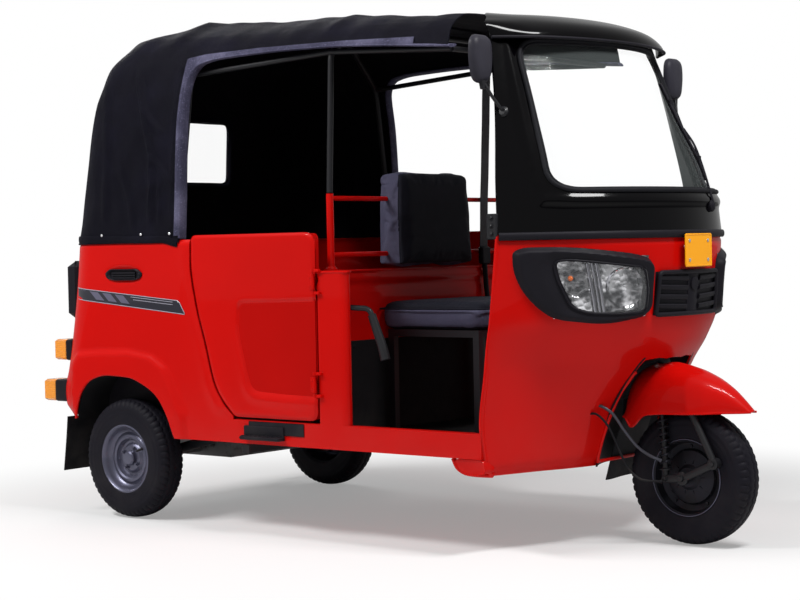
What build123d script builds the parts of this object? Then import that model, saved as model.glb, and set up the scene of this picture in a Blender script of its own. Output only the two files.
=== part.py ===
"""Three-wheeled auto rickshaw: open-sided cab, fabric canopy, one steered front wheel.

Frame: +X forward, +Y to the vehicle's left, +Z up, in millimetres. The origin lies on the
ground under the middle of the vehicle. Stations at the front are measured from the front
axle and stations at the rear from the rear axle, so the wheelbase stretches the floor.
"""
import os
from math import atan2, cos, radians, sin, sqrt

from build123d import *

os.makedirs("parts", exist_ok=True)

# ---- Driving dimensions ----------------------------------------------------------------
wheelbase = 1985.0
rear_axle_x = -879.0
front_axle_x = rear_axle_x + wheelbase
rear_track = 1050.0
tyre_radius = 213.0
tyre_width = 106.0
rim_radius = 116.0
body_half = 600.0
floor_z = 330.0
sill_bottom_z = 302.0
sill_top_z = 380.0
belt_z = 975.0
body_top_z = 986.0
roof_z = 1762.0
roof_front_z = 1678.0
visor_top_z = 1672.0
canopy_wall = 10.0
panel_wall = 30.0
front_wall = 22.0
seam = 0.3
door_gap = 7.0
running_fit = 0.05

# ---- Stations derived from the axles ---------------------------------------------------
bulkhead_x = rear_axle_x + 908.0
pillar_front_x = rear_axle_x + 1085.0
door_front_x = rear_axle_x + 947.0
door_rear_top_x = rear_axle_x + 383.0
door_rear_low_x = rear_axle_x + 575.0
door_bottom_z = sill_top_z + door_gap + 2.0
sill_front_x = front_axle_x - 379.0 - seam
visor_rear_x = front_axle_x - 560.0

# ---- Steering axis, raked back from the ground point -----------------------------------
rake = 18.0
steer_ground_x = front_axle_x + 82.0
steer_up = Vector(-sin(radians(rake)), 0, cos(radians(rake)))
steer_plane = Plane(
    origin=(steer_ground_x, 0, 0),
    x_dir=(cos(radians(rake)), 0, sin(radians(rake))),
    z_dir=(0, -1, 0),
)
steer_axis = Axis((steer_ground_x, 0, 0), (steer_up.X, 0, steer_up.Z))
stem_radius = 19.0
head_radius = 32.0
head_low = 668.0
head_high = 790.0
column_top = 1048.0


def along_steer(distance, ahead=0.0, side=0.0):
    """Point at a distance up the steering axis, ahead of it and to one side."""
    a = radians(rake)
    return (
        steer_ground_x - distance * sin(a) + ahead * cos(a),
        side,
        distance * cos(a) + ahead * sin(a),
    )


def save(block, name):
    """Label a finished piece and write it as its own STEP file."""
    block.part.label = name
    export_step(block.part, f"parts/{name}.step")


def box_between(low, high):
    """Box from its lowest to its highest corner."""
    size = [b - a for a, b in zip(low, high)]
    centre = [(a + b) / 2 for a, b in zip(low, high)]
    return Pos(*centre) * Box(*size)


def side_prism(points, y_low, y_high):
    """Prism between two side planes over an outline in X and Z."""
    with BuildPart() as prism:
        with BuildSketch(Plane.XZ.offset(-y_low)):
            Polygon(*points, align=None)
        extrude(amount=-(y_high - y_low))
    return prism.part


# ---- Tubes and rods --------------------------------------------------------------------
def rod(start, end, radius):
    """Round bar between two points."""
    with BuildPart() as bar:
        with BuildLine() as path:
            Line(start, end)
        with BuildSketch(Plane(origin=start, z_dir=path.line % 0)):
            Circle(radius)
        sweep()
    return bar.part


def tube(points, radius, bend):
    """Round bar along straight runs joined by tangent arcs."""
    with BuildPart() as bar:
        with BuildLine() as path:
            if len(points) > 2:
                FilletPolyline(*points, radius=bend)
            else:
                Line(*points)
        with BuildSketch(Plane(origin=path.line @ 0, z_dir=path.line % 0)):
            Circle(radius)
        sweep()
    return bar.part


# ---- Rear tub: plan outline lofted between two levels -----------------------------------
# columns: level z, rear face x from the rear axle, corner radius
TUB_LEVELS = (
    (sill_bottom_z - 40.0, -345.0, 165.0),
    (345.0, -347.0, 165.0),
    (400.0, -382.0, 165.0),
    (450.0, -387.0, 165.0),
    (612.0, -344.0, 165.0),
    (841.0, -304.0, 165.0),
    (body_top_z, -287.0, 165.0),
)


def tub_block(inset, front_x):
    """Closed block of the tub's plan outline, inset by a distance and open to the front."""
    with BuildPart() as block:
        for z, rear, corner in TUB_LEVELS:
            half = body_half - inset
            back = rear_axle_x + rear + inset
            bend = corner - inset
            with BuildSketch(Plane.XY.offset(z)):
                with BuildLine():
                    near = TangentArc((back + bend, -half), (back, -half + bend), tangent=(-1, 0))
                    far = TangentArc((back, half - bend), (back + bend, half), tangent=(0, 1))
                    Polyline((front_x, half), (front_x, -half), near @ 0)
                    Line(near @ 1, far @ 0)
                    Line(far @ 1, (front_x, half))
                make_face()
        loft(ruled=True)
    return block.part


# Wheel arch edge, from its rear foot over the wheel to its front foot:
# columns: x from the rear axle, z
ARCH_EDGE = (
    (-221.0, sill_bottom_z - 60.0),
    (-221.0, 355.0),
    (-181.0, 460.0),
    (-129.0, 498.0),
    (-51.0, 514.0),
    (59.0, 510.0),
    (149.0, 482.0),
    (209.0, 450.0),
    (254.0, 390.0),
    (289.0, 310.0),
    (300.0, sill_bottom_z - 60.0),
)
# Raised flare round the arch: columns: x from the rear axle, z
FLARE_EDGE = (
    (-170.0, 352.0),
    (-170.0, 597.0),
    (-100.0, 600.0),
    (60.0, 604.0),
    (180.0, 590.0),
    (260.0, 539.0),
    (310.0, 437.0),
    (330.0, sill_top_z + 6.0),
    (330.0, sill_bottom_z),
    (250.0, sill_bottom_z),
    (250.0, 352.0),
)
flare_height = 9.0
rear_skirt_z = 352.0

tub_front_x = door_front_x + 260.0
tub_outer = tub_block(0.0, tub_front_x)
tub_inner = tub_block(panel_wall, tub_front_x + 50.0)
corner_y = body_half - 165.0


def from_rear(points):
    """Points given from the rear axle as points on the side plane."""
    return [(rear_axle_x + x, z) for x, z in points]


arch_cut = side_prism(from_rear(ARCH_EDGE), -body_half - 40, body_half + 40)

# Door outline, rear edge swept forward to the foot: columns: x, z
door_top_z = body_top_z + 14.0
door_outline = [
    (door_front_x, door_top_z),
    (door_rear_top_x, door_top_z),
    (door_rear_top_x - 2.0, door_top_z - 90.0),
    (door_rear_top_x + 20.0, door_top_z - 230.0),
    (door_rear_top_x + 62.0, door_top_z - 370.0),
    (door_rear_top_x + 100.0, door_top_z - 500.0),
    (door_rear_top_x + 135.0, door_bottom_z + 55.0),
    (door_rear_low_x, door_bottom_z),
    (door_front_x, door_bottom_z),
]
panel_front_edge = [
    (door_rear_top_x - door_gap, body_top_z + 60.0),
    (door_rear_top_x - 2.0 - door_gap, door_top_z - 90.0),
    (door_rear_top_x + 20.0 - door_gap, door_top_z - 230.0),
    (door_rear_top_x + 62.0 - door_gap, door_top_z - 370.0),
    (door_rear_top_x + 100.0 - door_gap, door_top_z - 500.0),
    (door_rear_top_x + 135.0 - door_gap, door_bottom_z + 55.0),
    (door_rear_low_x - door_gap, sill_top_z),
    (door_rear_low_x - door_gap, sill_bottom_z),
]
rear_far_x = rear_axle_x - 450.0
side_profile = panel_front_edge + [
    (rear_axle_x + 250.0, sill_bottom_z),
    (rear_axle_x + 250.0, rear_skirt_z),
    (rear_far_x, rear_skirt_z),
    (rear_far_x, body_top_z + 60.0),
]

for side, name in ((-1, "right"), (1, "left")):
    ends = sorted((side * corner_y, side * (body_half + 30.0)))
    band_ends = sorted((side * (body_half - panel_wall / 2), side * (body_half + flare_height)))
    panel_zone = side_prism(side_profile, *ends)
    flare_band = side_prism(from_rear(FLARE_EDGE), *band_ends)
    with BuildPart() as side_panel:
        add(tub_outer)
        add(tub_inner, mode=Mode.SUBTRACT)
        add(panel_zone, mode=Mode.INTERSECT)
        add(flare_band)
        add(arch_cut, mode=Mode.SUBTRACT)
    save(side_panel, f"side_panel_{name}")

# ---- Rear panel with the engine lid's opening ------------------------------------------
lid_half = 300.0
lid_low_z = 420.0
lid_high_z = 760.0
lid_gap = 6.0
lid_wall = 18.0
hinge_pin_radius = 2.5
rear_zone = box_between(
    (rear_far_x, -corner_y, rear_skirt_z), (rear_axle_x, corner_y, body_top_z)
)
lid_opening = box_between(
    (rear_far_x, -lid_half - lid_gap, lid_low_z - lid_gap),
    (rear_axle_x - 100, lid_half + lid_gap, lid_high_z + lid_gap),
)
lid_zone = box_between(
    (rear_far_x, -lid_half, lid_low_z), (rear_axle_x - 100, lid_half, lid_high_z)
)
# Lid hinges along its top edge: knuckles on the lid, lugs and pins on the panel
lid_hinge_x = rear_axle_x - 328.0
lid_hinge_z = lid_high_z + 11.0
lid_hinge_ys = (-180.0, 180.0)
lid_knuckle_half = 25.0
lid_pin_half = 41.0
lid_lug_width = 10.0
lid_inner = tub_block(lid_wall, tub_front_x + 50.0)
lid_straps = []
lid_bores = []
lid_lugs = []
for y in lid_hinge_ys:
    lid_straps.append(rod(
        (lid_hinge_x, y - lid_knuckle_half, lid_hinge_z),
        (lid_hinge_x, y + lid_knuckle_half, lid_hinge_z), 6.0,
    ))
    lid_straps.append(box_between(
        (lid_hinge_x - 6.0, y - lid_knuckle_half, lid_high_z - 32.0),
        (lid_hinge_x, y + lid_knuckle_half, lid_hinge_z),
    ))
    lid_straps.append(box_between(
        (lid_hinge_x - 6.0, y - lid_knuckle_half, lid_high_z - 32.0),
        (lid_hinge_x + 18.0, y + lid_knuckle_half, lid_high_z - 2.0),
    ))
    lid_bores.append(rod(
        (lid_hinge_x, y - lid_pin_half, lid_hinge_z), (lid_hinge_x, y + lid_pin_half, lid_hinge_z),
        hinge_pin_radius + running_fit,
    ))
    lid_lugs.append(rod(
        (lid_hinge_x, y - lid_pin_half, lid_hinge_z), (lid_hinge_x, y + lid_pin_half, lid_hinge_z),
        hinge_pin_radius,
    ))
    for low in (y - lid_pin_half, y + lid_pin_half - lid_lug_width):
        lid_lugs.append(box_between(
            (lid_hinge_x - 5.0, low, lid_high_z + lid_gap),
            (lid_hinge_x + 18.0, low + lid_lug_width, lid_hinge_z + 6.0),
        ))
with BuildPart() as rear_panel:
    add(tub_outer)
    add(tub_inner, mode=Mode.SUBTRACT)
    add(rear_zone, mode=Mode.INTERSECT)
    add(lid_opening, mode=Mode.SUBTRACT)
    add(lid_lugs)
save(rear_panel, "rear_panel")

with BuildPart() as engine_lid:
    add(tub_outer)
    add(lid_inner, mode=Mode.SUBTRACT)
    add(lid_zone, mode=Mode.INTERSECT)
    add(lid_straps)
    add(lid_bores, mode=Mode.SUBTRACT)
save(engine_lid, "engine_lid")

# ---- Doors -----------------------------------------------------------------------------
hinge_x = door_front_x + door_gap / 2
hinge_y = body_half + 11.0
hinge_heights = (body_top_z - 146.0, sill_top_z + 128.0)
knuckle_radius = 6.0
knuckle_half = 25.0
leaf_thickness = 6.0
leaf_reach = 24.0
door_corner = 26.0
pin_half = 41.0
for side, name in ((-1, "right"), (1, "left")):
    face_y = side * (body_half - panel_wall / 2)
    door_slab = side_prism(door_outline, face_y - panel_wall / 2, face_y + panel_wall / 2)
    leaf_y = side * (body_half + leaf_thickness / 2)
    with BuildPart() as door:
        add(door_slab)
        rounded = door.edges().filter_by(Axis.Y).sort_by(Axis.Z)[-2:]
        fillet(rounded, radius=door_corner)
        for z in hinge_heights:
            with Locations((hinge_x - leaf_reach / 2, leaf_y, z)):
                Box(leaf_reach, leaf_thickness, 2 * knuckle_half)
            with Locations((hinge_x, side * hinge_y, z)):
                Cylinder(radius=knuckle_radius, height=2 * knuckle_half)
                Cylinder(
                    radius=hinge_pin_radius + running_fit, height=2 * knuckle_half,
                    mode=Mode.SUBTRACT,
                )
    save(door, f"door_{name}")

# Fixed half of each door hinge, added to the bulkhead's pillars
lug_height = 10.0
lug_half = 3.0
post_start_x, post_end_x = door_front_x + 15.0, door_front_x + 30.0
hinge_blocks = []
for side in (-1, 1):
    for z in hinge_heights:
        leaf_ends = sorted((side * body_half, side * (hinge_y + lug_half)))
        hinge_blocks.append(box_between(
            (post_start_x, leaf_ends[0], z - pin_half),
            (post_end_x, leaf_ends[1], z + pin_half),
        ))
        hinge_blocks.append(rod(
            (hinge_x, side * hinge_y, z - pin_half), (hinge_x, side * hinge_y, z + pin_half),
            hinge_pin_radius,
        ))
        lug_ends = sorted((side * (hinge_y - lug_half), side * (hinge_y + lug_half)))
        for low in (z - pin_half, z + pin_half - lug_height):
            hinge_blocks.append(box_between(
                (door_front_x, lug_ends[0], low),
                (post_end_x, lug_ends[1], low + lug_height),
            ))

# ---- Floor pan with its sills ----------------------------------------------------------
floor_rear_x = rear_axle_x + 330.0
sill_rear_x = door_rear_low_x - door_gap
toe_x = front_axle_x - 340.0
toe_half = 370.0
floor_nose_half = body_half - 72.0
sill_outline = [
    (sill_rear_x, sill_bottom_z), (sill_front_x, sill_bottom_z),
    (sill_front_x, sill_top_z), (sill_rear_x, sill_top_z),
]
sill_bars = [
    side_prism(sill_outline, y - panel_wall / 2, y + panel_wall / 2)
    for y in (-body_half + panel_wall / 2, body_half - panel_wall / 2)
]
with BuildPart() as floor_pan:
    with BuildSketch(Plane.XY.offset(floor_z - 14.0)):
        with BuildLine():
            Polyline(
                (floor_rear_x, -body_half + panel_wall),
                (sill_front_x, -body_half + panel_wall),
                (sill_front_x, -floor_nose_half),
                (toe_x, -toe_half),
                (toe_x, toe_half),
                (sill_front_x, floor_nose_half),
                (sill_front_x, body_half - panel_wall),
                (floor_rear_x, body_half - panel_wall),
                close=True,
            )
        make_face()
    extrude(amount=14.0)
    add(sill_bars)
save(floor_pan, "floor_pan")

# ---- Bulkhead between driver and passengers --------------------------------------------
bulkhead_top_z = body_top_z - 112.0
bulkhead_wall = 26.0
hook_y = body_half - 118.0
pillar_back_y = body_half - panel_wall - door_gap
with BuildPart() as bulkhead:
    with BuildSketch(Plane.XY.offset(floor_z)):
        with BuildLine():
            Polyline(
                (door_front_x + door_gap, -pillar_back_y),
                (door_front_x + door_gap, -body_half),
                (pillar_front_x, -body_half),
                (pillar_front_x, -body_half + bulkhead_wall),
                (bulkhead_x + bulkhead_wall, -hook_y),
                (bulkhead_x + bulkhead_wall, hook_y),
                (pillar_front_x, body_half - bulkhead_wall),
                (pillar_front_x, body_half),
                (door_front_x + door_gap, body_half),
                (door_front_x + door_gap, pillar_back_y),
                (bulkhead_x, hook_y + bulkhead_wall),
                (bulkhead_x, -hook_y - bulkhead_wall),
                close=True,
            )
        make_face()
    extrude(amount=bulkhead_top_z - floor_z)
    for side in (-1, 1):
        y_mid = side * (body_half - panel_wall / 2)
        with BuildSketch(Plane.XY.offset(floor_z - 1.0)):
            with Locations(((door_front_x + pillar_front_x) / 2, y_mid)):
                Rectangle(400.0, panel_wall + 0.02)
        extrude(amount=sill_top_z - floor_z + 1.0, mode=Mode.SUBTRACT)
    add(hinge_blocks)
save(bulkhead, "bulkhead")

# ---- Front shell: cowl below the belt, windscreen surround above it --------------------
# Each level is a D: a straight flank from the entry edge to a joint, then one arc
# through the nose. Columns: level z, entry edge back from the front axle, entry edge in
# from the body side, joint back from the front axle, joint half width, nose ahead.
COWL_LEVELS = (
    (246.0, 371.0, 52.0, 316.0, 385.0, -226.0),
    (400.0, 379.0, 2.0, 296.0, 400.0, -181.0),
    (560.0, 361.0, 6.0, 262.0, 400.0, -80.0),
    (640.0, 354.0, 10.0, 205.0, 400.0, -30.0),
    (720.0, 344.0, 15.0, 144.0, 390.0, -6.0),
    (belt_z, 325.0, 29.0, 120.0, 395.0, 14.0),
)
SCREEN_LEVELS = (
    (belt_z + seam, 325.0, 29.0, 120.0, 395.0, 14.0),
    (1105.0, 336.0, 40.0, 172.0, 428.0, -2.0),
    (1351.0, 366.0, 88.0, 268.0, 400.0, -124.0),
    (1565.0, 404.0, 128.0, 354.0, 362.0, -239.0),
    (1606.0, 412.0, 136.0, 372.0, 354.0, -262.0),
)
entry_reach = 260.0


def front_block(levels, inset, reach):
    """Closed D-shaped block of the front, inset by a distance, its back moved by reach."""
    with BuildPart() as block:
        for z, edge_back, edge_in, joint_back, joint_half, nose in levels:
            edge_x = front_axle_x - edge_back
            edge_y = body_half - edge_in - inset
            joint_x = front_axle_x - joint_back - 0.7 * inset
            joint_y = joint_half - 0.7 * inset
            nose_x = front_axle_x + nose - inset
            with BuildSketch(Plane.XY.offset(z)):
                with BuildLine():
                    bow = ThreePointArc((joint_x, joint_y), (nose_x, 0), (joint_x, -joint_y))
                    Polyline(
                        bow @ 1,
                        (edge_x, -edge_y),
                        (edge_x - reach, -edge_y),
                        (edge_x - reach, edge_y),
                        (edge_x, edge_y),
                        bow @ 0,
                    )
                make_face()
        loft(ruled=True)
    return block.part


def front_slab(levels, near, far):
    """Shell of the front between two insets, its entry side open."""
    outer = front_block(levels, near, 0.5)
    inner = front_block(levels, far, entry_reach)
    with BuildPart() as slab:
        add(outer)
        add(inner, mode=Mode.SUBTRACT)
    return slab.part


def facing_prisms(outlines, x_low, x_high):
    """Prisms along X over outlines in Y and Z."""
    with BuildPart() as prisms:
        with BuildSketch(Plane.YZ.offset(x_low)):
            for points in outlines:
                Polygon(*points, align=None)
        extrude(amount=x_high - x_low)
    return prisms.part


# Wheel arch under the nose, turned about the steering axis: columns: radius, height
STEER_ARCH = ((0.0, 150.0), (296.0, 150.0), (296.0, 328.0), (216.0, 480.0), (163.0, 566.0),
              (140.0, 618.0), (0.0, 618.0))
housing_wall = 6.0


def turned(points):
    """Solid turned about the steering axis from an outline of radius and height."""
    with BuildPart() as solid:
        with BuildSketch(steer_plane):
            Polygon(*points, align=None)
        revolve(axis=steer_axis)
    return solid.part


def grown(points, by):
    """Arch outline grown outwards and upwards, its axis kept."""
    return [(r + by if r > 0 else 0.0, v + (by if v > 328.0 else 0.0)) for r, v in points]


arch_room = turned(STEER_ARCH)
housing_outer = turned(grown(STEER_ARCH, seam + housing_wall))
cowl_shell = front_slab(COWL_LEVELS, 0.0, front_wall)
cowl_inside = front_block(COWL_LEVELS, front_wall + seam, 20.0)
# Lower rear corner of the cowl, curling in under the sill: columns: back from the front axle, z
LIP_EDGE = (
    (485.0, sill_bottom_z - seam), (374.0, sill_bottom_z - seam), (360.0, 262.0),
    (416.0, 250.0), (456.0, 255.0), (479.0, 269.0),
)
lip_outline = [(front_axle_x - back, z) for back, z in LIP_EDGE]
lip_y, lip_half = body_half - 35.0, 25.0
lip_pair = [side_prism(lip_outline, y - lip_half, y + lip_half) for y in (-lip_y, lip_y)]
with BuildPart() as front_cowl:
    add(cowl_shell)
    add(lip_pair)
    add(housing_outer, mode=Mode.SUBTRACT)
save(front_cowl, "front_cowl")

cowl_block = front_block(COWL_LEVELS, 0.0, 20.0)
stem_hole = turned(((0.0, 560.0), (head_radius + 4.0, 560.0), (head_radius + 4.0, 700.0),
                    (0.0, 700.0)))
housing_zone = box_between(
    (front_axle_x - 330.0 + seam, -400, COWL_LEVELS[0][0]), (front_axle_x + 40.0, 400, 700)
)
with BuildPart() as front_wheel_housing:
    add(housing_outer)
    add(arch_room, mode=Mode.SUBTRACT)
    add(housing_zone, mode=Mode.INTERSECT)
    add(cowl_block, mode=Mode.INTERSECT)
    add(stem_hole, mode=Mode.SUBTRACT)
save(front_wheel_housing, "front_wheel_housing")

# ---- Windscreen surround, glass and visor ----------------------------------------------
screen_low_z, screen_low_half = 1112.0, 450.0
screen_high_z, screen_high_half = 1568.0, 362.0
screen_corner = 62.0
glass_depth = 9.0
glass_wall = 5.0
glass_margin = 0.5


def screen_prism(margin):
    """Prism through the windscreen opening, shrunk by a margin."""
    with BuildPart() as prism:
        with BuildSketch(Plane.YZ.offset(front_axle_x - 480.0)) as opening:
            Polygon(
                (-screen_low_half + margin, screen_low_z + margin),
                (screen_low_half - margin, screen_low_z + margin),
                (screen_high_half - margin, screen_high_z - margin),
                (-screen_high_half + margin, screen_high_z - margin),
                align=None,
            )
            fillet(opening.vertices(), radius=screen_corner)
        extrude(amount=560.0)
    return prism.part


surround_shell = front_slab(SCREEN_LEVELS, 0.0, front_wall)
screen_hole = screen_prism(0.0)
with BuildPart() as windscreen_surround:
    add(surround_shell)
    add(screen_hole, mode=Mode.SUBTRACT)
save(windscreen_surround, "windscreen_surround")

glass_slab = front_slab(SCREEN_LEVELS, glass_depth, glass_depth + glass_wall)
glass_zone = screen_prism(glass_margin)
with BuildPart() as windscreen_glass:
    add(glass_slab)
    add(glass_zone, mode=Mode.INTERSECT)
save(windscreen_glass, "windscreen_glass")

# Visor levels: columns as the front shell's
VISOR_LEVELS = (
    (1588.0, 402.0, 122.0, 315.0, 380.0, -222.0),
    (1620.0, 415.0, 112.0, 345.0, 372.0, -240.0),
    (1643.0, 440.0, 150.0, 380.0, 350.0, -285.0),
    (1660.0, 470.0, 185.0, 425.0, 320.0, -340.0),
    (visor_top_z, 505.0, 240.0, 480.0, 270.0, -400.0),
)
visor_wall = 12.0
visor_zone = box_between(
    (visor_rear_x, -body_half, 1560.0), (front_axle_x, body_half, visor_top_z)
)
visor_outer = front_block(VISOR_LEVELS, 0.0, 220.0)
VISOR_INNER = tuple(
    (z - visor_wall * i / (len(VISOR_LEVELS) - 1) - 0.01, *rest)
    for i, (z, *rest) in enumerate(VISOR_LEVELS)
)
visor_inner = front_block(VISOR_INNER, visor_wall, 400.0)
screen_block = front_block(SCREEN_LEVELS, -seam, entry_reach)
with BuildPart() as roof_visor:
    add(visor_outer)
    add(visor_inner, mode=Mode.SUBTRACT)
    add(visor_zone, mode=Mode.INTERSECT)
    add(screen_block, mode=Mode.SUBTRACT)
save(roof_visor, "roof_visor")

# ---- Headlamp bezels, lamps and grille on the cowl -------------------------------------
bezel_proud = 16.0
bezel_edge = [
    (-542.0, 925.0), (-541.0, 868.0), (-520.0, 790.0), (-464.0, 720.0), (-334.0, 699.0),
    (-187.0, 722.0), (-188.0, 893.0), (-250.0, 911.0), (-440.0, 937.0), (-520.0, 937.0),
]
lamp_edge = [
    (-461.0, 893.0), (-452.0, 840.0), (-420.0, 755.0), (-380.0, 737.0), (-300.0, 733.0),
    (-222.0, 738.0), (-218.0, 800.0), (-232.0, 872.0), (-330.0, 884.0), (-430.0, 898.0),
]
lamp_margin = 0.6
bezel_skin = front_slab(COWL_LEVELS, -bezel_proud, -seam)
lamp_skin = front_slab(COWL_LEVELS, -bezel_proud + 4.0, -seam)
x_near, x_far = front_axle_x - 420.0, front_axle_x + 90.0


def both_sides(points):
    """An outline on the right side and its mirror on the left."""
    return (points, [(-y, z) for y, z in points])


def shrunk(points, margin):
    """Outline drawn in towards its middle by a margin."""
    cy = sum(p[0] for p in points) / len(points)
    cz = sum(p[1] for p in points) / len(points)
    out = []
    for y, z in points:
        reach = sqrt((y - cy) ** 2 + (z - cz) ** 2)
        k = (reach - margin) / reach
        out.append((cy + (y - cy) * k, cz + (z - cz) * k))
    return out


bezel_zones = facing_prisms(both_sides(bezel_edge), x_near, x_far)
lamp_holes = facing_prisms(both_sides(lamp_edge), x_near, x_far)
lamp_zones = facing_prisms(both_sides(shrunk(lamp_edge, lamp_margin)), x_near, x_far)
with BuildPart() as headlamp_bezels:
    add(bezel_skin)
    add(bezel_zones, mode=Mode.INTERSECT)
    add(lamp_holes, mode=Mode.SUBTRACT)
save(headlamp_bezels, "headlamp_bezels")
with BuildPart() as headlamps:
    add(lamp_skin)
    add(lamp_zones, mode=Mode.INTERSECT)
save(headlamps, "headlamps")

grille_edge = [(-178.0, 722.0), (178.0, 722.0), (172.0, 854.0), (-172.0, 854.0)]
grille_slots = 4
slot_height = 14.0
slot_pitch = 28.0
slot_low_z = 738.0
slot_ends = ((-160.0, -45.0), (45.0, 160.0))
grille_proud = 12.0
grille_skin = front_slab(COWL_LEVELS, -grille_proud, -seam)
slot_bed = front_slab(COWL_LEVELS, -18.0, -5.0)
grille_zone = facing_prisms([grille_edge], x_near, x_far)
slot_outlines = [
    [(y0, z), (y1, z), (y1, z + slot_height), (y0, z + slot_height)]
    for z in [slot_low_z + slot_pitch * i for i in range(grille_slots)]
    for y0, y1 in slot_ends
]
slot_zones = facing_prisms(slot_outlines, x_near, x_far)
with BuildPart() as slot_cutters:
    add(slot_bed)
    add(slot_zones, mode=Mode.INTERSECT)
with BuildPart() as front_grille:
    add(grille_skin)
    add(grille_zone, mode=Mode.INTERSECT)
    add(slot_cutters.part, mode=Mode.SUBTRACT)
save(front_grille, "front_grille")

# ---- Dashboard -------------------------------------------------------------------------
dash_low_z, dash_back_x = 905.0, front_axle_x - 235.0
dash_zone = box_between((dash_back_x, -body_half, dash_low_z), (x_far, body_half, belt_z - 3.0))
column_room = turned(((0.0, 800.0), (46.0, 800.0), (46.0, 1150.0), (0.0, 1150.0)))
with BuildPart() as dashboard:
    add(cowl_inside)
    add(dash_zone, mode=Mode.INTERSECT)
    add(column_room, mode=Mode.SUBTRACT)
save(dashboard, "dashboard")

# ---- Canopy: fabric hood over the rear body and the roof -------------------------------
# Each level is a plan outline on a plane that falls from the rear to the front.
# Columns: z at the rear, z at the front, rear face x from the rear axle, inset from the
# body's half width at the rear and at the front, rear corner radius
CANOPY_LEVELS = (
    (body_top_z + seam, body_top_z + seam, -280.0, -3.0, 10.0, 165.0),
    (1375.0, 1375.0, -225.0, 16.0, 40.0, 165.0),
    (1474.0, 1474.0, -213.0, 26.0, 70.0, 165.0),
    (1541.0, 1530.0, -192.0, 40.0, 95.0, 170.0),
    (1604.0, 1575.0, -174.0, 55.0, 110.0, 175.0),
    (1669.0, 1620.0, -118.0, 100.0, 120.0, 180.0),
    (1710.0, 1655.0, -96.0, 140.0, 155.0, 170.0),
    (1730.0, 1676.0, 50.0, 200.0, 200.0, 130.0),
    (roof_z, roof_front_z, 165.0, 280.0, 255.0, 100.0),
)
canopy_front_x = visor_rear_x - seam
opening_rear_x = rear_axle_x + 327.0
opening_low_z = body_top_z - 10.0
# Entry opening's top edge: columns: x from the rear axle, z
OPENING_EDGE = (
    (327.0, 1545.0), (359.0, 1580.0), (476.0, 1600.0), (709.0, 1604.0), (943.0, 1600.0),
    (1144.0, 1588.0), (1435.0, 1562.0),
)


def canopy_block(inset, drop):
    """Closed block of the hood, inset all round and lowered at the roof."""
    with BuildPart() as block:
        for i, (rear_z, front_z, rear, rear_in, front_in, corner) in enumerate(CANOPY_LEVELS):
            lowered = drop * i / (len(CANOPY_LEVELS) - 1)
            back = rear_axle_x + rear + inset
            fall = atan2(rear_z - front_z, canopy_front_x - back)
            level = Plane(
                origin=(canopy_front_x, 0, front_z - lowered),
                x_dir=(cos(fall), 0, -sin(fall)),
                z_dir=(sin(fall), 0, cos(fall)),
            )
            rear_x = (back - canopy_front_x) / cos(fall)
            half = body_half - rear_in - inset
            front = body_half - front_in - inset
            bend = corner - inset
            with BuildSketch(level):
                with BuildLine():
                    near = TangentArc(
                        (rear_x + bend, -half), (rear_x, -half + bend), tangent=(-1, 0)
                    )
                    far = TangentArc((rear_x, half - bend), (rear_x + bend, half), tangent=(0, 1))
                    Polyline(far @ 1, (0.0, front), (0.0, -front), near @ 0)
                    Line(near @ 1, far @ 0)
                make_face()
        loft(ruled=True)
    return block.part


def roof_at(x):
    """Height of the canopy's roof at a station."""
    rear_x = rear_axle_x + CANOPY_LEVELS[-1][2]
    return roof_z + (roof_front_z - roof_z) * (x - rear_x) / (canopy_front_x - rear_x)


window_half, window_low_z, window_high_z = body_half - 378.0, 1212.0, 1438.0
entry_outline = from_rear(OPENING_EDGE) + [
    (canopy_front_x + 10.0, opening_low_z),
    (opening_rear_x, opening_low_z),
]
entry_room = side_prism(entry_outline, -body_half - 60.0, body_half + 60.0)
window_hole = box_between(
    (rear_axle_x - 350.0, -window_half, window_low_z), (rear_axle_x, window_half, window_high_z)
)
hood_outer = canopy_block(0.0, 0.0)
hood_inner = canopy_block(canopy_wall, canopy_wall)
with BuildPart() as canopy:
    add(hood_outer)
    add(hood_inner, mode=Mode.SUBTRACT)
    add(entry_room, mode=Mode.SUBTRACT)
    add(window_hole, mode=Mode.SUBTRACT)
save(canopy, "canopy")

window_sink, window_wall = 4.0, 3.0
window_skin_out = canopy_block(window_sink, window_sink)
window_skin_in = canopy_block(window_sink + window_wall, window_sink + window_wall)
window_zone = box_between(
    (rear_axle_x - 350.0, -window_half + seam, window_low_z + seam),
    (rear_axle_x, window_half - seam, window_high_z - seam),
)
with BuildPart() as rear_window:
    add(window_skin_out)
    add(window_skin_in, mode=Mode.SUBTRACT)
    add(window_zone, mode=Mode.INTERSECT)
save(rear_window, "rear_window")


# ---- Bows under the canopy -------------------------------------------------------------
bow_radius = 10.0
rail_radius = 9.0
rail_x = bulkhead_x + bulkhead_wall / 2
rail_y = body_half - 115.0
rail_bars_z = (925.0, 1110.0)
post_top_z = 1125.0
bow_drop = canopy_wall + bow_radius + 15.0
bow_shoulder = 150.0
edge_z = 1588.0
rear_edge_z = 1555.0
front_edge_z = 1562.0
rear_edge_y = body_half - 103.0
mid_edge_y = body_half - 136.0
front_edge_y = body_half - 168.0
rear_bow_x = opening_rear_x - 25.0
front_bow_x = visor_rear_x - 30.0
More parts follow.
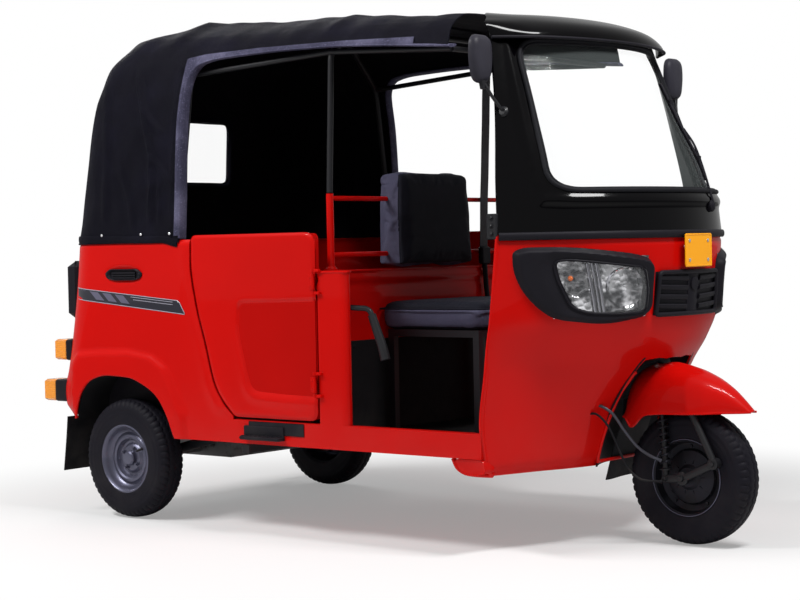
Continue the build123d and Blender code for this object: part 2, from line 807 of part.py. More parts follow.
# columns: station, foot y, foot z, edge y, edge z
BOWS = (
    (rear_bow_x, body_half - panel_wall / 2 - 8.0, body_top_z + 1.6, rear_edge_y, rear_edge_z),
    (rail_x, rail_y, post_top_z + 3.0, mid_edge_y, edge_z),
)
bow_tubes = []
for x, foot_y, foot_z, side_y, side_z in BOWS:
    top_z = roof_at(x) - bow_drop
    bow_path = [
        (x, -foot_y, foot_z), (x, -side_y, side_z), (x, -side_y + bow_shoulder, top_z),
        (x, side_y - bow_shoulder, top_z), (x, side_y, side_z), (x, foot_y, foot_z),
    ]
    bow_tubes.append(tube(bow_path, bow_radius, 45.0))
rail_tubes = [
    tube([(rear_bow_x, side * rear_edge_y, rear_edge_z), (rail_x, side * mid_edge_y, edge_z),
          (front_bow_x, side * front_edge_y, front_edge_z)], rail_radius, 60.0)
    for side in (-1, 1)
]
cross_tube = tube([(front_bow_x, -front_edge_y, front_edge_z),
                   (front_bow_x, front_edge_y, front_edge_z)], rail_radius, 0.0)
with BuildPart() as canopy_bows:
    add(bow_tubes)
    add(rail_tubes)
    add(cross_tube)
save(canopy_bows, "canopy_bows")

# ---- Guard rail on the bulkhead, carrying the driver's backrest ------------------------
post_radius = 12.0
bar_radius = 8.0
with BuildPart() as guard_rail:
    for side in (-1, 1):
        with BuildSketch(Plane.XY.offset(bulkhead_top_z)):
            with Locations((rail_x, side * rail_y)):
                Circle(post_radius)
        extrude(amount=post_top_z - bulkhead_top_z)
        with BuildSketch(Plane.XY.offset(bulkhead_top_z)):
            with Locations((rail_x, side * rail_y)):
                Rectangle(44.0, 44.0)
        extrude(amount=6.0)
    for z in rail_bars_z:
        with BuildSketch(Plane.XZ.offset(-rail_y)):
            with Locations((rail_x, z)):
                Circle(bar_radius)
        extrude(amount=2 * rail_y)
save(guard_rail, "guard_rail")

# ---- Driver's seat ---------------------------------------------------------------------
seat_half = 285.0
seat_rear_x = bulkhead_x + bulkhead_wall + 2.0
seat_length = 440.0
seat_low_z, seat_high_z = 672.0, 768.0
leg_size = 24.0
with BuildPart() as driver_seat_frame:
    with BuildSketch(Plane.XY.offset(seat_low_z - leg_size)):
        with Locations((seat_rear_x + seat_length / 2, 0)):
            Rectangle(seat_length - 60.0, 2 * seat_half - 60.0)
            Rectangle(
                seat_length - 60.0 - 2 * leg_size, 2 * seat_half - 60.0 - 2 * leg_size,
                mode=Mode.SUBTRACT,
            )
    extrude(amount=leg_size - seam)
    with BuildSketch(Plane.XY.offset(floor_z)):
        with Locations((seat_rear_x + seat_length / 2, 0)):
            with GridLocations(seat_length - 60.0 - leg_size, 2 * seat_half - 60.0 - leg_size, 2, 2):
                Rectangle(leg_size, leg_size)
    extrude(amount=seat_low_z - leg_size - floor_z)
save(driver_seat_frame, "driver_seat_frame")


def cushion(low, high, corner, edge):
    """Plain block of a cushion with rounded corners and a rounded top edge."""
    size = [b - a for a, b in zip(low, high)]
    with BuildPart() as pad:
        with BuildSketch(Plane.XY.offset(low[2])):
            with Locations(((low[0] + high[0]) / 2, (low[1] + high[1]) / 2)):
                RectangleRounded(size[0], size[1], corner)
        extrude(amount=size[2])
        fillet(pad.faces().sort_by(Axis.Z)[-1].edges(), radius=edge)
    return pad.part


driver_pad = cushion(
    (seat_rear_x, -seat_half, seat_low_z),
    (seat_rear_x + seat_length, seat_half, seat_high_z), 45.0, 26.0,
)
with BuildPart() as driver_cushion:
    add(driver_pad)
save(driver_cushion, "driver_cushion")

back_half = 205.0
back_low_z, back_high_z = 878.0, 1210.0
back_outline = [
    (rail_x - 48.0, back_low_z), (rail_x + 78.0, back_low_z),
    (rail_x + 66.0, back_high_z), (rail_x - 48.0, back_high_z),
]
back_block = side_prism(back_outline, -back_half, back_half)
bar_room = [
    rod((rail_x, -back_half - 1.0, z), (rail_x, back_half + 1.0, z), bar_radius + seam)
    for z in rail_bars_z
]
with BuildPart() as driver_backrest:
    add(back_block)
    fillet(driver_backrest.edges().filter_by(Axis.Y), radius=16.0)
    add(bar_room, mode=Mode.SUBTRACT)
save(driver_backrest, "driver_backrest")

# ---- Passenger seat --------------------------------------------------------------------
bench_front_x = rear_axle_x + 330.0
bench_z = 590.0
bench_wall = 12.0
bench_half = body_half - panel_wall - seam
bench_rear_x = rear_axle_x - 215.0
bench_corner = 95.0
housing_half = rear_track / 2 - tyre_width / 2 - 22.0
with BuildPart() as seat_box:
    with BuildSketch(Plane.XY.offset(bench_z)):
        Polygon(
            (bench_front_x, -bench_half),
            (bench_front_x, bench_half),
            (bench_rear_x + bench_corner, bench_half),
            (bench_rear_x, bench_half - bench_corner),
            (bench_rear_x, -bench_half + bench_corner),
            (bench_rear_x + bench_corner, -bench_half),
            align=None,
        )
    extrude(amount=bench_wall)
    with BuildSketch(Plane.XY.offset(floor_z)):
        with Locations((bench_front_x + bench_wall / 2, 0)):
            Rectangle(bench_wall, 2 * bench_half)
    extrude(amount=bench_z + bench_wall - floor_z)
    for side in (-1, 1):
        with BuildSketch(Plane.XY.offset(rear_skirt_z)):
            with Locations(((bench_front_x + bench_rear_x) / 2, side * (housing_half - 4.0))):
                Rectangle(bench_front_x - bench_rear_x, 8.0)
        extrude(amount=bench_z - rear_skirt_z)
save(seat_box, "seat_box")

bench_pad_top_z = bench_z + bench_wall + seam + 110.0
passenger_pad = cushion(
    (bench_rear_x + 75.0, -bench_half + 30.0, bench_z + bench_wall + seam),
    (bench_front_x, bench_half - 30.0, bench_pad_top_z), 60.0, 30.0,
)
with BuildPart() as passenger_cushion:
    add(passenger_pad)
save(passenger_cushion, "passenger_cushion")

bench_back_half = body_half - 165.0
bench_back_z = 965.0
bench_back_x = rear_axle_x - 258.0
with BuildPart() as passenger_backrest:
    with BuildSketch(Plane.XZ.offset(-bench_back_half)):
        Polygon(
            (bench_back_x + 6.0, bench_z + bench_wall + seam),
            (bench_back_x + 112.0, bench_z + bench_wall + seam),
            (bench_back_x + 92.0, bench_back_z),
            (bench_back_x + 6.0, bench_back_z),
            align=None,
        )
    extrude(amount=2 * bench_back_half)
    fillet(passenger_backrest.edges().filter_by(Axis.Y).sort_by(Axis.Z)[-2:], radius=22.0)
save(passenger_backrest, "passenger_backrest")

# ---- Chassis frame under the floor -----------------------------------------------------
beam_y, beam_width, beam_height = 260.0, 50.0, 50.0
frame_top_z = floor_z - 14.0
frame_rear_x = rear_axle_x - 290.0
frame_front_x = front_axle_x - 400.0
cross_stations = (frame_rear_x + 20.0, rear_axle_x + 340.0, bulkhead_x + 20.0, frame_front_x - 25.0)
# columns: station, half length
outriggers = (
    (door_rear_low_x + 20.0, body_half - panel_wall - 2.0),
    (sill_front_x - 135.0, body_half - 180.0),
)
cross_width, outrigger_width, outrigger_height = 40.0, 30.0, 28.0
step_x = rear_axle_x + 715.0
step_length, step_width = 180.0, 34.0
step_low_z = sill_bottom_z + 16.0
tread_height, leaf_height, step_leaf = 14.0, 46.0, 10.0
with BuildPart() as chassis_frame:
    with BuildSketch(Plane.XY.offset(frame_top_z - beam_height)):
        for side in (-1, 1):
            with Locations(((frame_rear_x + frame_front_x) / 2, side * beam_y)):
                Rectangle(frame_front_x - frame_rear_x, beam_width)
        for x in cross_stations:
            with Locations((x, 0)):
                Rectangle(cross_width, 2 * beam_y)
    extrude(amount=beam_height)
    with BuildSketch(Plane.XY.offset(frame_top_z - beam_height)):
        for x, reach in outriggers:
            with Locations((x, 0)):
                Rectangle(outrigger_width, 2 * reach)
    extrude(amount=outrigger_height)
save(chassis_frame, "chassis_frame")

with BuildPart() as side_steps:
    for side in (-1, 1):
        with BuildSketch(Plane.XY.offset(step_low_z)):
            with Locations((step_x, side * (body_half + seam + step_width / 2))):
                Rectangle(step_length, step_width)
        extrude(amount=tread_height)
        with BuildSketch(Plane.XY.offset(step_low_z)):
            with Locations((step_x, side * (body_half + seam + step_leaf / 2))):
                Rectangle(step_length, step_leaf)
        extrude(amount=leaf_height)
save(side_steps, "side_steps")

# ---- Steering head: cross member and head tube -----------------------------------------
head_tube = turned(((stem_radius + running_fit, head_low), (head_radius, head_low),
                    (head_radius, head_high), (stem_radius + running_fit, head_high)))
head_bore = turned(((0.0, head_low - 60.0), (stem_radius + running_fit, head_low - 60.0),
                    (stem_radius + running_fit, head_high + 60.0), (0.0, head_high + 60.0)))
head_mid = along_steer((head_low + head_high) / 2)
cross_zone = box_between(
    (head_mid[0] - 22.0, -body_half, head_mid[2] - 26.0),
    (head_mid[0] + 22.0, body_half, head_mid[2] + 26.0),
)
with BuildPart() as steering_head:
    add(cowl_inside)
    add(cross_zone, mode=Mode.INTERSECT)
    add(head_tube)
    add(head_bore, mode=Mode.SUBTRACT)
save(steering_head, "steering_head")

# ---- Power unit between the frame's beams ----------------------------------------------
power_half, power_low_z, power_high_z = 205.0, 190.0, 500.0
power_rear_x, power_front_x = rear_axle_x - 215.0, rear_axle_x + 165.0
arm_y = rear_track / 2 - 110.0
carrier_width = 40.0
shaft_radius = 11.0
power_block = box_between(
    (power_rear_x, -power_half, power_low_z), (power_front_x, power_half, power_high_z)
)
with BuildPart() as power_unit:
    add(power_block)
    with BuildSketch(Plane.XY.offset(frame_top_z - beam_height + 10.0)):
        for x in (power_rear_x + 60.0, power_front_x - 60.0):
            with Locations((x, 0)):
                Rectangle(50.0, 2 * (beam_y - beam_width / 2))
    extrude(amount=20.0)
    with BuildSketch(Plane.XZ.offset(-(arm_y - carrier_width / 2 - seam))):
        with Locations((rear_axle_x, tyre_radius)):
            Circle(shaft_radius)
    extrude(amount=2 * (arm_y - carrier_width / 2 - seam))
save(power_unit, "power_unit")


# ---- Rear suspension: trailing arm, damper and stub axle -------------------------------
stub_radius = 12.0
wheel_y = rear_track / 2
pivot_x, pivot_z = rear_axle_x + 316.0, frame_top_z - beam_height / 2
damper_x = rear_axle_x + 82.0
for side, name in ((-1, "right"), (1, "left")):
    pivot_tube = rod((pivot_x, side * (beam_y + beam_width / 2 + seam), pivot_z),
                     (pivot_x, side * (arm_y + 18.0), pivot_z), 18.0)
    arm = rod((pivot_x, side * arm_y, pivot_z), (rear_axle_x, side * arm_y, tyre_radius), 17.0)
    carrier = rod((rear_axle_x, side * (arm_y - carrier_width / 2), tyre_radius),
                  (rear_axle_x, side * (arm_y + carrier_width / 2), tyre_radius), 38.0)
    stub = rod((rear_axle_x, side * arm_y, tyre_radius),
               (rear_axle_x, side * (wheel_y + 32.0), tyre_radius), stub_radius)
    damper = rod((damper_x, side * arm_y, tyre_radius + 20.0),
                 (damper_x, side * arm_y, bench_z - seam), 21.0)
    with BuildPart() as rear_suspension:
        add(arm)
        add([pivot_tube, carrier, stub, damper])
    save(rear_suspension, f"rear_suspension_{name}")

# ---- Wheels ----------------------------------------------------------------------------
# Tyre section: columns: radius, distance from the middle
TYRE_SECTION = (
    (rim_radius, -tyre_width / 2 + 8.0), (rim_radius + 16.0, -tyre_width / 2 + 1.0),
    (tyre_radius - 42.0, -tyre_width / 2), (tyre_radius - 14.0, -tyre_width / 2 + 10.0),
    (tyre_radius - 3.0, -tyre_width / 2 + 22.0), (tyre_radius, 0.0),
)


def wheel_solid(points, centre_x, centre_y):
    """Solid turned about a wheel's axle from an outline of radius and offset."""
    hub = Plane(origin=(centre_x, centre_y, tyre_radius), x_dir=(1, 0, 0), z_dir=(0, 0, 1))
    with BuildPart() as solid:
        with BuildSketch(hub):
            Polygon(*points, align=None)
        revolve(axis=Axis((centre_x, centre_y, tyre_radius), (0, 1, 0)))
    return solid.part


def tyre(centre_x, centre_y):
    """Plain tyre of a wheel."""
    half = [(r, w) for r, w in TYRE_SECTION]
    mirrored = [(r, -w) for r, w in reversed(half[:-1])]
    return wheel_solid(half + mirrored, centre_x, centre_y)


def rim(centre_x, centre_y, bore, out, drum_radius):
    """Dished rim with its hub and brake drum; out is +1 or -1 along Y."""
    edge = rim_radius - seam
    half = tyre_width / 2 - 9.0
    section = [
        (edge, -half), (edge, half), (edge - 9.0, half), (edge - 15.0, 24.0),
        (drum_radius - 4.0, 20.0), (46.0, 34.0), (bore, 34.0), (bore, -half - 2.0),
        (drum_radius, -half - 2.0), (drum_radius, 6.0), (edge - 9.0, 6.0), (edge - 9.0, -half),
    ]
    return wheel_solid([(r, out * w) for r, w in section], centre_x, centre_y)


pin_radius = 8.0
wheel_table = (
    ("rear", "right", rear_axle_x, -wheel_y, stub_radius, -1),
    ("rear", "left", rear_axle_x, wheel_y, stub_radius, 1),
    ("front", "", front_axle_x, 0.0, pin_radius, -1),
)
drum_radius = 84.0
for end, side_name, x, y, shaft, out in wheel_table:
    tail = f"_{side_name}" if side_name else ""
    tyre_solid = tyre(x, y)
    rim_solid = rim(x, y, shaft + running_fit, out, drum_radius)
    with BuildPart() as tyre_piece:
        add(tyre_solid)
    save(tyre_piece, f"{end}_tyre{tail}")
    with BuildPart() as rim_piece:
        add(rim_solid)
    save(rim_piece, f"{end}_rim{tail}")

# ---- Front fork with its trailing links and dampers ------------------------------------
leg_y = 71.0
crown_height = 505.0
link_pivot = (front_axle_x + 112.0, tyre_radius + 52.0)
link_rear = (front_axle_x - 58.0, tyre_radius - 3.0)
crown_x, _, crown_z = along_steer(crown_height)
knee_x, _, knee_z = along_steer(470.0, 75.0)
stem = rod(along_steer(crown_height - 8.0), along_steer(column_top), stem_radius)
crown_bar = rod((crown_x, -leg_y - 10.0, crown_z), (crown_x, leg_y + 10.0, crown_z), 13.0)
axle_pin = rod((front_axle_x, -leg_y - 16.0, tyre_radius),
               (front_axle_x, leg_y + 16.0, tyre_radius), pin_radius)
fork_bars = [crown_bar, axle_pin]
for side in (-1, 1):
    y = side * leg_y
    fork_bars += [
        rod((crown_x, y, crown_z), (knee_x, y, knee_z), 11.0),
        rod((knee_x, y, knee_z), (link_pivot[0], y, link_pivot[1]), 11.0),
        rod((link_pivot[0], y, link_pivot[1]), (front_axle_x, y, tyre_radius), 11.0),
        rod((front_axle_x, y, tyre_radius), (link_rear[0], y, link_rear[1]), 11.0),
        rod((link_rear[0], y, link_rear[1]), (crown_x, y, crown_z), 13.0),
        rod((link_pivot[0], side * (leg_y - 13.0), link_pivot[1]),
            (link_pivot[0], side * (leg_y + 15.0), link_pivot[1]), 17.0),
    ]
with BuildPart() as front_fork:
    add(stem)
    add(fork_bars)
save(front_fork, "front_fork")

# ---- Handlebar and grips ---------------------------------------------------------------
bar_x, _, bar_z = along_steer(column_top)
bar_tube_radius = 11.0
grip_radius, grip_length = 17.0, 112.0
hand_y, hand_back = 180.0, 92.0
neck = rod(along_steer(column_top + seam), along_steer(column_top + 34.0), stem_radius + 5.0)
handle_tubes = []
grip_tubes = []
for side in (-1, 1):
    rise = bar_z + 24.0
    inner = (bar_x - 8.0, 0.0, rise)
    knee = (bar_x - 20.0, side * 80.0, rise + 10.0)
    hand = (bar_x - hand_back, side * hand_y, rise + 22.0)
    tip = (bar_x - hand_back - 34.0, side * (hand_y + grip_length), rise + 18.0)
    handle_tubes += [rod(inner, knee, bar_tube_radius), rod(knee, hand, bar_tube_radius)]
    grip_tubes.append(rod(hand, tip, grip_radius))
grip_room = Part() + grip_tubes
with BuildPart() as handlebar:
    add(neck)
    add(handle_tubes)
    add(grip_room, mode=Mode.SUBTRACT)
save(handlebar, "handlebar")
with BuildPart() as hand_grips:
    add(grip_tubes)
save(hand_grips, "hand_grips")

# ---- Front mudguard and flap -----------------------------------------------------------
guard_half = 95.0
guard_wall = 4.0


def guard_block(inset, drop):
    """Block of the mudguard, inset all round, its underside lowered by a drop."""
    x = front_axle_x
    with BuildPart() as block:
        with BuildSketch(Plane.XZ.offset(-guard_half + inset)):
            with BuildLine():
                rise = ThreePointArc(
                    (x - 206.0 + inset, 470.0), (x - 172.0 + inset, 545.0), (x - 81.0, 571.0 - inset)
                )
                fall = ThreePointArc(
                    rise @ 1, (x + 72.0 - inset, 534.0 - inset), (x + 213.0 - 2.4 * inset, 424.0)
                )
                Polyline(
                    fall @ 1,
                    (x + 213.0 - 2.4 * inset, 423.0 - drop),
                    (x - 96.0, 415.0 - drop),
                    (x - 169.0, 366.0 - drop),
                    (x - 206.0 + inset, 401.0 - drop),
                    rise @ 0,
                )
            make_face()
        extrude(amount=2 * (guard_half - inset))
        with BuildSketch(Plane.XY.offset(200.0)):
            Polygon(
                (x - 230.0, -guard_half), (x + 20.0, -guard_half), (x + 214.0, -16.0),
                (x + 214.0, 16.0), (x + 20.0, guard_half), (x - 230.0, guard_half), align=None,
            )
            if inset > 0:
                offset(amount=-inset, kind=Kind.INTERSECTION)
        extrude(amount=400.0, mode=Mode.INTERSECT)
        with BuildSketch(Plane.YZ.offset(x - 260.0)):
            with BuildLine():
                half = guard_half - inset
                top = ThreePointArc((-half, 500.0 - inset), (0, 572.0 - inset), (half, 500.0 - inset))
                Polyline(top @ 1, (half, 100.0), (-half, 100.0), top @ 0)
            make_face()
        extrude(amount=500.0, mode=Mode.INTERSECT)
    return block.part


guard_outer = guard_block(0.0, 0.0)
guard_inner = guard_block(guard_wall, 60.0)
stem_room = turned(((0.0, 500.0), (stem_radius + seam, 500.0), (stem_radius + seam, 700.0),
                    (0.0, 700.0)))
with BuildPart() as front_mudguard:
    add(guard_outer)
    add(guard_inner, mode=Mode.SUBTRACT)
    add(stem_room, mode=Mode.SUBTRACT)
save(front_mudguard, "front_mudguard")

flap_half, flap_wall, flap_low_z = 88.0, 5.0, 190.0
flap_lean = 72.0
flap_x = front_axle_x - 206.0 - seam
flap_slab = side_prism(
    [
        (flap_x, 455.0), (flap_x - flap_wall, 455.0), (flap_x - flap_wall, 395.0),
        (flap_x - flap_lean - flap_wall, flap_low_z), (flap_x - flap_lean, flap_low_z), (flap_x, 395.0),
    ],
    -flap_half, flap_half,
)
with BuildPart() as front_flap:
    add(flap_slab)
save(front_flap, "front_flap")

# ---- Rear mudflaps, lamps and plates ---------------------------------------------------
rear_end_x = -(front_axle_x + tyre_radius)
tub_clear = tub_block(-seam, tub_front_x)
mudflap_outline = from_rear([
    (-303.0, rear_skirt_z - seam), (-309.0, rear_skirt_z - seam), (-334.0, 150.0), (-328.0, 150.0),
])
mudflap_y, mudflap_half = body_half - 120.0, 95.0
mudflap_pair = [
    side_prism(mudflap_outline, y - mudflap_half, y + mudflap_half)
    for y in (-mudflap_y, mudflap_y)
]
with BuildPart() as rear_mudflaps:
    add(mudflap_pair)
save(rear_mudflaps, "rear_mudflaps")

pod_rear_x, pod_front_x = rear_axle_x - 364.0, rear_axle_x - 250.0
pod_inner_y, pod_outer_y = body_half - 180.0, body_half - 75.0
pod_low_z, pod_high_z = 705.0, 920.0
pod_edge = 34.0
pod_zones = [
    box_between(*zip(*(sorted(ends) for ends in (
        (pod_rear_x, pod_front_x),
        (side * pod_inner_y, side * pod_outer_y),
        (pod_low_z, pod_high_z),
    ))))
    for side in (-1, 1)
]
with BuildPart() as tail_pods:
    add(pod_zones)
    fillet(tail_pods.edges().filter_by(Axis.Y).group_by(Axis.X)[0], radius=pod_edge)
    add(tub_clear, mode=Mode.SUBTRACT)
save(tail_pods, "tail_pods")

# columns: rear end x, inner and outer distance in from the body side, low z, high z
REAR_LAMPS = (
    (rear_end_x + 38.0, 140.0, 52.0, 555.0, 632.0),
    (rear_end_x, 118.0, 30.0, 405.0, 485.0),
)
lamp_front_x = rear_axle_x - 290.0
lamp_boxes = [
    box_between(*zip(*(sorted(ends) for ends in (
        (back, lamp_front_x),
        (side * (body_half - inner), side * (body_half - outer)),
        (low, high),
    ))))
    for side in (-1, 1)
    for back, inner, outer, low, high in REAR_LAMPS
]
with BuildPart() as rear_lamps:
    add(lamp_boxes)
    add(tub_clear, mode=Mode.SUBTRACT)
save(rear_lamps, "rear_lamps")

plate_half, plate_wall = 80.0, 2.0
rear_plate_half, rear_plate_low_z, rear_plate_high_z = 100.0, 830.0, 930.0
front_plate_low_z, front_plate_high_z = 867.0, 970.0
nose_reach = COWL_LEVELS[-1][-1]
front_plate_x = front_axle_x + nose_reach + grille_proud + seam
stud_y, stud_z, stud_radius = 55.0, 930.0, 5.0
rear_plate_out = tub_block(-seam - plate_wall, tub_front_x)
rear_plate_zone = box_between(
    (rear_far_x, -rear_plate_half, rear_plate_low_z),
    (rear_axle_x, rear_plate_half, rear_plate_high_z),
)
front_plate_box = box_between(
    (front_plate_x, -plate_half, front_plate_low_z),
    (front_plate_x + plate_wall, plate_half, front_plate_high_z),
)
plate_studs = [
    rod((front_axle_x - 5.0, y, stud_z), (front_plate_x + 1.0, y, stud_z), stud_radius)
    for y in (-stud_y, stud_y)
]
cowl_clear = front_block(COWL_LEVELS, -seam, 0.5)
with BuildPart() as front_plate:
    add(front_plate_box)
    add(plate_studs)
    add(cowl_clear, mode=Mode.SUBTRACT)
save(front_plate, "front_plate")
with BuildPart() as rear_plate:
    add(rear_plate_out)
    add(tub_clear, mode=Mode.SUBTRACT)
    add(rear_plate_zone, mode=Mode.INTERSECT)
save(rear_plate, "rear_plate")

# ---- Mirrors ---------------------------------------------------------------------------
mirror_x, mirror_y, mirror_z = front_axle_x - 383.0, body_half - 45.0, 1505.0
mirror_width, mirror_height, mirror_depth = 104.0, 148.0, 30.0
mirror_foot = (front_axle_x - 346.0, body_half - 88.0, 1351.0)
surround_clear = front_block(SCREEN_LEVELS, -seam, entry_reach)
stalk_radius, stalk_bend = 6.5, 12.0
mirror_corner = 34.0
foot_x, foot_y, foot_z = mirror_foot
right_stalk = tube(
    [(foot_x - 10.0, -foot_y + 30.0, foot_z - 12.0), (foot_x, -foot_y - 14.0, foot_z + 20.0),
     (mirror_x, -mirror_y, mirror_z - 30.0)],
    stalk_radius, stalk_bend,
)
with BuildPart() as mirrors:
    with BuildSketch(Plane.YZ.offset(mirror_x - mirror_depth / 2)):
        with Locations((-mirror_y, mirror_z)):
            RectangleRounded(mirror_width, mirror_height, mirror_corner)
    extrude(amount=mirror_depth)
    add(right_stalk)
    add(surround_clear, mode=Mode.SUBTRACT)
    mirror(about=Plane.XZ)
save(mirrors, "mirrors")

# ---- Driver's controls: parking lever and foot pedal -----------------------------------
lever_pivot = (bulkhead_x + 150.0, -body_half + 32.0, 758.0)
lever_knee = (bulkhead_x + 220.0, -body_half + 62.0, 752.0)
lever_tip = (bulkhead_x + 277.0, -body_half + 66.0, 590.0)
lever_radius, grip_radius = 9.0, 13.0
lever_bars = [
    rod(lever_pivot, lever_knee, lever_radius), rod(lever_knee, lever_tip, grip_radius)
]
pedal_x, pedal_y = front_axle_x - 430.0, -150.0
pedal_foot = box_between(
    (pedal_x - 60.0, pedal_y - 15.0, floor_z + seam), (pedal_x - 20.0, pedal_y + 15.0, floor_z + 14.0)
)
pedal_bar = rod((pedal_x - 40.0, pedal_y, floor_z + 10.0), (pedal_x + 40.0, pedal_y, floor_z + 60.0),
                8.0)
pedal_face = Plane(origin=(pedal_x + 30.0, pedal_y, floor_z + 66.0), z_dir=(-0.6, 0, 0.8))
pedal_pad = pedal_face * Box(64.0, 70.0, 10.0)
bulkhead_clear = bulkhead.part
with BuildPart() as driver_controls:
    add(lever_bars)
    add([pedal_foot, pedal_bar, pedal_pad])
    add(bulkhead_clear, mode=Mode.SUBTRACT)
save(driver_controls, "driver_controls")

# ---- Control cables from the cowl to the fork ------------------------------------------
cable_radius, cable_bend = 4.0, 24.0
cable_front = 1106.0
cable_routes = (
    [(864.0, -232.0, 437.0), (915.0, -222.0, 440.0), (958.0, -190.0, 400.0),
     (985.0, -160.0, 335.0), (1018.0, -132.0, 285.0), (1046.0, -100.0, 262.0)],
    [(868.0, -252.0, 418.0), (905.0, -240.0, 416.0), (938.0, -214.0, 370.0),
     (948.0, -182.0, 300.0), (966.0, -150.0, 238.0), (1005.0, -122.0, 205.0),
     (1048.0, -98.0, 200.0)],
)
cables = []
for route in cable_routes:
    placed = [(front_axle_x - cable_front + x, y, z) for x, y, z in route]
    cables.append(tube(placed, cable_radius, cable_bend))
with BuildPart() as control_cables:
    add(cables)
    add(cowl_clear, mode=Mode.SUBTRACT)
save(control_cables, "control_cables")
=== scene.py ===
"""Looks of a three-wheeled auto rickshaw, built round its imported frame.

All shapes are given in millimetres in the vehicle's own frame, +X forward, +Y to its left and
+Z up, and become metres when an object is made.
"""

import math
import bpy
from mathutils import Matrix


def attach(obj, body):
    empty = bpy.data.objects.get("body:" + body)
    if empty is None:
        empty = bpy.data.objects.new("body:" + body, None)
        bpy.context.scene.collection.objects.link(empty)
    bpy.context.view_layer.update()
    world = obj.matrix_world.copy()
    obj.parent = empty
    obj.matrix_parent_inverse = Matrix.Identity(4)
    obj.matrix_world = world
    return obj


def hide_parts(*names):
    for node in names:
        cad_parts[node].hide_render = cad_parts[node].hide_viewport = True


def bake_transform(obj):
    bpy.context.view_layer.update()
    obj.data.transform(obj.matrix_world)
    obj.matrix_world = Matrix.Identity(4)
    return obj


bl_info = {
    "name": "Auto rickshaw dressing",
    "version": (1, 0, 0),
    "blender": (4, 5, 0),
    "location": "View3D > Sidebar > Rickshaw",
    "description": "Builds the outer pieces and finishes of an auto rickshaw",
    "category": "Object",
}

import bmesh
import bpy
import numpy as np
from bpy.props import FloatProperty, FloatVectorProperty, PointerProperty
from mathutils import Matrix, Vector

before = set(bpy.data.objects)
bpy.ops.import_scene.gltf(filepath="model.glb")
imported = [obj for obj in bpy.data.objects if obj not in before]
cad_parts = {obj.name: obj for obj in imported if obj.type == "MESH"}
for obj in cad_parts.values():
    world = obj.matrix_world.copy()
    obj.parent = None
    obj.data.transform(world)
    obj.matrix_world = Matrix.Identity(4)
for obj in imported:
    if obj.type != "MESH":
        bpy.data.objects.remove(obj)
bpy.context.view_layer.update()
MM = 0.001

# ---- Sizes shared with the frame --------------------------------------------------------
WHEELBASE = 1985.0
REAR_AXLE = -879.0
FRONT_AXLE = REAR_AXLE + WHEELBASE
TYRE_RADIUS = 213.0
BODY_HALF = 600.0
BELT_Z = 975.0
BODY_TOP_Z = 986.0
SILL_TOP_Z = 380.0
SKIRT_Z = 352.0
RAKE = math.radians(18.0)
STEER_GROUND_X = FRONT_AXLE + 82.0
PANEL_WALL = 5.0
# Stations between which a cut in Y and Z runs through the front or the rear
FRONT_SPAN = (560.0, 1300.0)
REAR_SPAN = (-1400.0, -1000.0)
SIDES = (("right", -1.0), ("left", 1.0))
LID_PIVOT_X, LID_PIVOT_Z = -1207.0, 771.0
LID_HINGES = (-180.0, 180.0)
DOOR_HINGES = (840.0, 508.0)
RAIL_X, RAIL_HALF, RAIL_TOP_Z = 42.0, 485.0, 1110.0


# ---- Shader values ----------------------------------------------------------------------
class Value:
    """A number in a node tree. Arithmetic on it adds Math nodes."""

    def __init__(self, finish, link):
        self.finish = finish
        self.link = link

    def math(self, operation, *others, clamp=False):
        """Math node with this value first."""
        inputs = dict(enumerate((self, *others)))
        settings = {"operation": operation, "use_clamp": clamp}
        return self.finish.node("ShaderNodeMath", settings, inputs)

    def __add__(self, other):
        return self.math("ADD", other)

    def __sub__(self, other):
        return self.math("SUBTRACT", other)

    def __rsub__(self, other):
        return self.finish.node("ShaderNodeMath", {"operation": "SUBTRACT"}, {0: other, 1: self})

    def __mul__(self, other):
        return self.math("MULTIPLY", other)

    def __pow__(self, other):
        return self.math("POWER", other)

    __radd__ = __add__
    __rmul__ = __mul__

    def clamped(self):
        """The value held between 0 and 1."""
        return self.math("ADD", 0.0, clamp=True)

    def step(self, low, high):
        """Smooth rise from 0 at low to 1 at high."""
        settings = {"interpolation_type": "SMOOTHSTEP"}
        return self.finish.node("ShaderNodeMapRange", settings, {0: self, 1: low, 2: high})


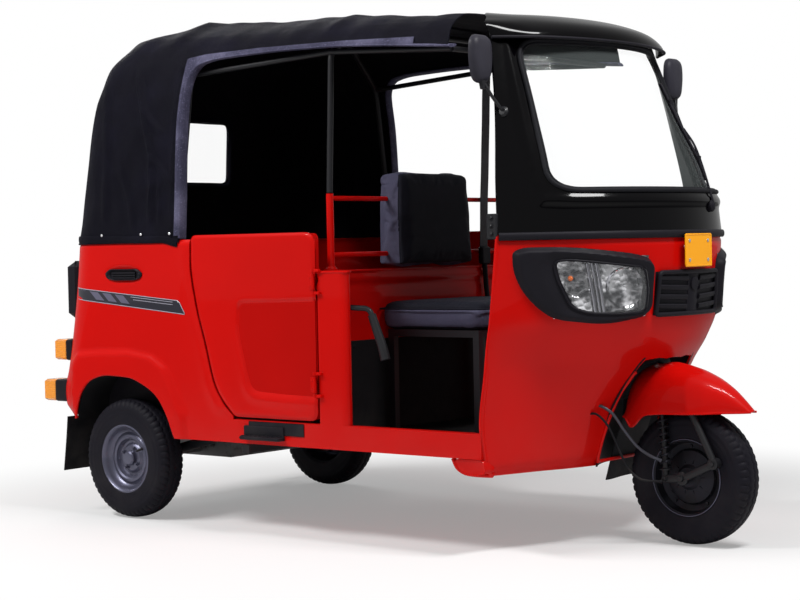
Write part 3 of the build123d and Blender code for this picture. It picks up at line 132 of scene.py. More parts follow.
class Finish:
    """One material and the nodes that make it."""

    def __init__(self, name, **constants):
        self.material = bpy.data.materials.new(name)
        self.material.use_nodes = True
        self.tree = self.material.node_tree
        self.shader = self.tree.nodes["Principled BSDF"]
        for key, value in constants.items():
            self.feed(key.replace("_", " ").title().replace("Ior", "IOR"), value)

    def feed(self, socket, value):
        """Set or link a socket of the main shader."""
        self.join(self.shader.inputs[socket], value)

    def join(self, target, value):
        """Link a value to a socket, or set the socket to a constant."""
        link = value.link if isinstance(value, Value) else value
        if isinstance(link, bpy.types.NodeSocket):
            self.tree.links.new(link, target)
        elif target.type == "RGBA" and len(link) == 3:
            target.default_value = (*link, 1.0)
        else:
            target.default_value = link

    def node(self, kind, settings=None, inputs=None, out=0):
        """Any node: its settings first, then the values or links of its sockets."""
        made = self.tree.nodes.new(kind)
        for key, value in (settings or {}).items():
            setattr(made, key, value)
        for key, value in (inputs or {}).items():
            self.join(made.inputs[key], value)
        return Value(self, made.outputs[out])

    def place(self):
        """Position on the piece, in metres."""
        return self.node("ShaderNodeTexCoord", out="Object")

    def axes(self):
        """The three coordinates of the position as separate values."""
        split = self.node("ShaderNodeSeparateXYZ", {}, {0: self.place()})
        outputs = split.link.node.outputs
        return [Value(self, outputs[i]) for i in range(3)]

    def noise(self, scale, detail=3.0, roughness=0.55, stretch=None):
        """Fractal noise from 0 to 1."""
        spot = self.place()
        if stretch:
            spot = self.node("ShaderNodeVectorMath", {"operation": "MULTIPLY"}, {0: spot, 1: stretch})
        inputs = {"Vector": spot, "Scale": scale, "Detail": detail, "Roughness": roughness}
        return self.node("ShaderNodeTexNoise", {}, inputs)

    def cells(self, scale, feature="F1"):
        """Distance to the nearest of scattered points."""
        inputs = {"Vector": self.place(), "Scale": scale}
        return self.node("ShaderNodeTexVoronoi", {"feature": feature}, inputs)

    def mix(self, factor, first, second):
        """Colour between two colours."""
        inputs = {0: factor, 6: first, 7: second}
        return self.node("ShaderNodeMix", {"data_type": "RGBA"}, inputs, out=2)

    def bump(self, height, distance, strength=1.0):
        """Feed the surface normal with a height."""
        inputs = {"Height": height, "Distance": distance, "Strength": strength}
        self.feed("Normal", self.node("ShaderNodeBump", {}, inputs))


def dusted(finish, colour, rough, dust=(0.28, 0.25, 0.22), amount=0.25, top=0.55):
    """Road dust that thickens towards the ground, on colour and roughness."""
    height = finish.axes()[2]
    patches = finish.noise(9.0, 5.0, 0.6)
    film = (1.0 - height.step(0.05, top)) * patches.step(0.35, 0.75) * amount
    finish.feed("Base Color", finish.mix(film, colour, dust))
    finish.feed("Roughness", (rough + film * 0.5).clamped())


def paint(name, colour, rough=0.32, coat=0.17, dark=0.8):
    """Sprayed gloss paint: faint orange peel, slow colour drift, dust low down."""
    finish = Finish(name, coat_weight=coat, coat_roughness=0.03, specular_ior_level=0.04)
    deep = tuple(c * dark for c in colour)
    drift = finish.mix(finish.noise(2.2, 2.0), colour, deep)
    dusted(finish, drift, finish.noise(55.0, 2.0) * 0.08 + rough, amount=0.04)
    finish.bump(finish.noise(420.0, 1.0), 0.00035, 0.12)
    return finish.material


def vinyl(name, colour, pale, grain=520.0, depth=0.0006, rough=0.52, folds=0.0):
    """Coated cloth with a leather grain, faded in patches, with pale specks painted into its colour as
    highlights of the grain.
    """
    finish = Finish(name, sheen_weight=0.01, sheen_roughness=0.4, specular_ior_level=0.06)
    pebbles = finish.cells(grain, "DISTANCE_TO_EDGE").step(0.0, 0.22)
    fade = finish.noise(7.0, 5.0, 0.6).step(0.42, 0.72)
    # Painted highlight: pale specks in the colour stand for light caught by the grain.
    painted_grain_highlights = finish.noise(grain * 0.4, 2.0, 0.7).step(0.56, 0.72)
    tint = finish.mix(fade * 0.4 + painted_grain_highlights * 0.6, colour, pale)
    finish.feed("Base Color", tint)
    finish.feed("Roughness", (rough + finish.noise(40.0, 3.0) * 0.2 - pebbles * 0.06).clamped())
    wrinkles = finish.noise(11.0, 4.0, 0.5, stretch=(1.0, 1.0, 0.45)) * folds
    finish.bump(pebbles * depth + wrinkles, 1.0)
    return finish.material


def moulded(name, colour, rough=0.6, grain=900.0, depth=0.00025, dust=0.12):
    """Moulded plastic or rubber with a fine spark texture."""
    finish = Finish(name, specular_ior_level=0.12)
    tone = finish.mix(finish.noise(14.0, 4.0), colour, tuple(c * 1.5 for c in colour))
    dusted(finish, tone, finish.noise(30.0, 4.0) * 0.18 + rough - 0.05, amount=dust)
    finish.bump(finish.noise(grain, 2.0), depth, 0.8)
    return finish.material


def metal(name, colour, rough=0.35, metallic=1.0, brushed=0.0, dirt=0.0, coat=0.0):
    """Bare or painted metal with fine scratches and grime in patches."""
    finish = Finish(name, metallic=metallic, coat_weight=coat, coat_roughness=0.1, specular_ior_level=0.3)
    lines = finish.noise(60.0, 6.0, 0.7, stretch=(1.0, 1.0, 9.0))
    grime = finish.noise(24.0, 5.0, 0.65).step(0.5, 0.75) * dirt
    finish.feed("Base Color", finish.mix(grime, colour, (0.03, 0.027, 0.024)))
    finish.feed("Roughness", (rough + lines * 0.16 + grime * 0.4).clamped())
    finish.bump(lines * (0.00003 + brushed) + finish.noise(300.0, 2.0) * 0.00005, 1.0)
    return finish.material


def faceted_painted_reflections(name, dark, bright):
    """Reflector broken into flutes and facets, its colour swapping between dark and bright metal in patches
    as painted reflections.
    """
    finish = Finish(name, metallic=1.0)
    cells = finish.cells(48.0).step(0.25, 0.75)
    patches = finish.noise(16.0, 2.0, 0.5).step(0.44, 0.6)
    # Painted reflections: dark and bright metal in patches and cells.
    finish.feed("Base Color", finish.mix((patches * 0.75 + cells * 0.25).clamped(), dark, bright))
    finish.feed("Roughness", patches * -0.05 + 0.12)
    finish.bump(cells * 0.0012, 1.0, 0.7)
    return finish.material


def lens(name, colour, alpha=0.35, rough=0.03, ribs=0.0, coat=0.5):
    """Clear or coloured lens or pane."""
    finish = Finish(name, alpha=alpha, coat_weight=coat, coat_roughness=0.02)
    drift = finish.noise(6.0, 2.0)
    finish.feed("Base Color", finish.mix(drift, colour, tuple(c * 0.85 for c in colour)))
    finish.feed("Roughness", drift * 0.05 + rough)
    if ribs:
        across = finish.axes()[2] * ribs
        finish.bump(across.math("SINE") * 0.0004, 1.0, 0.7)
    return finish.material


def woven(name, colour, pale, pitch=1500.0):
    """Webbing woven in ribs along its length."""
    finish = Finish(name, sheen_weight=0.3, sheen_roughness=0.35)
    x, y, z = finish.axes()
    ribs = (z * pitch * 2.0).math("SINE") * ((x + y) * pitch).math("SINE")
    finish.feed("Base Color", finish.mix(ribs.step(-0.4, 0.9) * 0.6, colour, pale))
    finish.feed("Roughness", finish.noise(50.0, 2.0) * 0.15 + 0.62)
    finish.bump(ribs * 0.0003, 1.0)
    return finish.material


# ---- Curves through tables --------------------------------------------------------------
def smooth_rows(rows, count):
    """Rows of a table resampled along a smooth curve that never overshoots."""
    rows = np.array(rows, float)
    steps = np.linalg.norm(np.diff(rows, axis=0), axis=1)
    at = np.concatenate(([0.0], np.cumsum(steps)))
    slope = np.diff(rows, axis=0) / steps[:, None]
    tangent = np.zeros_like(rows)
    tangent[0], tangent[-1] = slope[0], slope[-1]
    before, after = slope[:-1], slope[1:]
    same = before * after > 0
    total = np.where(same, before + after, 1.0)
    tangent[1:-1] = np.where(same, 2 * before * after / total, 0.0)
    spots = np.linspace(0, at[-1], count)
    k = np.clip(np.searchsorted(at, spots, side="right") - 1, 0, len(rows) - 2)
    width = steps[k][:, None]
    s = ((spots - at[k]) / steps[k])[:, None]
    rise = (rows[k + 1] - rows[k]) * (3 * s**2 - 2 * s**3)
    lead = tangent[k] * width * (s - 2 * s**2 + s**3)
    tail = tangent[k + 1] * width * (s**3 - s**2)
    return rows[k] + rise + lead + tail


def even(points, spacing, closed=False):
    """Points spaced evenly along a polyline."""
    points = np.array(points, float)
    if closed:
        points = np.vstack([points, points[:1]])
    run = np.concatenate(([0.0], np.cumsum(np.linalg.norm(np.diff(points, axis=0), axis=1))))
    count = max(2, int(round(run[-1] / spacing)) + 1)
    spots = np.linspace(0, run[-1], count)
    out = np.column_stack([np.interp(spots, run, points[:, i]) for i in range(points.shape[1])])
    return out[:-1] if closed else out


def rounded(points, radius, spacing=4.0, closed=False):
    """Polyline with its corners rounded off, evenly spaced."""
    points = np.array(points, float)
    n = len(points)
    out = []
    for i in range(n):
        if not closed and i in (0, n - 1):
            out.append(points[i])
            continue
        before, after = points[i - 1] - points[i], points[(i + 1) % n] - points[i]
        length_a, length_b = np.linalg.norm(before), np.linalg.norm(after)
        reach = min(radius[i] if hasattr(radius, "__len__") else radius, length_a / 2, length_b / 2)
        if reach < 0.5:
            out.append(points[i])
            continue
        start, end = points[i] + before / length_a * reach, points[i] + after / length_b * reach
        for s in np.linspace(0, 1, 9):
            out.append((1 - s) ** 2 * start + 2 * s * (1 - s) * points[i] + s**2 * end)
    return even(out, spacing, closed)


def bell(x, width):
    """Smooth hump of height 1."""
    return np.exp(-((x / width) ** 2))


def ramp(x, low, high):
    """Smooth step from 0 at low to 1 at high."""
    s = np.clip((x - low) / (high - low), 0.0, 1.0)
    return s * s * (3 - 2 * s)


def line_distance(px, pz, run):
    """Distance of points to a polyline in a plane, and how far along it they lie."""
    best = np.full(np.shape(px), 1e9)
    along = np.zeros(np.shape(px))
    run = np.array(run, float)
    total = np.linalg.norm(np.diff(run, axis=0), axis=1).sum()
    gone = 0.0
    for a, b in zip(run[:-1], run[1:]):
        d = b - a
        length = np.hypot(*d)
        t = np.clip(((px - a[0]) * d[0] + (pz - a[1]) * d[1]) / length**2, 0, 1)
        away = np.hypot(px - a[0] - t * d[0], pz - a[1] - t * d[1])
        nearer = away < best
        best = np.where(nearer, away, best)
        along = np.where(nearer, (gone + t * length) / total, along)
        gone += length
    return best, along


def inside(px, pz, outline):
    """Whether points lie inside a closed outline."""
    hit = np.zeros(np.shape(px), bool)
    for (x0, z0), (x1, z1) in zip(outline, outline[1:] + outline[:1]):
        crosses = (z0 > pz) != (z1 > pz)
        with np.errstate(divide="ignore", invalid="ignore"):
            where = (x1 - x0) * (pz - z0) / (z1 - z0) + x0
        hit ^= crosses & (px < where)
    return hit


def signed(px, pz, outline):
    """Distance to an outline, positive inside it."""
    away, _ = line_distance(px, pz, list(outline) + [outline[0]])
    return np.where(inside(px, pz, list(outline)), away, -away)


# ---- Shapes -----------------------------------------------------------------------------
class Shape:
    """Points and faces of one object, in millimetres, gathered from simple parts."""

    def __init__(self):
        self.points = []
        self.faces = []
        self.slots = []
        self.slot = 0

    def add(self, points, faces):
        """Add points, and faces that count from the first of them."""
        base = len(self.points)
        self.points += [tuple(float(c) for c in p) for p in points]
        self.faces += [tuple(base + i for i in face) for face in faces]
        self.slots += [self.slot] * len(faces)
        return self

    def grid(self, rows, wrap=False, ends=False):
        """Quads between rows of equal length; wrap joins each row's ends."""
        rows = np.asarray(rows, float)
        count, width = rows.shape[:2]
        last = width if wrap else width - 1
        faces = [
            (i * width + j, i * width + (j + 1) % width, (i + 1) * width + (j + 1) % width,
             (i + 1) * width + j)
            for i in range(count - 1)
            for j in range(last)
        ]
        if ends:
            faces.append(tuple(reversed(range(width))))
            faces.append(tuple((count - 1) * width + j for j in range(width)))
        return self.add(rows.reshape(-1, 3), faces)

    def lathe(self, profile, centre=(0, 0, 0), axis=(0, 1, 0), steps=64):
        """Turn an outline of radius and offset about an axis through a centre."""
        turn = Vector((0, 0, 1)).rotation_difference(Vector(axis)).to_matrix()
        rows = []
        for i in range(steps):
            a = 2 * math.pi * i / steps
            ring = [turn @ Vector((r * math.cos(a), r * math.sin(a), w)) for r, w in profile]
            rows.append([Vector(centre) + p for p in ring])
        rows.append(rows[0])
        return self.grid([[tuple(p) for p in row] for row in rows])

    def pipe(self, path, radius, sides=12, closed=False, across=None, flat=1.0):
        """Round or oval bar along a path; across fixes which way the oval lies."""
        path = np.array(path, float)
        n = len(path)
        if closed:
            tangent = np.roll(path, -1, 0) - np.roll(path, 1, 0)
        else:
            tangent = np.gradient(path, axis=0)
        tangent /= np.linalg.norm(tangent, axis=1)[:, None]
        radii = np.full(n, radius) if np.isscalar(radius) else np.asarray(radius)
        side = np.array(across if across is not None else (0.31, 0.52, 0.79), float)
        sides_at = np.broadcast_to(side, path.shape)
        rows = []
        for p, t, r, s in zip(path, tangent, radii, sides_at):
            u = s - t * np.dot(s, t)
            u /= np.linalg.norm(u)
            v = np.cross(t, u)
            angles = np.linspace(0, 2 * math.pi, sides, endpoint=False)
            rows.append([p + r * (math.cos(a) * u + flat * math.sin(a) * v) for a in angles])
        if closed:
            rows.append(rows[0])
        return self.grid(rows, wrap=True, ends=not closed)

    def block(self, low, high, bevel=0.0):
        """Box between two corners with chamfered upright and level edges."""
        low, high = np.array(low, float), np.array(high, float)
        b = min(bevel, *((high - low) / 2.01))
        if b <= 0:
            pts = [(x, y, z) for x in (low[0], high[0]) for y in (low[1], high[1])
                   for z in (low[2], high[2])]
            return self.add(pts, [(0, 1, 3, 2), (4, 6, 7, 5), (0, 4, 5, 1), (2, 3, 7, 6),
                                  (0, 2, 6, 4), (1, 5, 7, 3)])
        rows = []
        plan = [(low[0] + b, low[1]), (high[0] - b, low[1]), (high[0], low[1] + b),
                (high[0], high[1] - b), (high[0] - b, high[1]), (low[0] + b, high[1]),
                (low[0], high[1] - b), (low[0], low[1] + b)]
        middle = (low + high) / 2
        for z, draw in ((low[2], 1), (low[2] + b, 0), (high[2] - b, 0), (high[2], 1)):
            rows.append([
                (x - math.copysign(b * draw, x - middle[0]), y - math.copysign(b * draw, y - middle[1]), z)
                for x, y in plan
            ])
        return self.grid(rows, wrap=True, ends=True)

    def prism(self, outline, place, depth):
        """Closed outline pushed through a depth; place maps (u, v, w) to a point."""
        rows = [[place(u, v, w) for u, v in outline] for w in depth]
        return self.grid(rows, wrap=True, ends=True)

    def bolt(self, centre, normal, radius=7.0, height=5.0, sides=6):
        """Hexagon head on a washer."""
        n = Vector(normal).normalized()
        c = Vector(centre)
        self.lathe([(0, 0), (radius * 1.45, 0), (radius * 1.45, 1.4), (radius, 1.6)], c, n, 20)
        profile = [(radius, 1.4), (radius, height * 0.8), (radius * 0.85, height), (0, height)]
        return self.lathe(profile, c, n, sides)

    def button(self, centre, normal, radius=6.0, height=4.0):
        """Domed stud."""
        profile = [(0, 0), (radius, 0), (radius, height * 0.35), (radius * 0.8, height * 0.75),
                   (radius * 0.4, height), (0, height)]
        return self.lathe(profile, Vector(centre), Vector(normal).normalized(), 20)

    def mirrored(self):
        """Add the same shape on the other side of the vehicle."""
        count = len(self.points)
        self.points += [(x, -y, z) for x, y, z in self.points]
        self.faces += [tuple(count + i for i in reversed(face)) for face in self.faces]
        self.slots += self.slots
        return self

    def mesh(self, name, finishes=()):
        """Mesh of the gathered points in metres."""
        made = bpy.data.meshes.new(name)
        made.from_pydata([tuple(c * MM for c in p) for p in self.points], [], self.faces)
        for finish in finishes:
            made.materials.append(finish)
        made.polygons.foreach_set("material_index", self.slots)
        made.update()
        return made

    def make(self, name, body, slot, *finishes, sharp=38.0, weld=0.02, outward=True):
        """Object of the shape, riding on a body."""
        obj = bpy.data.objects.new(name, self.mesh(name, finishes))
        bpy.context.scene.collection.objects.link(obj)
        clean(obj, weld, outward)
        shade(obj, sharp)
        if body:
            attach(obj, body)
        return obj


def clean(obj, weld=0.02, outward=True):
    """Weld doubled points, drop empty faces and turn the faces outwards."""
    work = bmesh.new()
    work.from_mesh(obj.data)
    bmesh.ops.remove_doubles(work, verts=work.verts, dist=weld * MM)
    bmesh.ops.dissolve_degenerate(work, edges=work.edges, dist=1e-6)
    if outward:
        bmesh.ops.recalc_face_normals(work, faces=work.faces)
    work.to_mesh(obj.data)
    work.free()


def shade(obj, sharp):
    """Smooth shading, split where faces meet at more than an angle."""
    obj.data.polygons.foreach_set("use_smooth", [True] * len(obj.data.polygons))
    obj.data.set_sharp_from_angle(angle=math.radians(sharp))


def settle(obj, sharp=38.0):
    """Apply an object's modifiers to its mesh."""
    graph = bpy.context.evaluated_depsgraph_get()
    graph.update()
    made = bpy.data.meshes.new_from_object(obj.evaluated_get(graph), preserve_all_data_layers=True,
                                           depsgraph=graph)
    obj.modifiers.clear()
    obj.data = made
    shade(obj, sharp)


def thicken(obj, wall, offset=-1.0, lining=0, sharp=38.0):
    """Give a sheet a wall on its inner side; lining counts on to the inner side's finish."""
    modifier = obj.modifiers.new("wall", "SOLIDIFY")
    modifier.thickness = wall * MM
    modifier.offset = offset
    modifier.material_offset = lining
    settle(obj, sharp)


def face_ahead(obj):
    """Turn an open sheet's faces so that its middle one looks forward."""
    faces = obj.data.polygons
    if faces[len(faces) // 2].normal.x < 0:
        obj.data.flip_normals()


def carve(obj, tool, operation="DIFFERENCE", sharp=38.0):
    """Cut an object with a closed shape, or keep what lies inside it."""
    cutter = bpy.data.objects.new("cutter", tool.mesh("cutter"))
    bpy.context.scene.collection.objects.link(cutter)
    clean(cutter)
    modifier = obj.modifiers.new("cut", "BOOLEAN")
    modifier.operation = operation
    modifier.solver = "EXACT"
    modifier.object = cutter
    settle(obj, sharp)
    bpy.data.objects.remove(cutter)


def flat_place(u, v, w):
    """Outline in X and Z pushed along Y."""
    return (u, w, v)


def facing_place(u, v, w):
    """Outline in Y and Z pushed along X."""
    return (w, u, v)


def plan_place(u, v, w):
    """Outline in X and Y pushed along Z."""
    return (u, v, w)


def steer_point(radius, height, turn):
    """Point about the steering axis."""
    axis = Vector((-math.sin(RAKE), 0, math.cos(RAKE)))
    ahead = Vector((math.cos(RAKE), 0, math.sin(RAKE)))
    foot = Vector((STEER_GROUND_X, 0, 0))
    return foot + axis * height + radius * (math.cos(turn) * ahead + math.sin(turn) * Vector((0, 1, 0)))


# ---- Finishes ---------------------------------------------------------------------------
FINISHES = {}


def make_finishes(red):
    """All materials, made once."""
    made = FINISHES
    made["red"] = paint("red_paint", red)
    made["red_inner"] = paint("red_inner_paint", tuple(c * 0.8 for c in red), rough=0.42, coat=0.05)
    made["gloss_black"] = paint("gloss_black_paint", (0.0008, 0.0006, 0.0011), rough=0.12, coat=0.2)
    made["frame_black"] = metal("satin_black_metal", (0.006, 0.006, 0.008), 0.4, 0.0, coat=0.05)
    made["canopy"] = vinyl("canopy_vinyl", (0.002, 0.0017, 0.0055), (0.0085, 0.0078, 0.019), folds=0.006)
    # Pale copy of the canopy vinyl: a painted highlight for the lit turned edge and its band.
    made["canopy_hem"] = vinyl("canopy_edge_painted_highlight_vinyl", (0.05, 0.048, 0.085), (0.24, 0.23, 0.36))
    made["lining"] = vinyl("hood_lining", (0.004, 0.004, 0.006), (0.01, 0.01, 0.014), rough=0.75)
    made["seat"] = vinyl("seat_vinyl", (0.0085, 0.0088, 0.014), (0.014, 0.0145, 0.022), grain=760.0,
                         depth=0.0003, rough=0.5)
    # Paler copy of the seat vinyl: painted light on the cushions' side faces.
    made["seat_side"] = vinyl("seat_side_vinyl", (0.062, 0.06, 0.1), (0.11, 0.105, 0.16), grain=760.0,
                              depth=0.0003, rough=0.48)
    made["plastic"] = moulded("moulded_plastic", (0.0068, 0.0062, 0.009), 0.5)
    made["grey_plastic"] = moulded("grey_plastic", (0.022, 0.021, 0.028), 0.38)
    made["rubber"] = moulded("rubber", (0.007, 0.007, 0.009), 0.62, 500.0, 0.0003)
    made["tyre"] = moulded("tyre_rubber", (0.0045, 0.004, 0.0072), 0.58, 420.0, 0.0004, dust=0.03)
    made["mat"] = moulded("floor_mat_rubber", (0.006, 0.006, 0.007), 0.7, 300.0, 0.0006)
    made["silver"] = metal("silver_enamel", (0.1, 0.1, 0.145), 0.3, 0.7, dirt=0.25, coat=0.25)
    made["dark_metal"] = metal("dark_cast_metal", (0.02, 0.02, 0.026), 0.42, 0.8, dirt=0.5)
    made["engine"] = metal("cast_alloy", (0.2, 0.2, 0.2), 0.5, 0.9, dirt=0.8)
    made["zinc"] = metal("bright_zinc", (0.72, 0.72, 0.74), 0.24, 1.0, dirt=0.2)
    made["chrome"] = metal("chrome", (0.3, 0.3, 0.33), 0.1, 1.0, brushed=0.00002)
    made["reflector"] = faceted_painted_reflections("lamp_reflector", (0.02, 0.02, 0.024), (0.95, 0.95, 0.98))
    made["sheath"] = metal("wound_steel_sheath", (0.06, 0.06, 0.075), 0.3, 0.7, dirt=0.4)
    made["mirror"] = metal("mirror_face", (0.9, 0.9, 0.92), 0.02, 1.0)
    made["glass"] = lens("screen_glass", (0.75, 0.85, 0.85), 0.03, coat=0.0)
    made["lens"] = lens("lamp_lens", (0.8, 0.82, 0.85), 0.05, coat=0.3)
    made["amber"] = lens("amber_lens", (0.95, 0.33, 0.02), 0.96, 0.12, ribs=900.0)
    made["red_lens"] = lens("red_lens", (0.5, 0.01, 0.01), 0.96, 0.12, ribs=900.0)
    made["amber_bulb"] = lens("amber_bulb", (0.8, 0.16, 0.02), 0.8)
    made["plate"] = paint("plate_enamel", (0.99, 0.4, 0.004), rough=0.3, coat=0.4, dark=0.94)
    made["stripe_dark"] = paint("stripe_dark_film", (0.03, 0.03, 0.04), rough=0.3, coat=0.5)
    made["stripe_grey"] = paint("stripe_grey_film", (0.12, 0.115, 0.17), rough=0.3, coat=0.5)
    made["stripe_pale"] = paint("stripe_pale_film", (0.36, 0.35, 0.42), rough=0.3, coat=0.5)
    made["webbing"] = woven("belt_webbing", (0.01, 0.01, 0.014), (0.03, 0.03, 0.045))
    return made


# ---- Canopy -----------------------------------------------------------------------------
# Columns: z at the rear, z at the front, rear face from the rear axle, half width at the
# rear, half width at the front, rear corner radius
HOOD_LEVELS = (
    (978.0, 978.0, -291.0, 604.5, 603.0, 165.0),
    (1000.0, 1000.0, -283.0, 603.0, 596.0, 165.0),
    (1375.0, 1375.0, -226.0, 584.0, 562.0, 165.0),
    (1474.0, 1474.0, -213.0, 574.0, 533.0, 165.0),
    (1541.0, 1530.0, -192.0, 560.0, 507.0, 170.0),
    (1604.0, 1575.0, -172.0, 542.0, 490.0, 175.0),
    (1669.0, 1622.0, -120.0, 500.0, 474.0, 180.0),
    (1708.0, 1655.0, -92.0, 455.0, 440.0, 165.0),
    (1733.0, 1674.0, 60.0, 395.0, 395.0, 130.0),
    (1760.0, 1678.0, 160.0, 330.0, 345.0, 100.0),
)
HOOD_FRONT_X = FRONT_AXLE - 560.0
HOOD_WALL = 4.0
ENTRY_REAR_X = REAR_AXLE + 327.0
# Entry opening: columns: x from the rear axle, z
ENTRY_EDGE = (
    (327.0, 1490.0), (332.0, 1530.0), (350.0, 1565.0), (386.0, 1588.0), (476.0, 1601.0),
    (709.0, 1606.0), (943.0, 1602.0), (1144.0, 1590.0), (1435.0, 1564.0),
)
# Creases pressed outwards over the quarter: points x, z; then width and height
HOOD_CREASES = (
    (((-800.0, 1600.0), (-751.0, 1452.0), (-694.0, 1275.0), (-700.0, 1010.0)), 12.0, 12.0),
    (((-694.0, 1277.0), (-640.0, 1225.0), (-585.0, 1176.0)), 10.0, 9.0),
    (((-752.0, 1454.0), (-700.0, 1400.0), (-640.0, 1350.0)), 11.0, 8.0),
    (((-940.0, 1560.0), (-925.0, 1300.0), (-930.0, 1020.0)), 16.0, 7.0),
    (((-660.0, 1225.0), (-652.0, 1120.0), (-650.0, 1025.0)), 8.0, 7.0),
    (((-860.0, 1250.0), (-800.0, 1130.0), (-780.0, 1010.0)), 13.0, 7.0),
    (((-588.0, 1600.0), (-590.0, 1300.0), (-592.0, 1010.0)), 9.0, 5.0),
)
HOOD_BOWS = (-660.0, 42.0)
WINDOW_HALF, WINDOW_LOW_Z, WINDOW_HIGH_Z = 222.0, 1212.0, 1438.0


def hood_half_ring(row, spacing=13.0):
    """Right half of one level, from its front edge round to the middle of the rear."""
    rear_z, front_z, rear, rear_half, front_half, corner = row
    back = REAR_AXLE + rear
    turn = np.linspace(0, math.pi / 2, 15)
    straight = np.linspace(0, 1, int(1530 / spacing))[:, None]
    front, joint = np.array([HOOD_FRONT_X, -front_half]), np.array([back + corner, -rear_half])
    flank = front + (joint - front) * straight
    bend = np.column_stack([
        back + corner - corner * np.sin(turn), -rear_half + corner - corner * np.cos(turn)
    ])
    rear_run = np.linspace(0, 1, 22)[:, None]
    face = bend[-1] + (np.array([back, 0.0]) - bend[-1]) * rear_run
    plan = np.vstack([flank, bend[1:], face[1:]])
    share = (HOOD_FRONT_X - plan[:, 0]) / (HOOD_FRONT_X - back)
    z = front_z + (rear_z - front_z) * share
    return np.column_stack([plan, z])


def hood_relief(points, normals):
    """Push the hood's cloth out over its bows and in between them, with folds."""
    x, y, z = points.T
    side = ramp(np.abs(y), 400.0, 540.0) * ramp(z, 992.0, 1060.0)
    lift = np.zeros(len(points))
    for run, width, height in HOOD_CREASES:
        away, along = line_distance(x, z, run)
        fade = ramp(along, -0.02, 0.1) * (1 - ramp(along, 0.85, 1.0)) + 0.15
        lift += bell(away, width) * height * side * fade
        lift -= bell(away, width * 2.6) * height * 0.35 * side * fade
    top = ramp(z, 1600.0, 1690.0)
    for bow in HOOD_BOWS:
        lift += bell(x - bow, 34.0) * 5.0 * top
    lift += bell(x - 70.0, 210.0) * 7.0 * top * (1 - ramp(np.abs(y), 330.0, 470.0))
    lift -= bell(x + 310.0, 150.0) * 4.0 * top
    lift -= bell(x - 300.0, 120.0) * 3.0 * top
    rear = ramp(-x, 960.0, 1040.0) * ramp(z, 1000.0, 1080.0) * (1 - ramp(z, 1480.0, 1600.0))
    lift += np.sin(y * 0.035 + 1.1) * np.sin(z * 0.012) * 3.0 * rear
    wave = np.sin(x * 0.021 + z * 0.013) + np.sin(x * 0.043 - z * 0.031 + 1.7)
    lift += wave * 1.1 * ramp(z, 1010.0, 1100.0)
    lift -= 2.0
    return points + normals * lift[:, None]


def hood_sheet():
    """The hood as one sheet: its walls, rear corner and roof."""
    rows = smooth_rows(HOOD_LEVELS, 96)
    half = np.array([hood_half_ring(row) for row in rows])
    far = half[:, ::-1] * np.array([1.0, -1.0, 1.0])
    walls = np.concatenate([half, far[:, 1:]], axis=1)
    top_right, top_left = half[-1], half[-1] * np.array([1.0, -1.0, 1.0])
    share = np.linspace(0, 1, 41)[:, None, None]
    cap = top_right + (top_left - top_right) * share
    crown = 6.0 * np.sin(math.pi * share[:, :, 0])
    cap[:, :, 2] += crown * np.minimum(1.0, np.abs(top_right[:, 1]) / 200.0)
    shape = Shape().grid(walls)
    shape.grid(cap)
    return shape


def relieve(obj, relief):
    """Move an object's points, in millimetres, along their normals by a function."""
    count = len(obj.data.vertices)
    points = np.empty(count * 3)
    normals = np.empty(count * 3)
    obj.data.vertices.foreach_get("co", points)
    obj.data.vertices.foreach_get("normal", normals)
    moved = relief(points.reshape(-1, 3) / MM, normals.reshape(-1, 3))
    obj.data.vertices.foreach_set("co", (moved * MM).ravel())
    obj.data.update()


def hood_side_y(x, z):
    """Half width of the hood's side at a station and height."""
    rows = smooth_rows(HOOD_LEVELS, 200)
    share = (HOOD_FRONT_X - x) / (HOOD_FRONT_X - REAR_AXLE - rows[:, 2] - rows[:, 5])
    level_z = rows[:, 1] + (rows[:, 0] - rows[:, 1]) * np.clip(share, 0, 1)
    half = rows[:, 4] + (rows[:, 3] - rows[:, 4]) * np.clip(share, 0, 1)
    return float(np.interp(z, level_z, half))


def entry_outline():
    """Outline of the side opening in X and Z."""
    top = smooth_rows([(REAR_AXLE + x, z) for x, z in ENTRY_EDGE], 60)
    return [tuple(p) for p in top] + [(HOOD_FRONT_X + 30.0, 960.0), (ENTRY_REAR_X, 960.0)]


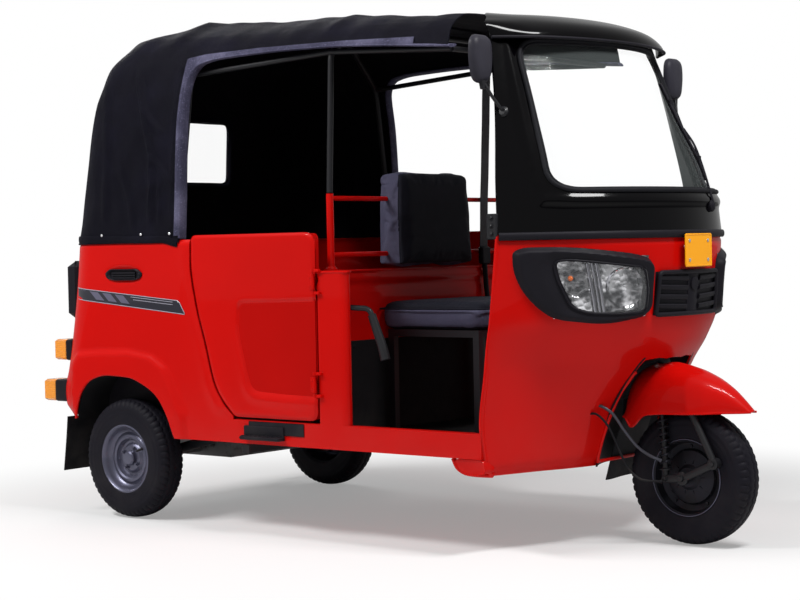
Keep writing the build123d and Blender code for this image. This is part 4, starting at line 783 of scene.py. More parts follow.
def build_canopy(depth):
    """Vinyl hood with its hem, turned edge, window seam and press studs."""
    finish = FINISHES
    hood = hood_sheet().make("canopy_hood", "chassis", "canopy_vinyl", finish["canopy"],
                             finish["lining"], sharp=50.0)
    relieve(hood, hood_relief)
    thicken(hood, HOOD_WALL, lining=1, sharp=50.0)
    carve(hood, Shape().prism(entry_outline(), flat_place, (-700.0, 700.0)), sharp=50.0)
    window = rounded(
        [(-WINDOW_HALF, WINDOW_LOW_Z), (WINDOW_HALF, WINDOW_LOW_Z), (WINDOW_HALF - 20.0, WINDOW_HIGH_Z),
         (-WINDOW_HALF + 20.0, WINDOW_HIGH_Z)], 34.0, 8.0, closed=True)
    carve(hood, Shape().prism(window, facing_place, (-1250.0, -900.0)), sharp=50.0)
    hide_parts("canopy")

    # Turned edge round each entry, in a pale vinyl that paints the light along its face
    trims = Shape()
    top = smooth_rows([(REAR_AXLE + x, z) for x, z in ENTRY_EDGE], 90)
    post = np.column_stack([np.full(40, ENTRY_REAR_X), np.linspace(990.0, 1485.0, 40)])
    run = even(np.vstack([post, top]), 12.0)
    place = []
    across = []
    for x, z in run:
        y = hood_side_y(x, z)
        turn = float(ramp(x, ENTRY_REAR_X, ENTRY_REAR_X + 60.0))
        place.append((x + 3.0 * (1 - turn), -(y - depth / 2 + 3.0), z + 2.0 * turn))
        across.append((0.0, 1.0, 0.16 * turn))
    trims.pipe(place, depth / 2, 16, across=across, flat=0.3)
    trims.mirrored()
    # Band laid along the opening, square at its outer corner where the opening is rounded
    outer = smooth_rows([(-573.0, 1000.0), (-571.0, 1296.0), (-566.0, 1500.0), (-560.0, 1608.0)], 30)
    inner = np.column_stack([np.full(30, ENTRY_REAR_X - 1.0), np.linspace(1000.0, 1500.0, 30)])
    corner = np.array([(x, z) for x, z in top if x < 420.0])
    above = np.interp(corner[:, 0], (-560.0, -480.0, -232.0, 124.0, 420.0),
                      (1610.0, 1619.0, 1622.0, 1616.0, 1604.0))
    outer = np.vstack([outer, np.column_stack([np.maximum(corner[:, 0], -556.0), above])])
    inner = np.vstack([inner, corner])
    band = []
    for share in np.linspace(0.0, 1.0, 6):
        row = outer + (inner - outer) * share
        band.append([(x, -(hood_side_y(x, z) + 2.2 - 2.5 * share**4), z) for x, z in row])
    trims.grid(band)
    trims.grid([[(x, -y, z) for x, y, z in row][::-1] for row in band])
    # Edge and band wear the pale vinyl as a painted highlight.
    trims.make("canopy_turned_edge", "chassis", "canopy_vinyl", finish["canopy_hem"])

    # Hem strip and its studs along the body
    hem = Shape()
    half = hood_half_ring(smooth_rows(HOOD_LEVELS, 96)[2])
    ring = np.vstack([half, (half * np.array([1.0, -1.0, 1.0]))[::-1][1:]])
    ring = ring[(ring[:, 0] < ENTRY_REAR_X + 2.0)]
    outer = []
    for p in ring:
        rise = 999.0 + 6.0 * float(ramp(-p[0], 700.0, 1000.0)) - 16.0 * float(ramp(p[0], -640.0, -545.0))
        outer.append((p[0], p[1], rise - 10.0))
    hem.pipe(outer, 13.0, 10, across=(0.0, 0.0, 1.0), flat=0.22)
    hem.make("canopy_hem", "chassis", "canopy_vinyl", finish["canopy"])
    studs = Shape()
    for x in (-935.0, -733.0, -590.0):
        studs.button((x, -606.0, 1008.0), (0.0, -1.0, 0.0), 5.0, 4.0)
    studs.mirrored()
    for y in (-330.0, -110.0, 110.0, 330.0):
        studs.button((REAR_AXLE - 291.0, y, 1008.0), (-1.0, 0.0, 0.0), 5.0, 4.0)
    studs.make("canopy_studs", "chassis", "rim_silver", finish["zinc"])

    # Sewn piping over the bows and round the rear window
    seams = Shape()
    rows = smooth_rows(HOOD_LEVELS, 96)
    rings = np.array([hood_half_ring(row) for row in rows])
    for bow in HOOD_BOWS[1:]:
        start = 0 if bow < ENTRY_REAR_X else int(np.argmin(np.abs(rings[:, 0, 2] - 1615.0)))
        side = []
        for ring in rings[start + 4:]:
            order = np.argsort(ring[:110, 0])
            side.append([bow, float(np.interp(bow, ring[:110, 0][order], ring[:110, 1][order])),
                         float(np.interp(bow, ring[:110, 0][order], ring[:110, 2][order]))])
        over = side + [[bow, y, side[-1][2] + 6.0 * (1 - (y / 330.0) ** 2)]
                       for y in np.linspace(-300, 300, 21)]
        over += [[x, -y, z] for x, y, z in reversed(side)]
        seams.pipe(even(over, 16.0), 4.2, 8)
    frame_run = []
    for y, z in rounded([(-WINDOW_HALF - 16, WINDOW_LOW_Z - 16), (WINDOW_HALF + 16, WINDOW_LOW_Z - 16),
                         (WINDOW_HALF - 4, WINDOW_HIGH_Z + 16), (-WINDOW_HALF + 4, WINDOW_HIGH_Z + 16)],
                        44.0, 10.0, closed=True):
        back = float(np.interp(z, rows[:, 0], rows[:, 2]))
        frame_run.append((REAR_AXLE + back + 1.0, y, z))
    seams.pipe(frame_run, 15.0, 10, closed=True, across=(1.0, 0.0, 0.0), flat=1.0)
    seams.make("canopy_seams", "chassis", "canopy_vinyl", finish["canopy"])


# ---- Front shell ------------------------------------------------------------------------
# Columns: z, entry edge back from the front axle, entry edge in from the side, joint back,
# joint half width, nose ahead
COWL_LEVELS = (
    (246.0, 371.0, 52.0, 316.0, 385.0, -226.0),
    (275.0, 376.0, 20.0, 312.0, 396.0, -216.0),
    (400.0, 379.0, 2.0, 296.0, 400.0, -181.0),
    (560.0, 361.0, 6.0, 262.0, 400.0, -80.0),
    (640.0, 354.0, 10.0, 205.0, 400.0, -30.0),
    (720.0, 344.0, 15.0, 144.0, 390.0, -6.0),
    (BELT_Z, 325.0, 29.0, 120.0, 395.0, 14.0),
)
SCREEN_LEVELS = (
    (BELT_Z + 0.3, 325.0, 29.0, 120.0, 395.0, 14.0),
    (1105.0, 336.0, 40.0, 172.0, 428.0, -2.0),
    (1351.0, 366.0, 88.0, 268.0, 400.0, -124.0),
    (1565.0, 404.0, 128.0, 354.0, 362.0, -239.0),
    (1606.0, 412.0, 136.0, 372.0, 354.0, -262.0),
)
VISOR_LEVELS = (
    (1578.0, 402.0, 124.0, 312.0, 380.0, -222.0),
    (1590.0, 404.0, 119.0, 316.0, 380.0, -219.0),
    (1620.0, 415.0, 112.0, 345.0, 372.0, -238.0),
    (1643.0, 440.0, 150.0, 380.0, 350.0, -285.0),
    (1660.0, 470.0, 185.0, 425.0, 320.0, -340.0),
    (1671.5, 505.0, 240.0, 480.0, 270.0, -400.0),
)


def front_ring(row, inset=0.0, blend=14, spread=74):
    """One level of the front shell from its right entry edge round the nose to the left."""
    z, edge_back, edge_in, joint_back, joint_half, nose = row
    edge = np.array([FRONT_AXLE - edge_back, -(BODY_HALF - edge_in - inset)])
    joint = np.array([FRONT_AXLE - joint_back - 0.7 * inset, -(joint_half - 0.7 * inset)])
    nose_x = FRONT_AXLE + nose - inset
    deep = nose_x - joint[0]
    radius = (deep**2 + joint[1] ** 2) / (2 * deep)
    centre = nose_x - radius
    sweep = math.atan2(-joint[1], joint[0] - centre)
    flank = edge + (joint - edge) * np.linspace(0, 1, 26)[:, None]
    angles = np.linspace(-sweep, 0, spread // 2 + 1)
    bow = np.column_stack([centre + radius * np.cos(angles), radius * np.sin(angles)])
    half = np.vstack([flank, bow[1:]])
    ring = np.vstack([half, (half * np.array([1.0, -1.0]))[::-1][1:]])
    for _ in range(blend):
        ring[1:-1] = (ring[:-2] + 2 * ring[1:-1] + ring[2:]) / 4
    return np.column_stack([ring, np.full(len(ring), z)])


class Skin:
    """The front shell's surface: a point for a height and a place round the ring."""

    def __init__(self, levels, count=150):
        self.rows = smooth_rows(levels, count)
        self.rings = np.array([front_ring(row) for row in self.rows])

    def ring(self, z):
        """Ring at a height."""
        k = np.interp(z, self.rows[:, 0], np.arange(len(self.rows)))
        low = int(min(k, len(self.rows) - 2))
        return self.rings[low] + (self.rings[low + 1] - self.rings[low]) * (k - low)

    def at(self, y, z, proud=0.0):
        """Point over a place seen from the front, stood off by a distance, and its normal."""
        ring = self.ring(z)
        j = int(np.clip(np.searchsorted(ring[:, 1], y) - 1, 1, len(ring) - 3))
        share = (y - ring[j, 1]) / max(1e-6, ring[j + 1, 1] - ring[j, 1])
        point = ring[j] + (ring[j + 1] - ring[j]) * share
        along = ring[j + 2] - ring[j - 1]
        above = self.ring(z + 8.0)
        rise = above[j] + (above[j + 1] - above[j]) * share - point
        normal = np.cross(along, rise)
        normal /= np.linalg.norm(normal)
        return point + normal * proud, normal

    def round_at(self, share, z, proud=0.0):
        """Point at a share of the ring's length from its right edge."""
        ring = self.ring(z)
        run = np.concatenate(([0.0], np.cumsum(np.linalg.norm(np.diff(ring[:, :2], axis=0), axis=1))))
        spot = share * run[-1]
        point = np.array([np.interp(spot, run, ring[:, i]) for i in range(3)])
        j = int(np.clip(np.searchsorted(run, spot) - 1, 0, len(ring) - 2))
        along = ring[j + 1] - ring[j]
        normal = np.array([along[1], -along[0], 0.0]) / np.hypot(along[0], along[1])
        return point + normal * proud, normal


def steer_cutter(profile, steps=72):
    """Closed solid of an outline of radius and height about the steering axis.

    The outline is a list, or a function that gives the list at an angle about the axis.
    """
    rows = []
    for turn in np.linspace(0, 2 * math.pi, steps + 1):
        outline = profile(turn) if callable(profile) else profile
        rows.append([tuple(steer_point(r, h, turn)) for r, h in outline])
    return Shape().grid(rows)


# Wheel arch about the steering axis: columns: radius and height behind it, radius and height ahead
ARCH_PROFILE = ((0.0, 150.0, 0.0, 150.0), (296.0, 150.0, 296.0, 150.0), (296.0, 328.0, 296.0, 328.0),
                (280.0, 372.0, 282.0, 368.0), (250.0, 425.0, 262.0, 402.0),
                (216.0, 480.0, 216.0, 468.0), (188.0, 527.0, 172.0, 514.0),
                (163.0, 566.0, 132.0, 550.0), (140.0, 605.0, 95.0, 577.0), (70.0, 605.5, 50.0, 601.0),
                (0.0, 606.0, 0.0, 604.0))


def arch_outline(turn):
    """Radius and height of the wheel arch at an angle from straight ahead."""
    away = abs((turn + math.pi) % (2 * math.pi) - math.pi)
    behind = float(ramp(away, math.radians(45), math.radians(70)))
    return [(r * behind + ahead * (1 - behind), h * behind + low * (1 - behind))
            for r, h, ahead, low in ARCH_PROFILE]


def build_cowl(edge_radius):
    """Red front shell with its rolled entry edge, belt moulding and wheel arch lip."""
    finish = FINISHES
    skin = Skin(COWL_LEVELS)
    levels = np.concatenate([np.linspace(246.0, 420.0, 30), np.linspace(428.0, BELT_Z, 60)])
    rows = np.array([skin.ring(z) for z in levels])
    shell = Shape().grid(rows).make("cowl_shell", "chassis", "body_red", finish["red"], sharp=42.0)

    def relief(points, normals):
        x, y, z = points.T
        lift = -6.0 * bell(z - 962.0, 10.0)
        side = ramp(np.abs(y), 430.0, 520.0)
        lift += 5.0 * bell(np.abs(z - 700.0), 120.0) * side
        low = ramp(-z, -300.0, -255.0)
        lift -= 10.0 * low**2
        return points + normals * lift[:, None]

    relieve(shell, relief)
    thicken(shell, PANEL_WALL)
    carve(shell, steer_cutter(arch_outline), sharp=42.0)
    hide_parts("front_cowl")

    trim = Shape()
    edge = []
    for z in np.linspace(248.0, BELT_Z - 4.0, 70):
        p = skin.ring(z)[0]
        edge.append((p[0] - 2.0, p[1] + edge_radius * 0.75, z))
    foot = edge[0]
    # The rolled edge runs on round the lower corner into the sill
    corner = [(foot[0] - 8.0, foot[1] + 1.0, 250.0), (foot[0] - 36.0, foot[1] - 14.0, 251.0),
              (foot[0] - 76.0, foot[1] - 34.0, 256.0), (foot[0] - 106.0, foot[1] - 40.0, 272.0),
              (foot[0] - 122.0, foot[1] - 41.0, 300.0)]
    path = smooth_rows(list(reversed(corner)) + [edge[3]], 26)[:-1]
    trim.pipe(np.vstack([path, edge[3:]]), edge_radius, 14, flat=0.85, across=(0.0, 1.0, 0.0))
    lip = [(FRONT_AXLE - 485.0, 300.0), (FRONT_AXLE - 374.0, 302.0), (FRONT_AXLE - 364.0, 262.0),
           (FRONT_AXLE - 410.0, 250.0), (FRONT_AXLE - 452.0, 255.0), (FRONT_AXLE - 478.0, 272.0)]
    curl = rounded(lip, 14.0, 6.0, closed=True)
    rows = []
    for y, draw in ((-594.0, 0.9), (-596.5, 0.97), (-594.0, 1.0), (-550.0, 1.0)):
        middle = curl.mean(axis=0)
        rows.append([(middle[0] + (u - middle[0]) * draw, y, middle[1] + (v - middle[1]) * draw)
                     for u, v in curl])
    trim.grid(rows, wrap=True, ends=True)
    trim.mirrored()
    trim.make("cowl_edge", "chassis", "body_red", finish["red"])

    belt = Shape()
    run = [skin.round_at(s, BELT_Z - 5.0, 3.0)[0] for s in np.linspace(0.004, 0.996, 170)]
    belt.pipe(run, 12.0, 12, across=(0.0, 0.0, 1.0), flat=0.5)
    belt.make("belt_moulding", "chassis", "trim_plastic", finish["plastic"])

    arch = Shape()
    rim = []
    for turn in np.linspace(math.radians(95), math.radians(265), 90):
        best = None
        outline = arch_outline(turn)
        for height in np.linspace(240.0, 640.0, 200):
            radius = float(np.interp(height, [p[1] for p in outline[1:]], [p[0] for p in outline[1:]]))
            p = steer_point(radius, height, turn)
            if p.z < 262.0:
                continue
            ring = skin.ring(p.z)
            j = int(np.clip(np.searchsorted(ring[:, 1], p.y), 1, len(ring) - 1))
            gap = abs(ring[j, 0] - p.x)
            if best is None or gap < best[0]:
                best = (gap, p)
        if best and best[0] < 9.0:
            rim.append(tuple(best[1]))
    if len(rim) > 8:
        arch.pipe(even(rim, 12.0), 5.5, 10)
        arch.make("cowl_arch_lip", "chassis", "body_red", finish["red"])
    return skin


def build_screen():
    """Gloss black windscreen surround, visor, rubber seal and glass."""
    finish = FINISHES
    skin = Skin(SCREEN_LEVELS)
    rows = np.array([skin.ring(z) for z in np.linspace(BELT_Z + 0.3, 1606.0, 90)])
    shell = Shape().grid(rows).make("screen_shell", "chassis", "screen_black", finish["gloss_black"],
                                    sharp=45.0)

    def relief(points, normals):
        x, y, z = points.T
        opening = [(-480.0, 1088.0), (480.0, 1088.0), (410.0, 1590.0), (-410.0, 1590.0)]
        away = signed(y, z, opening)
        lift = 7.0 * bell(away + 10.0, 14.0) * (np.abs(y) < 480.0)
        lift += 3.0 * bell(z - 1066.0, 10.0) * (1 - ramp(np.abs(y), 380.0, 470.0))
        return points + normals * lift[:, None]

    relieve(shell, relief)
    thicken(shell, 14.0)
    opening = rounded([(-462.0, 1104.0), (462.0, 1104.0), (396.0, 1574.0), (-396.0, 1574.0)], 72.0, 8.0,
                      closed=True)
    carve(shell, Shape().prism(opening, facing_place, FRONT_SPAN), sharp=45.0)
    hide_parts("windscreen_surround")
    seal = Shape()
    run = [skin.at(y, z, 1.5)[0] for y, z in opening]
    seal.pipe(run, 7.5, 12, closed=True)
    inner = rounded([(-455.0, 1112.0), (455.0, 1112.0), (388.0, 1567.0), (-388.0, 1567.0)], 68.0, 8.0,
                    closed=True)
    seal.pipe([skin.at(y, z, -4.0)[0] for y, z in inner], 4.5, 10, closed=True)
    seal.make("screen_seal", "chassis", "rubber_black", finish["rubber"])

    pane = Shape()
    rows = []
    for z in np.linspace(1108.0, 1572.0, 26):
        reach = float(np.interp(z, (1112.0, 1568.0), (466.0, 398.0)))
        ys = np.linspace(-reach, reach, 44)
        rows.append([skin.at(y, z, -9.5)[0] for y in ys])
    pane.grid(rows)
    glass = pane.make("screen_pane", "chassis", "clear_glass", finish["glass"])
    thicken(glass, 4.0)
    carve(glass, Shape().prism(inner, facing_place, FRONT_SPAN), "INTERSECT")
    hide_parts("windscreen_glass")

    visor_skin = Skin(VISOR_LEVELS, 60)
    rows = [visor_skin.rings[k] for k in range(0, 60, 2)] + [visor_skin.rings[-1]]
    top = visor_skin.rings[-1]
    crown = []
    for s in np.linspace(0.08, 1.0, 9):
        row = top.copy()
        row[:, 0] += (560.0 - row[:, 0]) * s * 0.98
        row[:, 1] *= 1 - 0.25 * s
        crown.append(row)
    shape = Shape().grid(rows + crown)
    visor = shape.make("roof_visor_shell", "chassis", "screen_black", finish["gloss_black"], sharp=45.0)
    thicken(visor, PANEL_WALL)
    room = Shape().block((HOOD_FRONT_X - 60.0, -700.0, 1500.0), (HOOD_FRONT_X + 1.0, 700.0, 1700.0))
    carve(visor, room, sharp=45.0)
    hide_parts("roof_visor")
    band = Shape()
    run = [visor_skin.round_at(s, 1579.0, 1.0)[0] for s in np.linspace(0.0, 1.0, 120)]
    band.pipe(run, 5.0, 10)
    band.make("visor_edge", "chassis", "trim_plastic", finish["plastic"])
    return skin


# ---- Rear body --------------------------------------------------------------------------
# Columns: z, rear face from the rear axle
TUB_LEVELS = (
    (340.0, -347.0), (360.0, -350.0), (400.0, -382.0), (450.0, -387.0), (520.0, -366.0),
    (612.0, -344.0), (841.0, -304.0), (BODY_TOP_Z, -287.0),
)
TUB_CORNER = 165.0
ARCH_EDGE = (
    (-221.0, 300.0), (-221.0, 355.0), (-205.0, 420.0), (-181.0, 460.0), (-129.0, 498.0),
    (-51.0, 514.0), (59.0, 510.0), (149.0, 482.0), (209.0, 445.0), (254.0, 385.0), (289.0, 310.0),
)
FLARE_EDGE = (
    (-250.0, 300.0), (-250.0, 560.0), (-215.0, 590.0), (-100.0, 600.0), (60.0, 604.0),
    (180.0, 588.0), (250.0, 548.0), (290.0, 478.0), (318.0, 420.0), (340.0, 392.0), (340.0, 290.0),
)
DOOR_TOP_Z = BODY_TOP_Z + 14.0
DOOR_FRONT_X = REAR_AXLE + 947.0
DOOR_REAR_X = REAR_AXLE + 383.0
DOOR_FOOT_X = REAR_AXLE + 575.0
DOOR_BOTTOM_Z = SILL_TOP_Z + 9.0
DOOR_GAP = 7.0
# Rear edge of the door from its top: columns: x from the top corner, z
DOOR_SWEEP = ((0.0, DOOR_TOP_Z), (-2.0, DOOR_TOP_Z - 90.0), (20.0, DOOR_TOP_Z - 230.0),
              (62.0, DOOR_TOP_Z - 370.0), (100.0, DOOR_TOP_Z - 500.0), (135.0, DOOR_BOTTOM_Z + 55.0),
              (192.0, DOOR_BOTTOM_Z))
VENT_X, VENT_Z = -834.0, 868.0


def tub_half_ring(z, rear, front_x, count=64):
    """Right half of the rear body's plan at a height, from a front end to the rear middle."""
    back = REAR_AXLE + rear
    turn = np.linspace(0, math.pi / 2, 21)
    flank = np.linspace(0, 1, count)[:, None]
    front, joint = np.array([front_x, -BODY_HALF]), np.array([back + TUB_CORNER, -BODY_HALF])
    bend = np.column_stack([
        back + TUB_CORNER * (1 - np.sin(turn)), -BODY_HALF + TUB_CORNER * (1 - np.cos(turn))
    ])
    face = bend[-1] + (np.array([back, 0.0]) - bend[-1]) * np.linspace(0, 1, 46)[:, None]
    plan = np.vstack([front + (joint - front) * flank, bend[1:], face[1:]])
    return np.column_stack([plan, np.full(len(plan), z)])


def side_relief(points, normals):
    """Pressings of the side: arch flare, body crease and rounded shoulder."""
    x, y, z = points.T
    side = ramp(np.abs(y), 560.0, 596.0)
    flare = signed(x - REAR_AXLE, z, list(FLARE_EDGE))
    lift = 11.0 * ramp(flare, -2.0, 16.0) * side
    lift -= 2.0
    shoulder = ramp(z, 966.0, BODY_TOP_Z)
    lift -= 7.0 * shoulder**2
    sweep = [(DOOR_REAR_X - DOOR_GAP + u, v) for u, v in DOOR_SWEEP[:-1]]
    away, _ = line_distance(x, z, sweep)
    lift += 2.5 * bell(away - 26.0, 22.0) * side
    lift -= 2.0 * bell(away, 8.0) * side
    low = ramp(-z, -372.0, -352.0)
    lift -= 6.0 * low**2 * (1 - side * ramp(x, -900.0, -700.0))
    vent = np.hypot((x - VENT_X) / 96.0, (z - VENT_Z) / 30.0)
    lift -= 6.0 * (1 - ramp(vent, 0.75, 1.0)) * side
    return points + normals * lift[:, None]


def build_tub():
    """Red rear body in one pressed skin with the engine lid's opening."""
    finish = FINISHES
    levels = smooth_rows(TUB_LEVELS, 86)
    front_x = DOOR_REAR_X + 240.0
    half = np.array([tub_half_ring(z, rear, front_x) for z, rear in levels])
    for name, side in SIDES:
        rows = half * np.array([1.0, -side, 1.0])
        flank = rows[:, :-45]
        low = np.repeat(flank[:1], 4, axis=0)
        low[:, :, 2] = np.array([302.0, 312.0, 322.0, 332.0])[:, None]
        flank = np.concatenate([low, flank])
        panel = Shape().grid(flank).make(f"side_skin_{name}", "chassis", "body_red", finish["red"],
                                         finish["red_inner"])
        relieve(panel, side_relief)
        thicken(panel, PANEL_WALL, lining=1)
        sweep = [(DOOR_REAR_X - DOOR_GAP + u, v) for u, v in DOOR_SWEEP]
        edge = [(DOOR_REAR_X - DOOR_GAP, 1100.0)] + [tuple(p) for p in smooth_rows(sweep, 40)]
        edge += [(DOOR_FOOT_X - DOOR_GAP, 290.0), (300.0, 290.0), (300.0, 1100.0)]
        wide = sorted((side * 400.0, side * 700.0))
        carve(panel, Shape().prism(edge, flat_place, wide))
        arch = [(REAR_AXLE + x, z) for x, z in ARCH_EDGE]
        arch = [(arch[0][0], 250.0)] + [tuple(p) for p in smooth_rows(arch, 50)]
        arch += [(arch[-1][0] + 6.0, 250.0)]
        carve(panel, Shape().prism(arch, flat_place, wide))
        skirt = [(-1400.0, 200.0), (REAR_AXLE - 215.0, 200.0), (REAR_AXLE - 215.0, SKIRT_Z),
                 (-1400.0, SKIRT_Z)]
        carve(panel, Shape().prism(skirt, flat_place, wide))
        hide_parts(f"side_panel_{name}")

    rear = half[:, -46:]
    far = rear[:, ::-1] * np.array([1.0, -1.0, 1.0])
    face = Shape().grid(np.concatenate([rear, far[:, 1:]], axis=1))
    panel = face.make("rear_skin", "chassis", "body_red", finish["red"])

    def rear_relief(points, normals):
        x, y, z = points.T
        lift = -7.0 * ramp(z, 966.0, BODY_TOP_Z) ** 2
        away = signed(y, z, [(-330.0, 390.0), (330.0, 390.0), (330.0, 790.0), (-330.0, 790.0)])
        lift += 5.0 * ramp(away, -6.0, 14.0)
        lift -= 4.0 * ramp(-z, -372.0, -352.0) ** 2 + 2.0
        lift -= 3.0 * bell(z - 868.0, 8.0) * (1 - ramp(np.abs(y), 300.0, 350.0))
        return points + normals * lift[:, None]

    relieve(panel, rear_relief)
    thicken(panel, PANEL_WALL)
    hole = rounded([(-306.0, 414.0), (306.0, 414.0), (306.0, 766.0), (-306.0, 766.0)], 30.0, 10.0,
                   closed=True)
    carve(panel, Shape().prism(hole, facing_place, REAR_SPAN))
    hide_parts("rear_panel")

    lid_rows = []
    for z in np.linspace(404.0, 776.0, 80):
        back = REAR_AXLE + float(np.interp(z, levels[:, 0], levels[:, 1]))
        lid_rows.append([(back, y, z) for y in np.linspace(312.0, -312.0, 110)])
    lid = Shape().grid(lid_rows).make("lid_skin", "engine_lid", "body_red", finish["red"])

    def lid_relief(points, normals):
        x, y, z = points.T
        beads = bell(np.abs(y) - 270.0, 9.0) * ramp(z, 440.0, 460.0) * ramp(-z, -745.0, -728.0)
        slots = np.zeros(len(points))
        for k in range(6):
            slot = np.hypot(np.maximum(np.abs(y) - 118.0, 0) / 8.0, (z - 520.0 - 34.0 * k) / 8.0)
            slots = np.maximum(slots, 1 - ramp(slot, 0.5, 1.1))
        return points + normals * (6.0 * slots - 4.0 * beads - 1.0)[:, None]

    relieve(lid, lid_relief)
    thicken(lid, PANEL_WALL)
    hole = rounded([(-300.0, 420.0), (300.0, 420.0), (300.0, 760.0), (-300.0, 760.0)], 25.0, 10.0,
                   closed=True)
    carve(lid, Shape().prism(hole, facing_place, REAR_SPAN), "INTERSECT")
    parts = Shape()
    for y in LID_HINGES:
        parts.pipe([(LID_PIVOT_X, y - 25.0, LID_PIVOT_Z), (LID_PIVOT_X, y + 25.0, LID_PIVOT_Z)], 6.0, 16)
        parts.block((-1213.0, y - 22.0, 736.0), (-1205.0, y + 22.0, 768.0), 2.0)
    parts.lathe([(0, 0), (20, 0), (20, 4), (15, 8), (0, 9)], (-1268.5, 0.0, 455.0), (-1, 0, 0), 32)
    parts.make("lid_hardware", "engine_lid", "body_red", finish["red"])
    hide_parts("engine_lid")
    lugs = Shape()
    for y in LID_HINGES:
        lugs.pipe([(LID_PIVOT_X, y - 41.0, LID_PIVOT_Z), (LID_PIVOT_X, y + 41.0, LID_PIVOT_Z)], 2.4, 12)
        for low in (y - 41.0, y + 31.0):
            lugs.block((-1212.0, low, 766.5), (-1189.0, low + 10.0, 777.0), 2.0)
    lugs.make("lid_lugs", "chassis", "frame_black", finish["frame_black"])

    trim = Shape()
    arch = [(REAR_AXLE + x, z) for x, z in ARCH_EDGE]
    run = even(smooth_rows(arch, 60)[4:], 10.0)
    trim.pipe([(x, -604.0, z) for x, z in run], 4.5, 10)
    trim.mirrored()
    trim.make("body_edges", "chassis", "body_red", finish["red"])


def build_doors(recess):
    """Fixed-height entry doors with their pressed panel and hinges."""
    finish = FINISHES
    sweep = [(DOOR_REAR_X + u, v) for u, v in DOOR_SWEEP]
    outline = [(DOOR_FRONT_X, DOOR_BOTTOM_Z), (DOOR_FRONT_X, DOOR_TOP_Z)]
    outline += [(DOOR_REAR_X, DOOR_TOP_Z)] + [tuple(p) for p in smooth_rows(sweep, 30)][2:-1]
    outline += [(DOOR_FOOT_X, DOOR_BOTTOM_Z)]
    radii = [34.0, 44.0, 26.0] + [3.0] * (len(outline) - 4) + [50.0]
    edge = rounded(outline, radii, 7.0, closed=True)
    # Recessed panel: its rear edge follows the door's and its foot turns forward
    panel = rounded([(DOOR_FRONT_X + 60.0, 784.0), (-279.0, 776.0), (-286.0, 681.0), (-257.0, 581.0),
                     (-225.0, 476.0), (-70.0, 468.0), (DOOR_FRONT_X + 60.0, 464.0)],
                    [4.0, 26.0, 40.0, 60.0, 36.0, 40.0, 4.0], 8.0, closed=True)
    for name, side in SIDES:
        xs, zs = np.linspace(-510.0, 76.0, 112), np.linspace(380.0, 1008.0, 118)
        rows = [[(x, side * BODY_HALF, z) for x in (xs if side < 0 else xs[::-1])] for z in zs]
        skin = Shape().grid(rows).make(f"door_skin_{name}", f"door_{name}", "body_red", finish["red"],
                                       outward=False)

        def relief(points, normals):
            x, y, z = points.T
            away = signed(x, z, panel)
            low_side = ramp(-z, -780.0, -470.0)
            deep = recess * (0.5 + 0.5 * low_side)
            lift = -deep * ramp(away / (1.0 + 1.6 * ramp(-z, -540.0, -470.0)), -8.0, 12.0)
            edge_away = signed(x, z, edge)
            lift -= 6.0 * (1 - ramp(edge_away, 0.0, 12.0)) ** 2
            lift += 1.5 * bell(away + 20.0, 16.0) * low_side
            out = np.zeros_like(points)
            out[:, 1] = side * (lift - 0.6)
            return points + out

        relieve(skin, relief)
        thicken(skin, PANEL_WALL)
        carve(skin, Shape().prism(edge, flat_place, sorted((side * 560.0, side * 620.0))), "INTERSECT")
        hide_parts(f"door_{name}")
        hinge_x, hinge_y = DOOR_FRONT_X + 3.5, side * 611.0
        parts = Shape()
        for z in DOOR_HINGES:
            parts.pipe([(hinge_x, hinge_y, z - 25.0), (hinge_x, hinge_y, z + 25.0)], 6.0, 18)
            span = sorted((side * 599.5, side * 605.5))
            parts.block((hinge_x - 24.0, span[0], z - 24.0), (hinge_x - 2.0, span[1], z + 24.0), 1.5)
            for k in (-14.0, 14.0):
                parts.button((hinge_x - 15.0, side * 605.5, z + k), (0, side, 0), 4.0, 2.5)
        parts.make(f"door_hinges_{name}", f"door_{name}", "body_red", finish["red"])
        back = Shape()
        liner = rounded(outline, 20.0, 12.0, closed=True)
        shrunk = [(x + (-220.0 - x) * 0.012, z + (690.0 - z) * 0.012) for x, z in liner]
        back.prism(shrunk, flat_place, sorted((side * 570.5, side * 594.0)))
        flange = [(x - (5.5 if x < -120.0 else 0.0), z) for x, z in outline]
        flange = rounded(flange, radii, 10.0, closed=True)
        back.prism(flange, flat_place, sorted((side * 588.0, side * 591.0)))
        back.make(f"door_liner_{name}", f"door_{name}", "body_red", finish["red_inner"])
        latch = Shape()
        ends = sorted((side * 556.0, side * 571.0))
        latch.block((-440.0, ends[0], 880.0), (-380.0, ends[1], 905.0), 4.0)
        latch.make(f"door_latch_{name}", f"door_{name}", "frame_black", finish["frame_black"])
        lugs = Shape()
        for z in DOOR_HINGES:
            lugs.pipe([(hinge_x, hinge_y, z - 41.0), (hinge_x, hinge_y, z + 41.0)], 2.4, 10)
            for low in (z - 41.0, z + 31.0):
                lugs.pipe([(hinge_x, hinge_y, low), (hinge_x, hinge_y, low + 10.0)], 5.5, 16)
                span = sorted((side * 599.0, side * 612.5))
                lugs.block((hinge_x + 3.0, span[0], low), (hinge_x + 26.0, span[1], low + 10.0), 1.5)
        lugs.make(f"hinge_lugs_{name}", "chassis", "body_red", finish["red"])


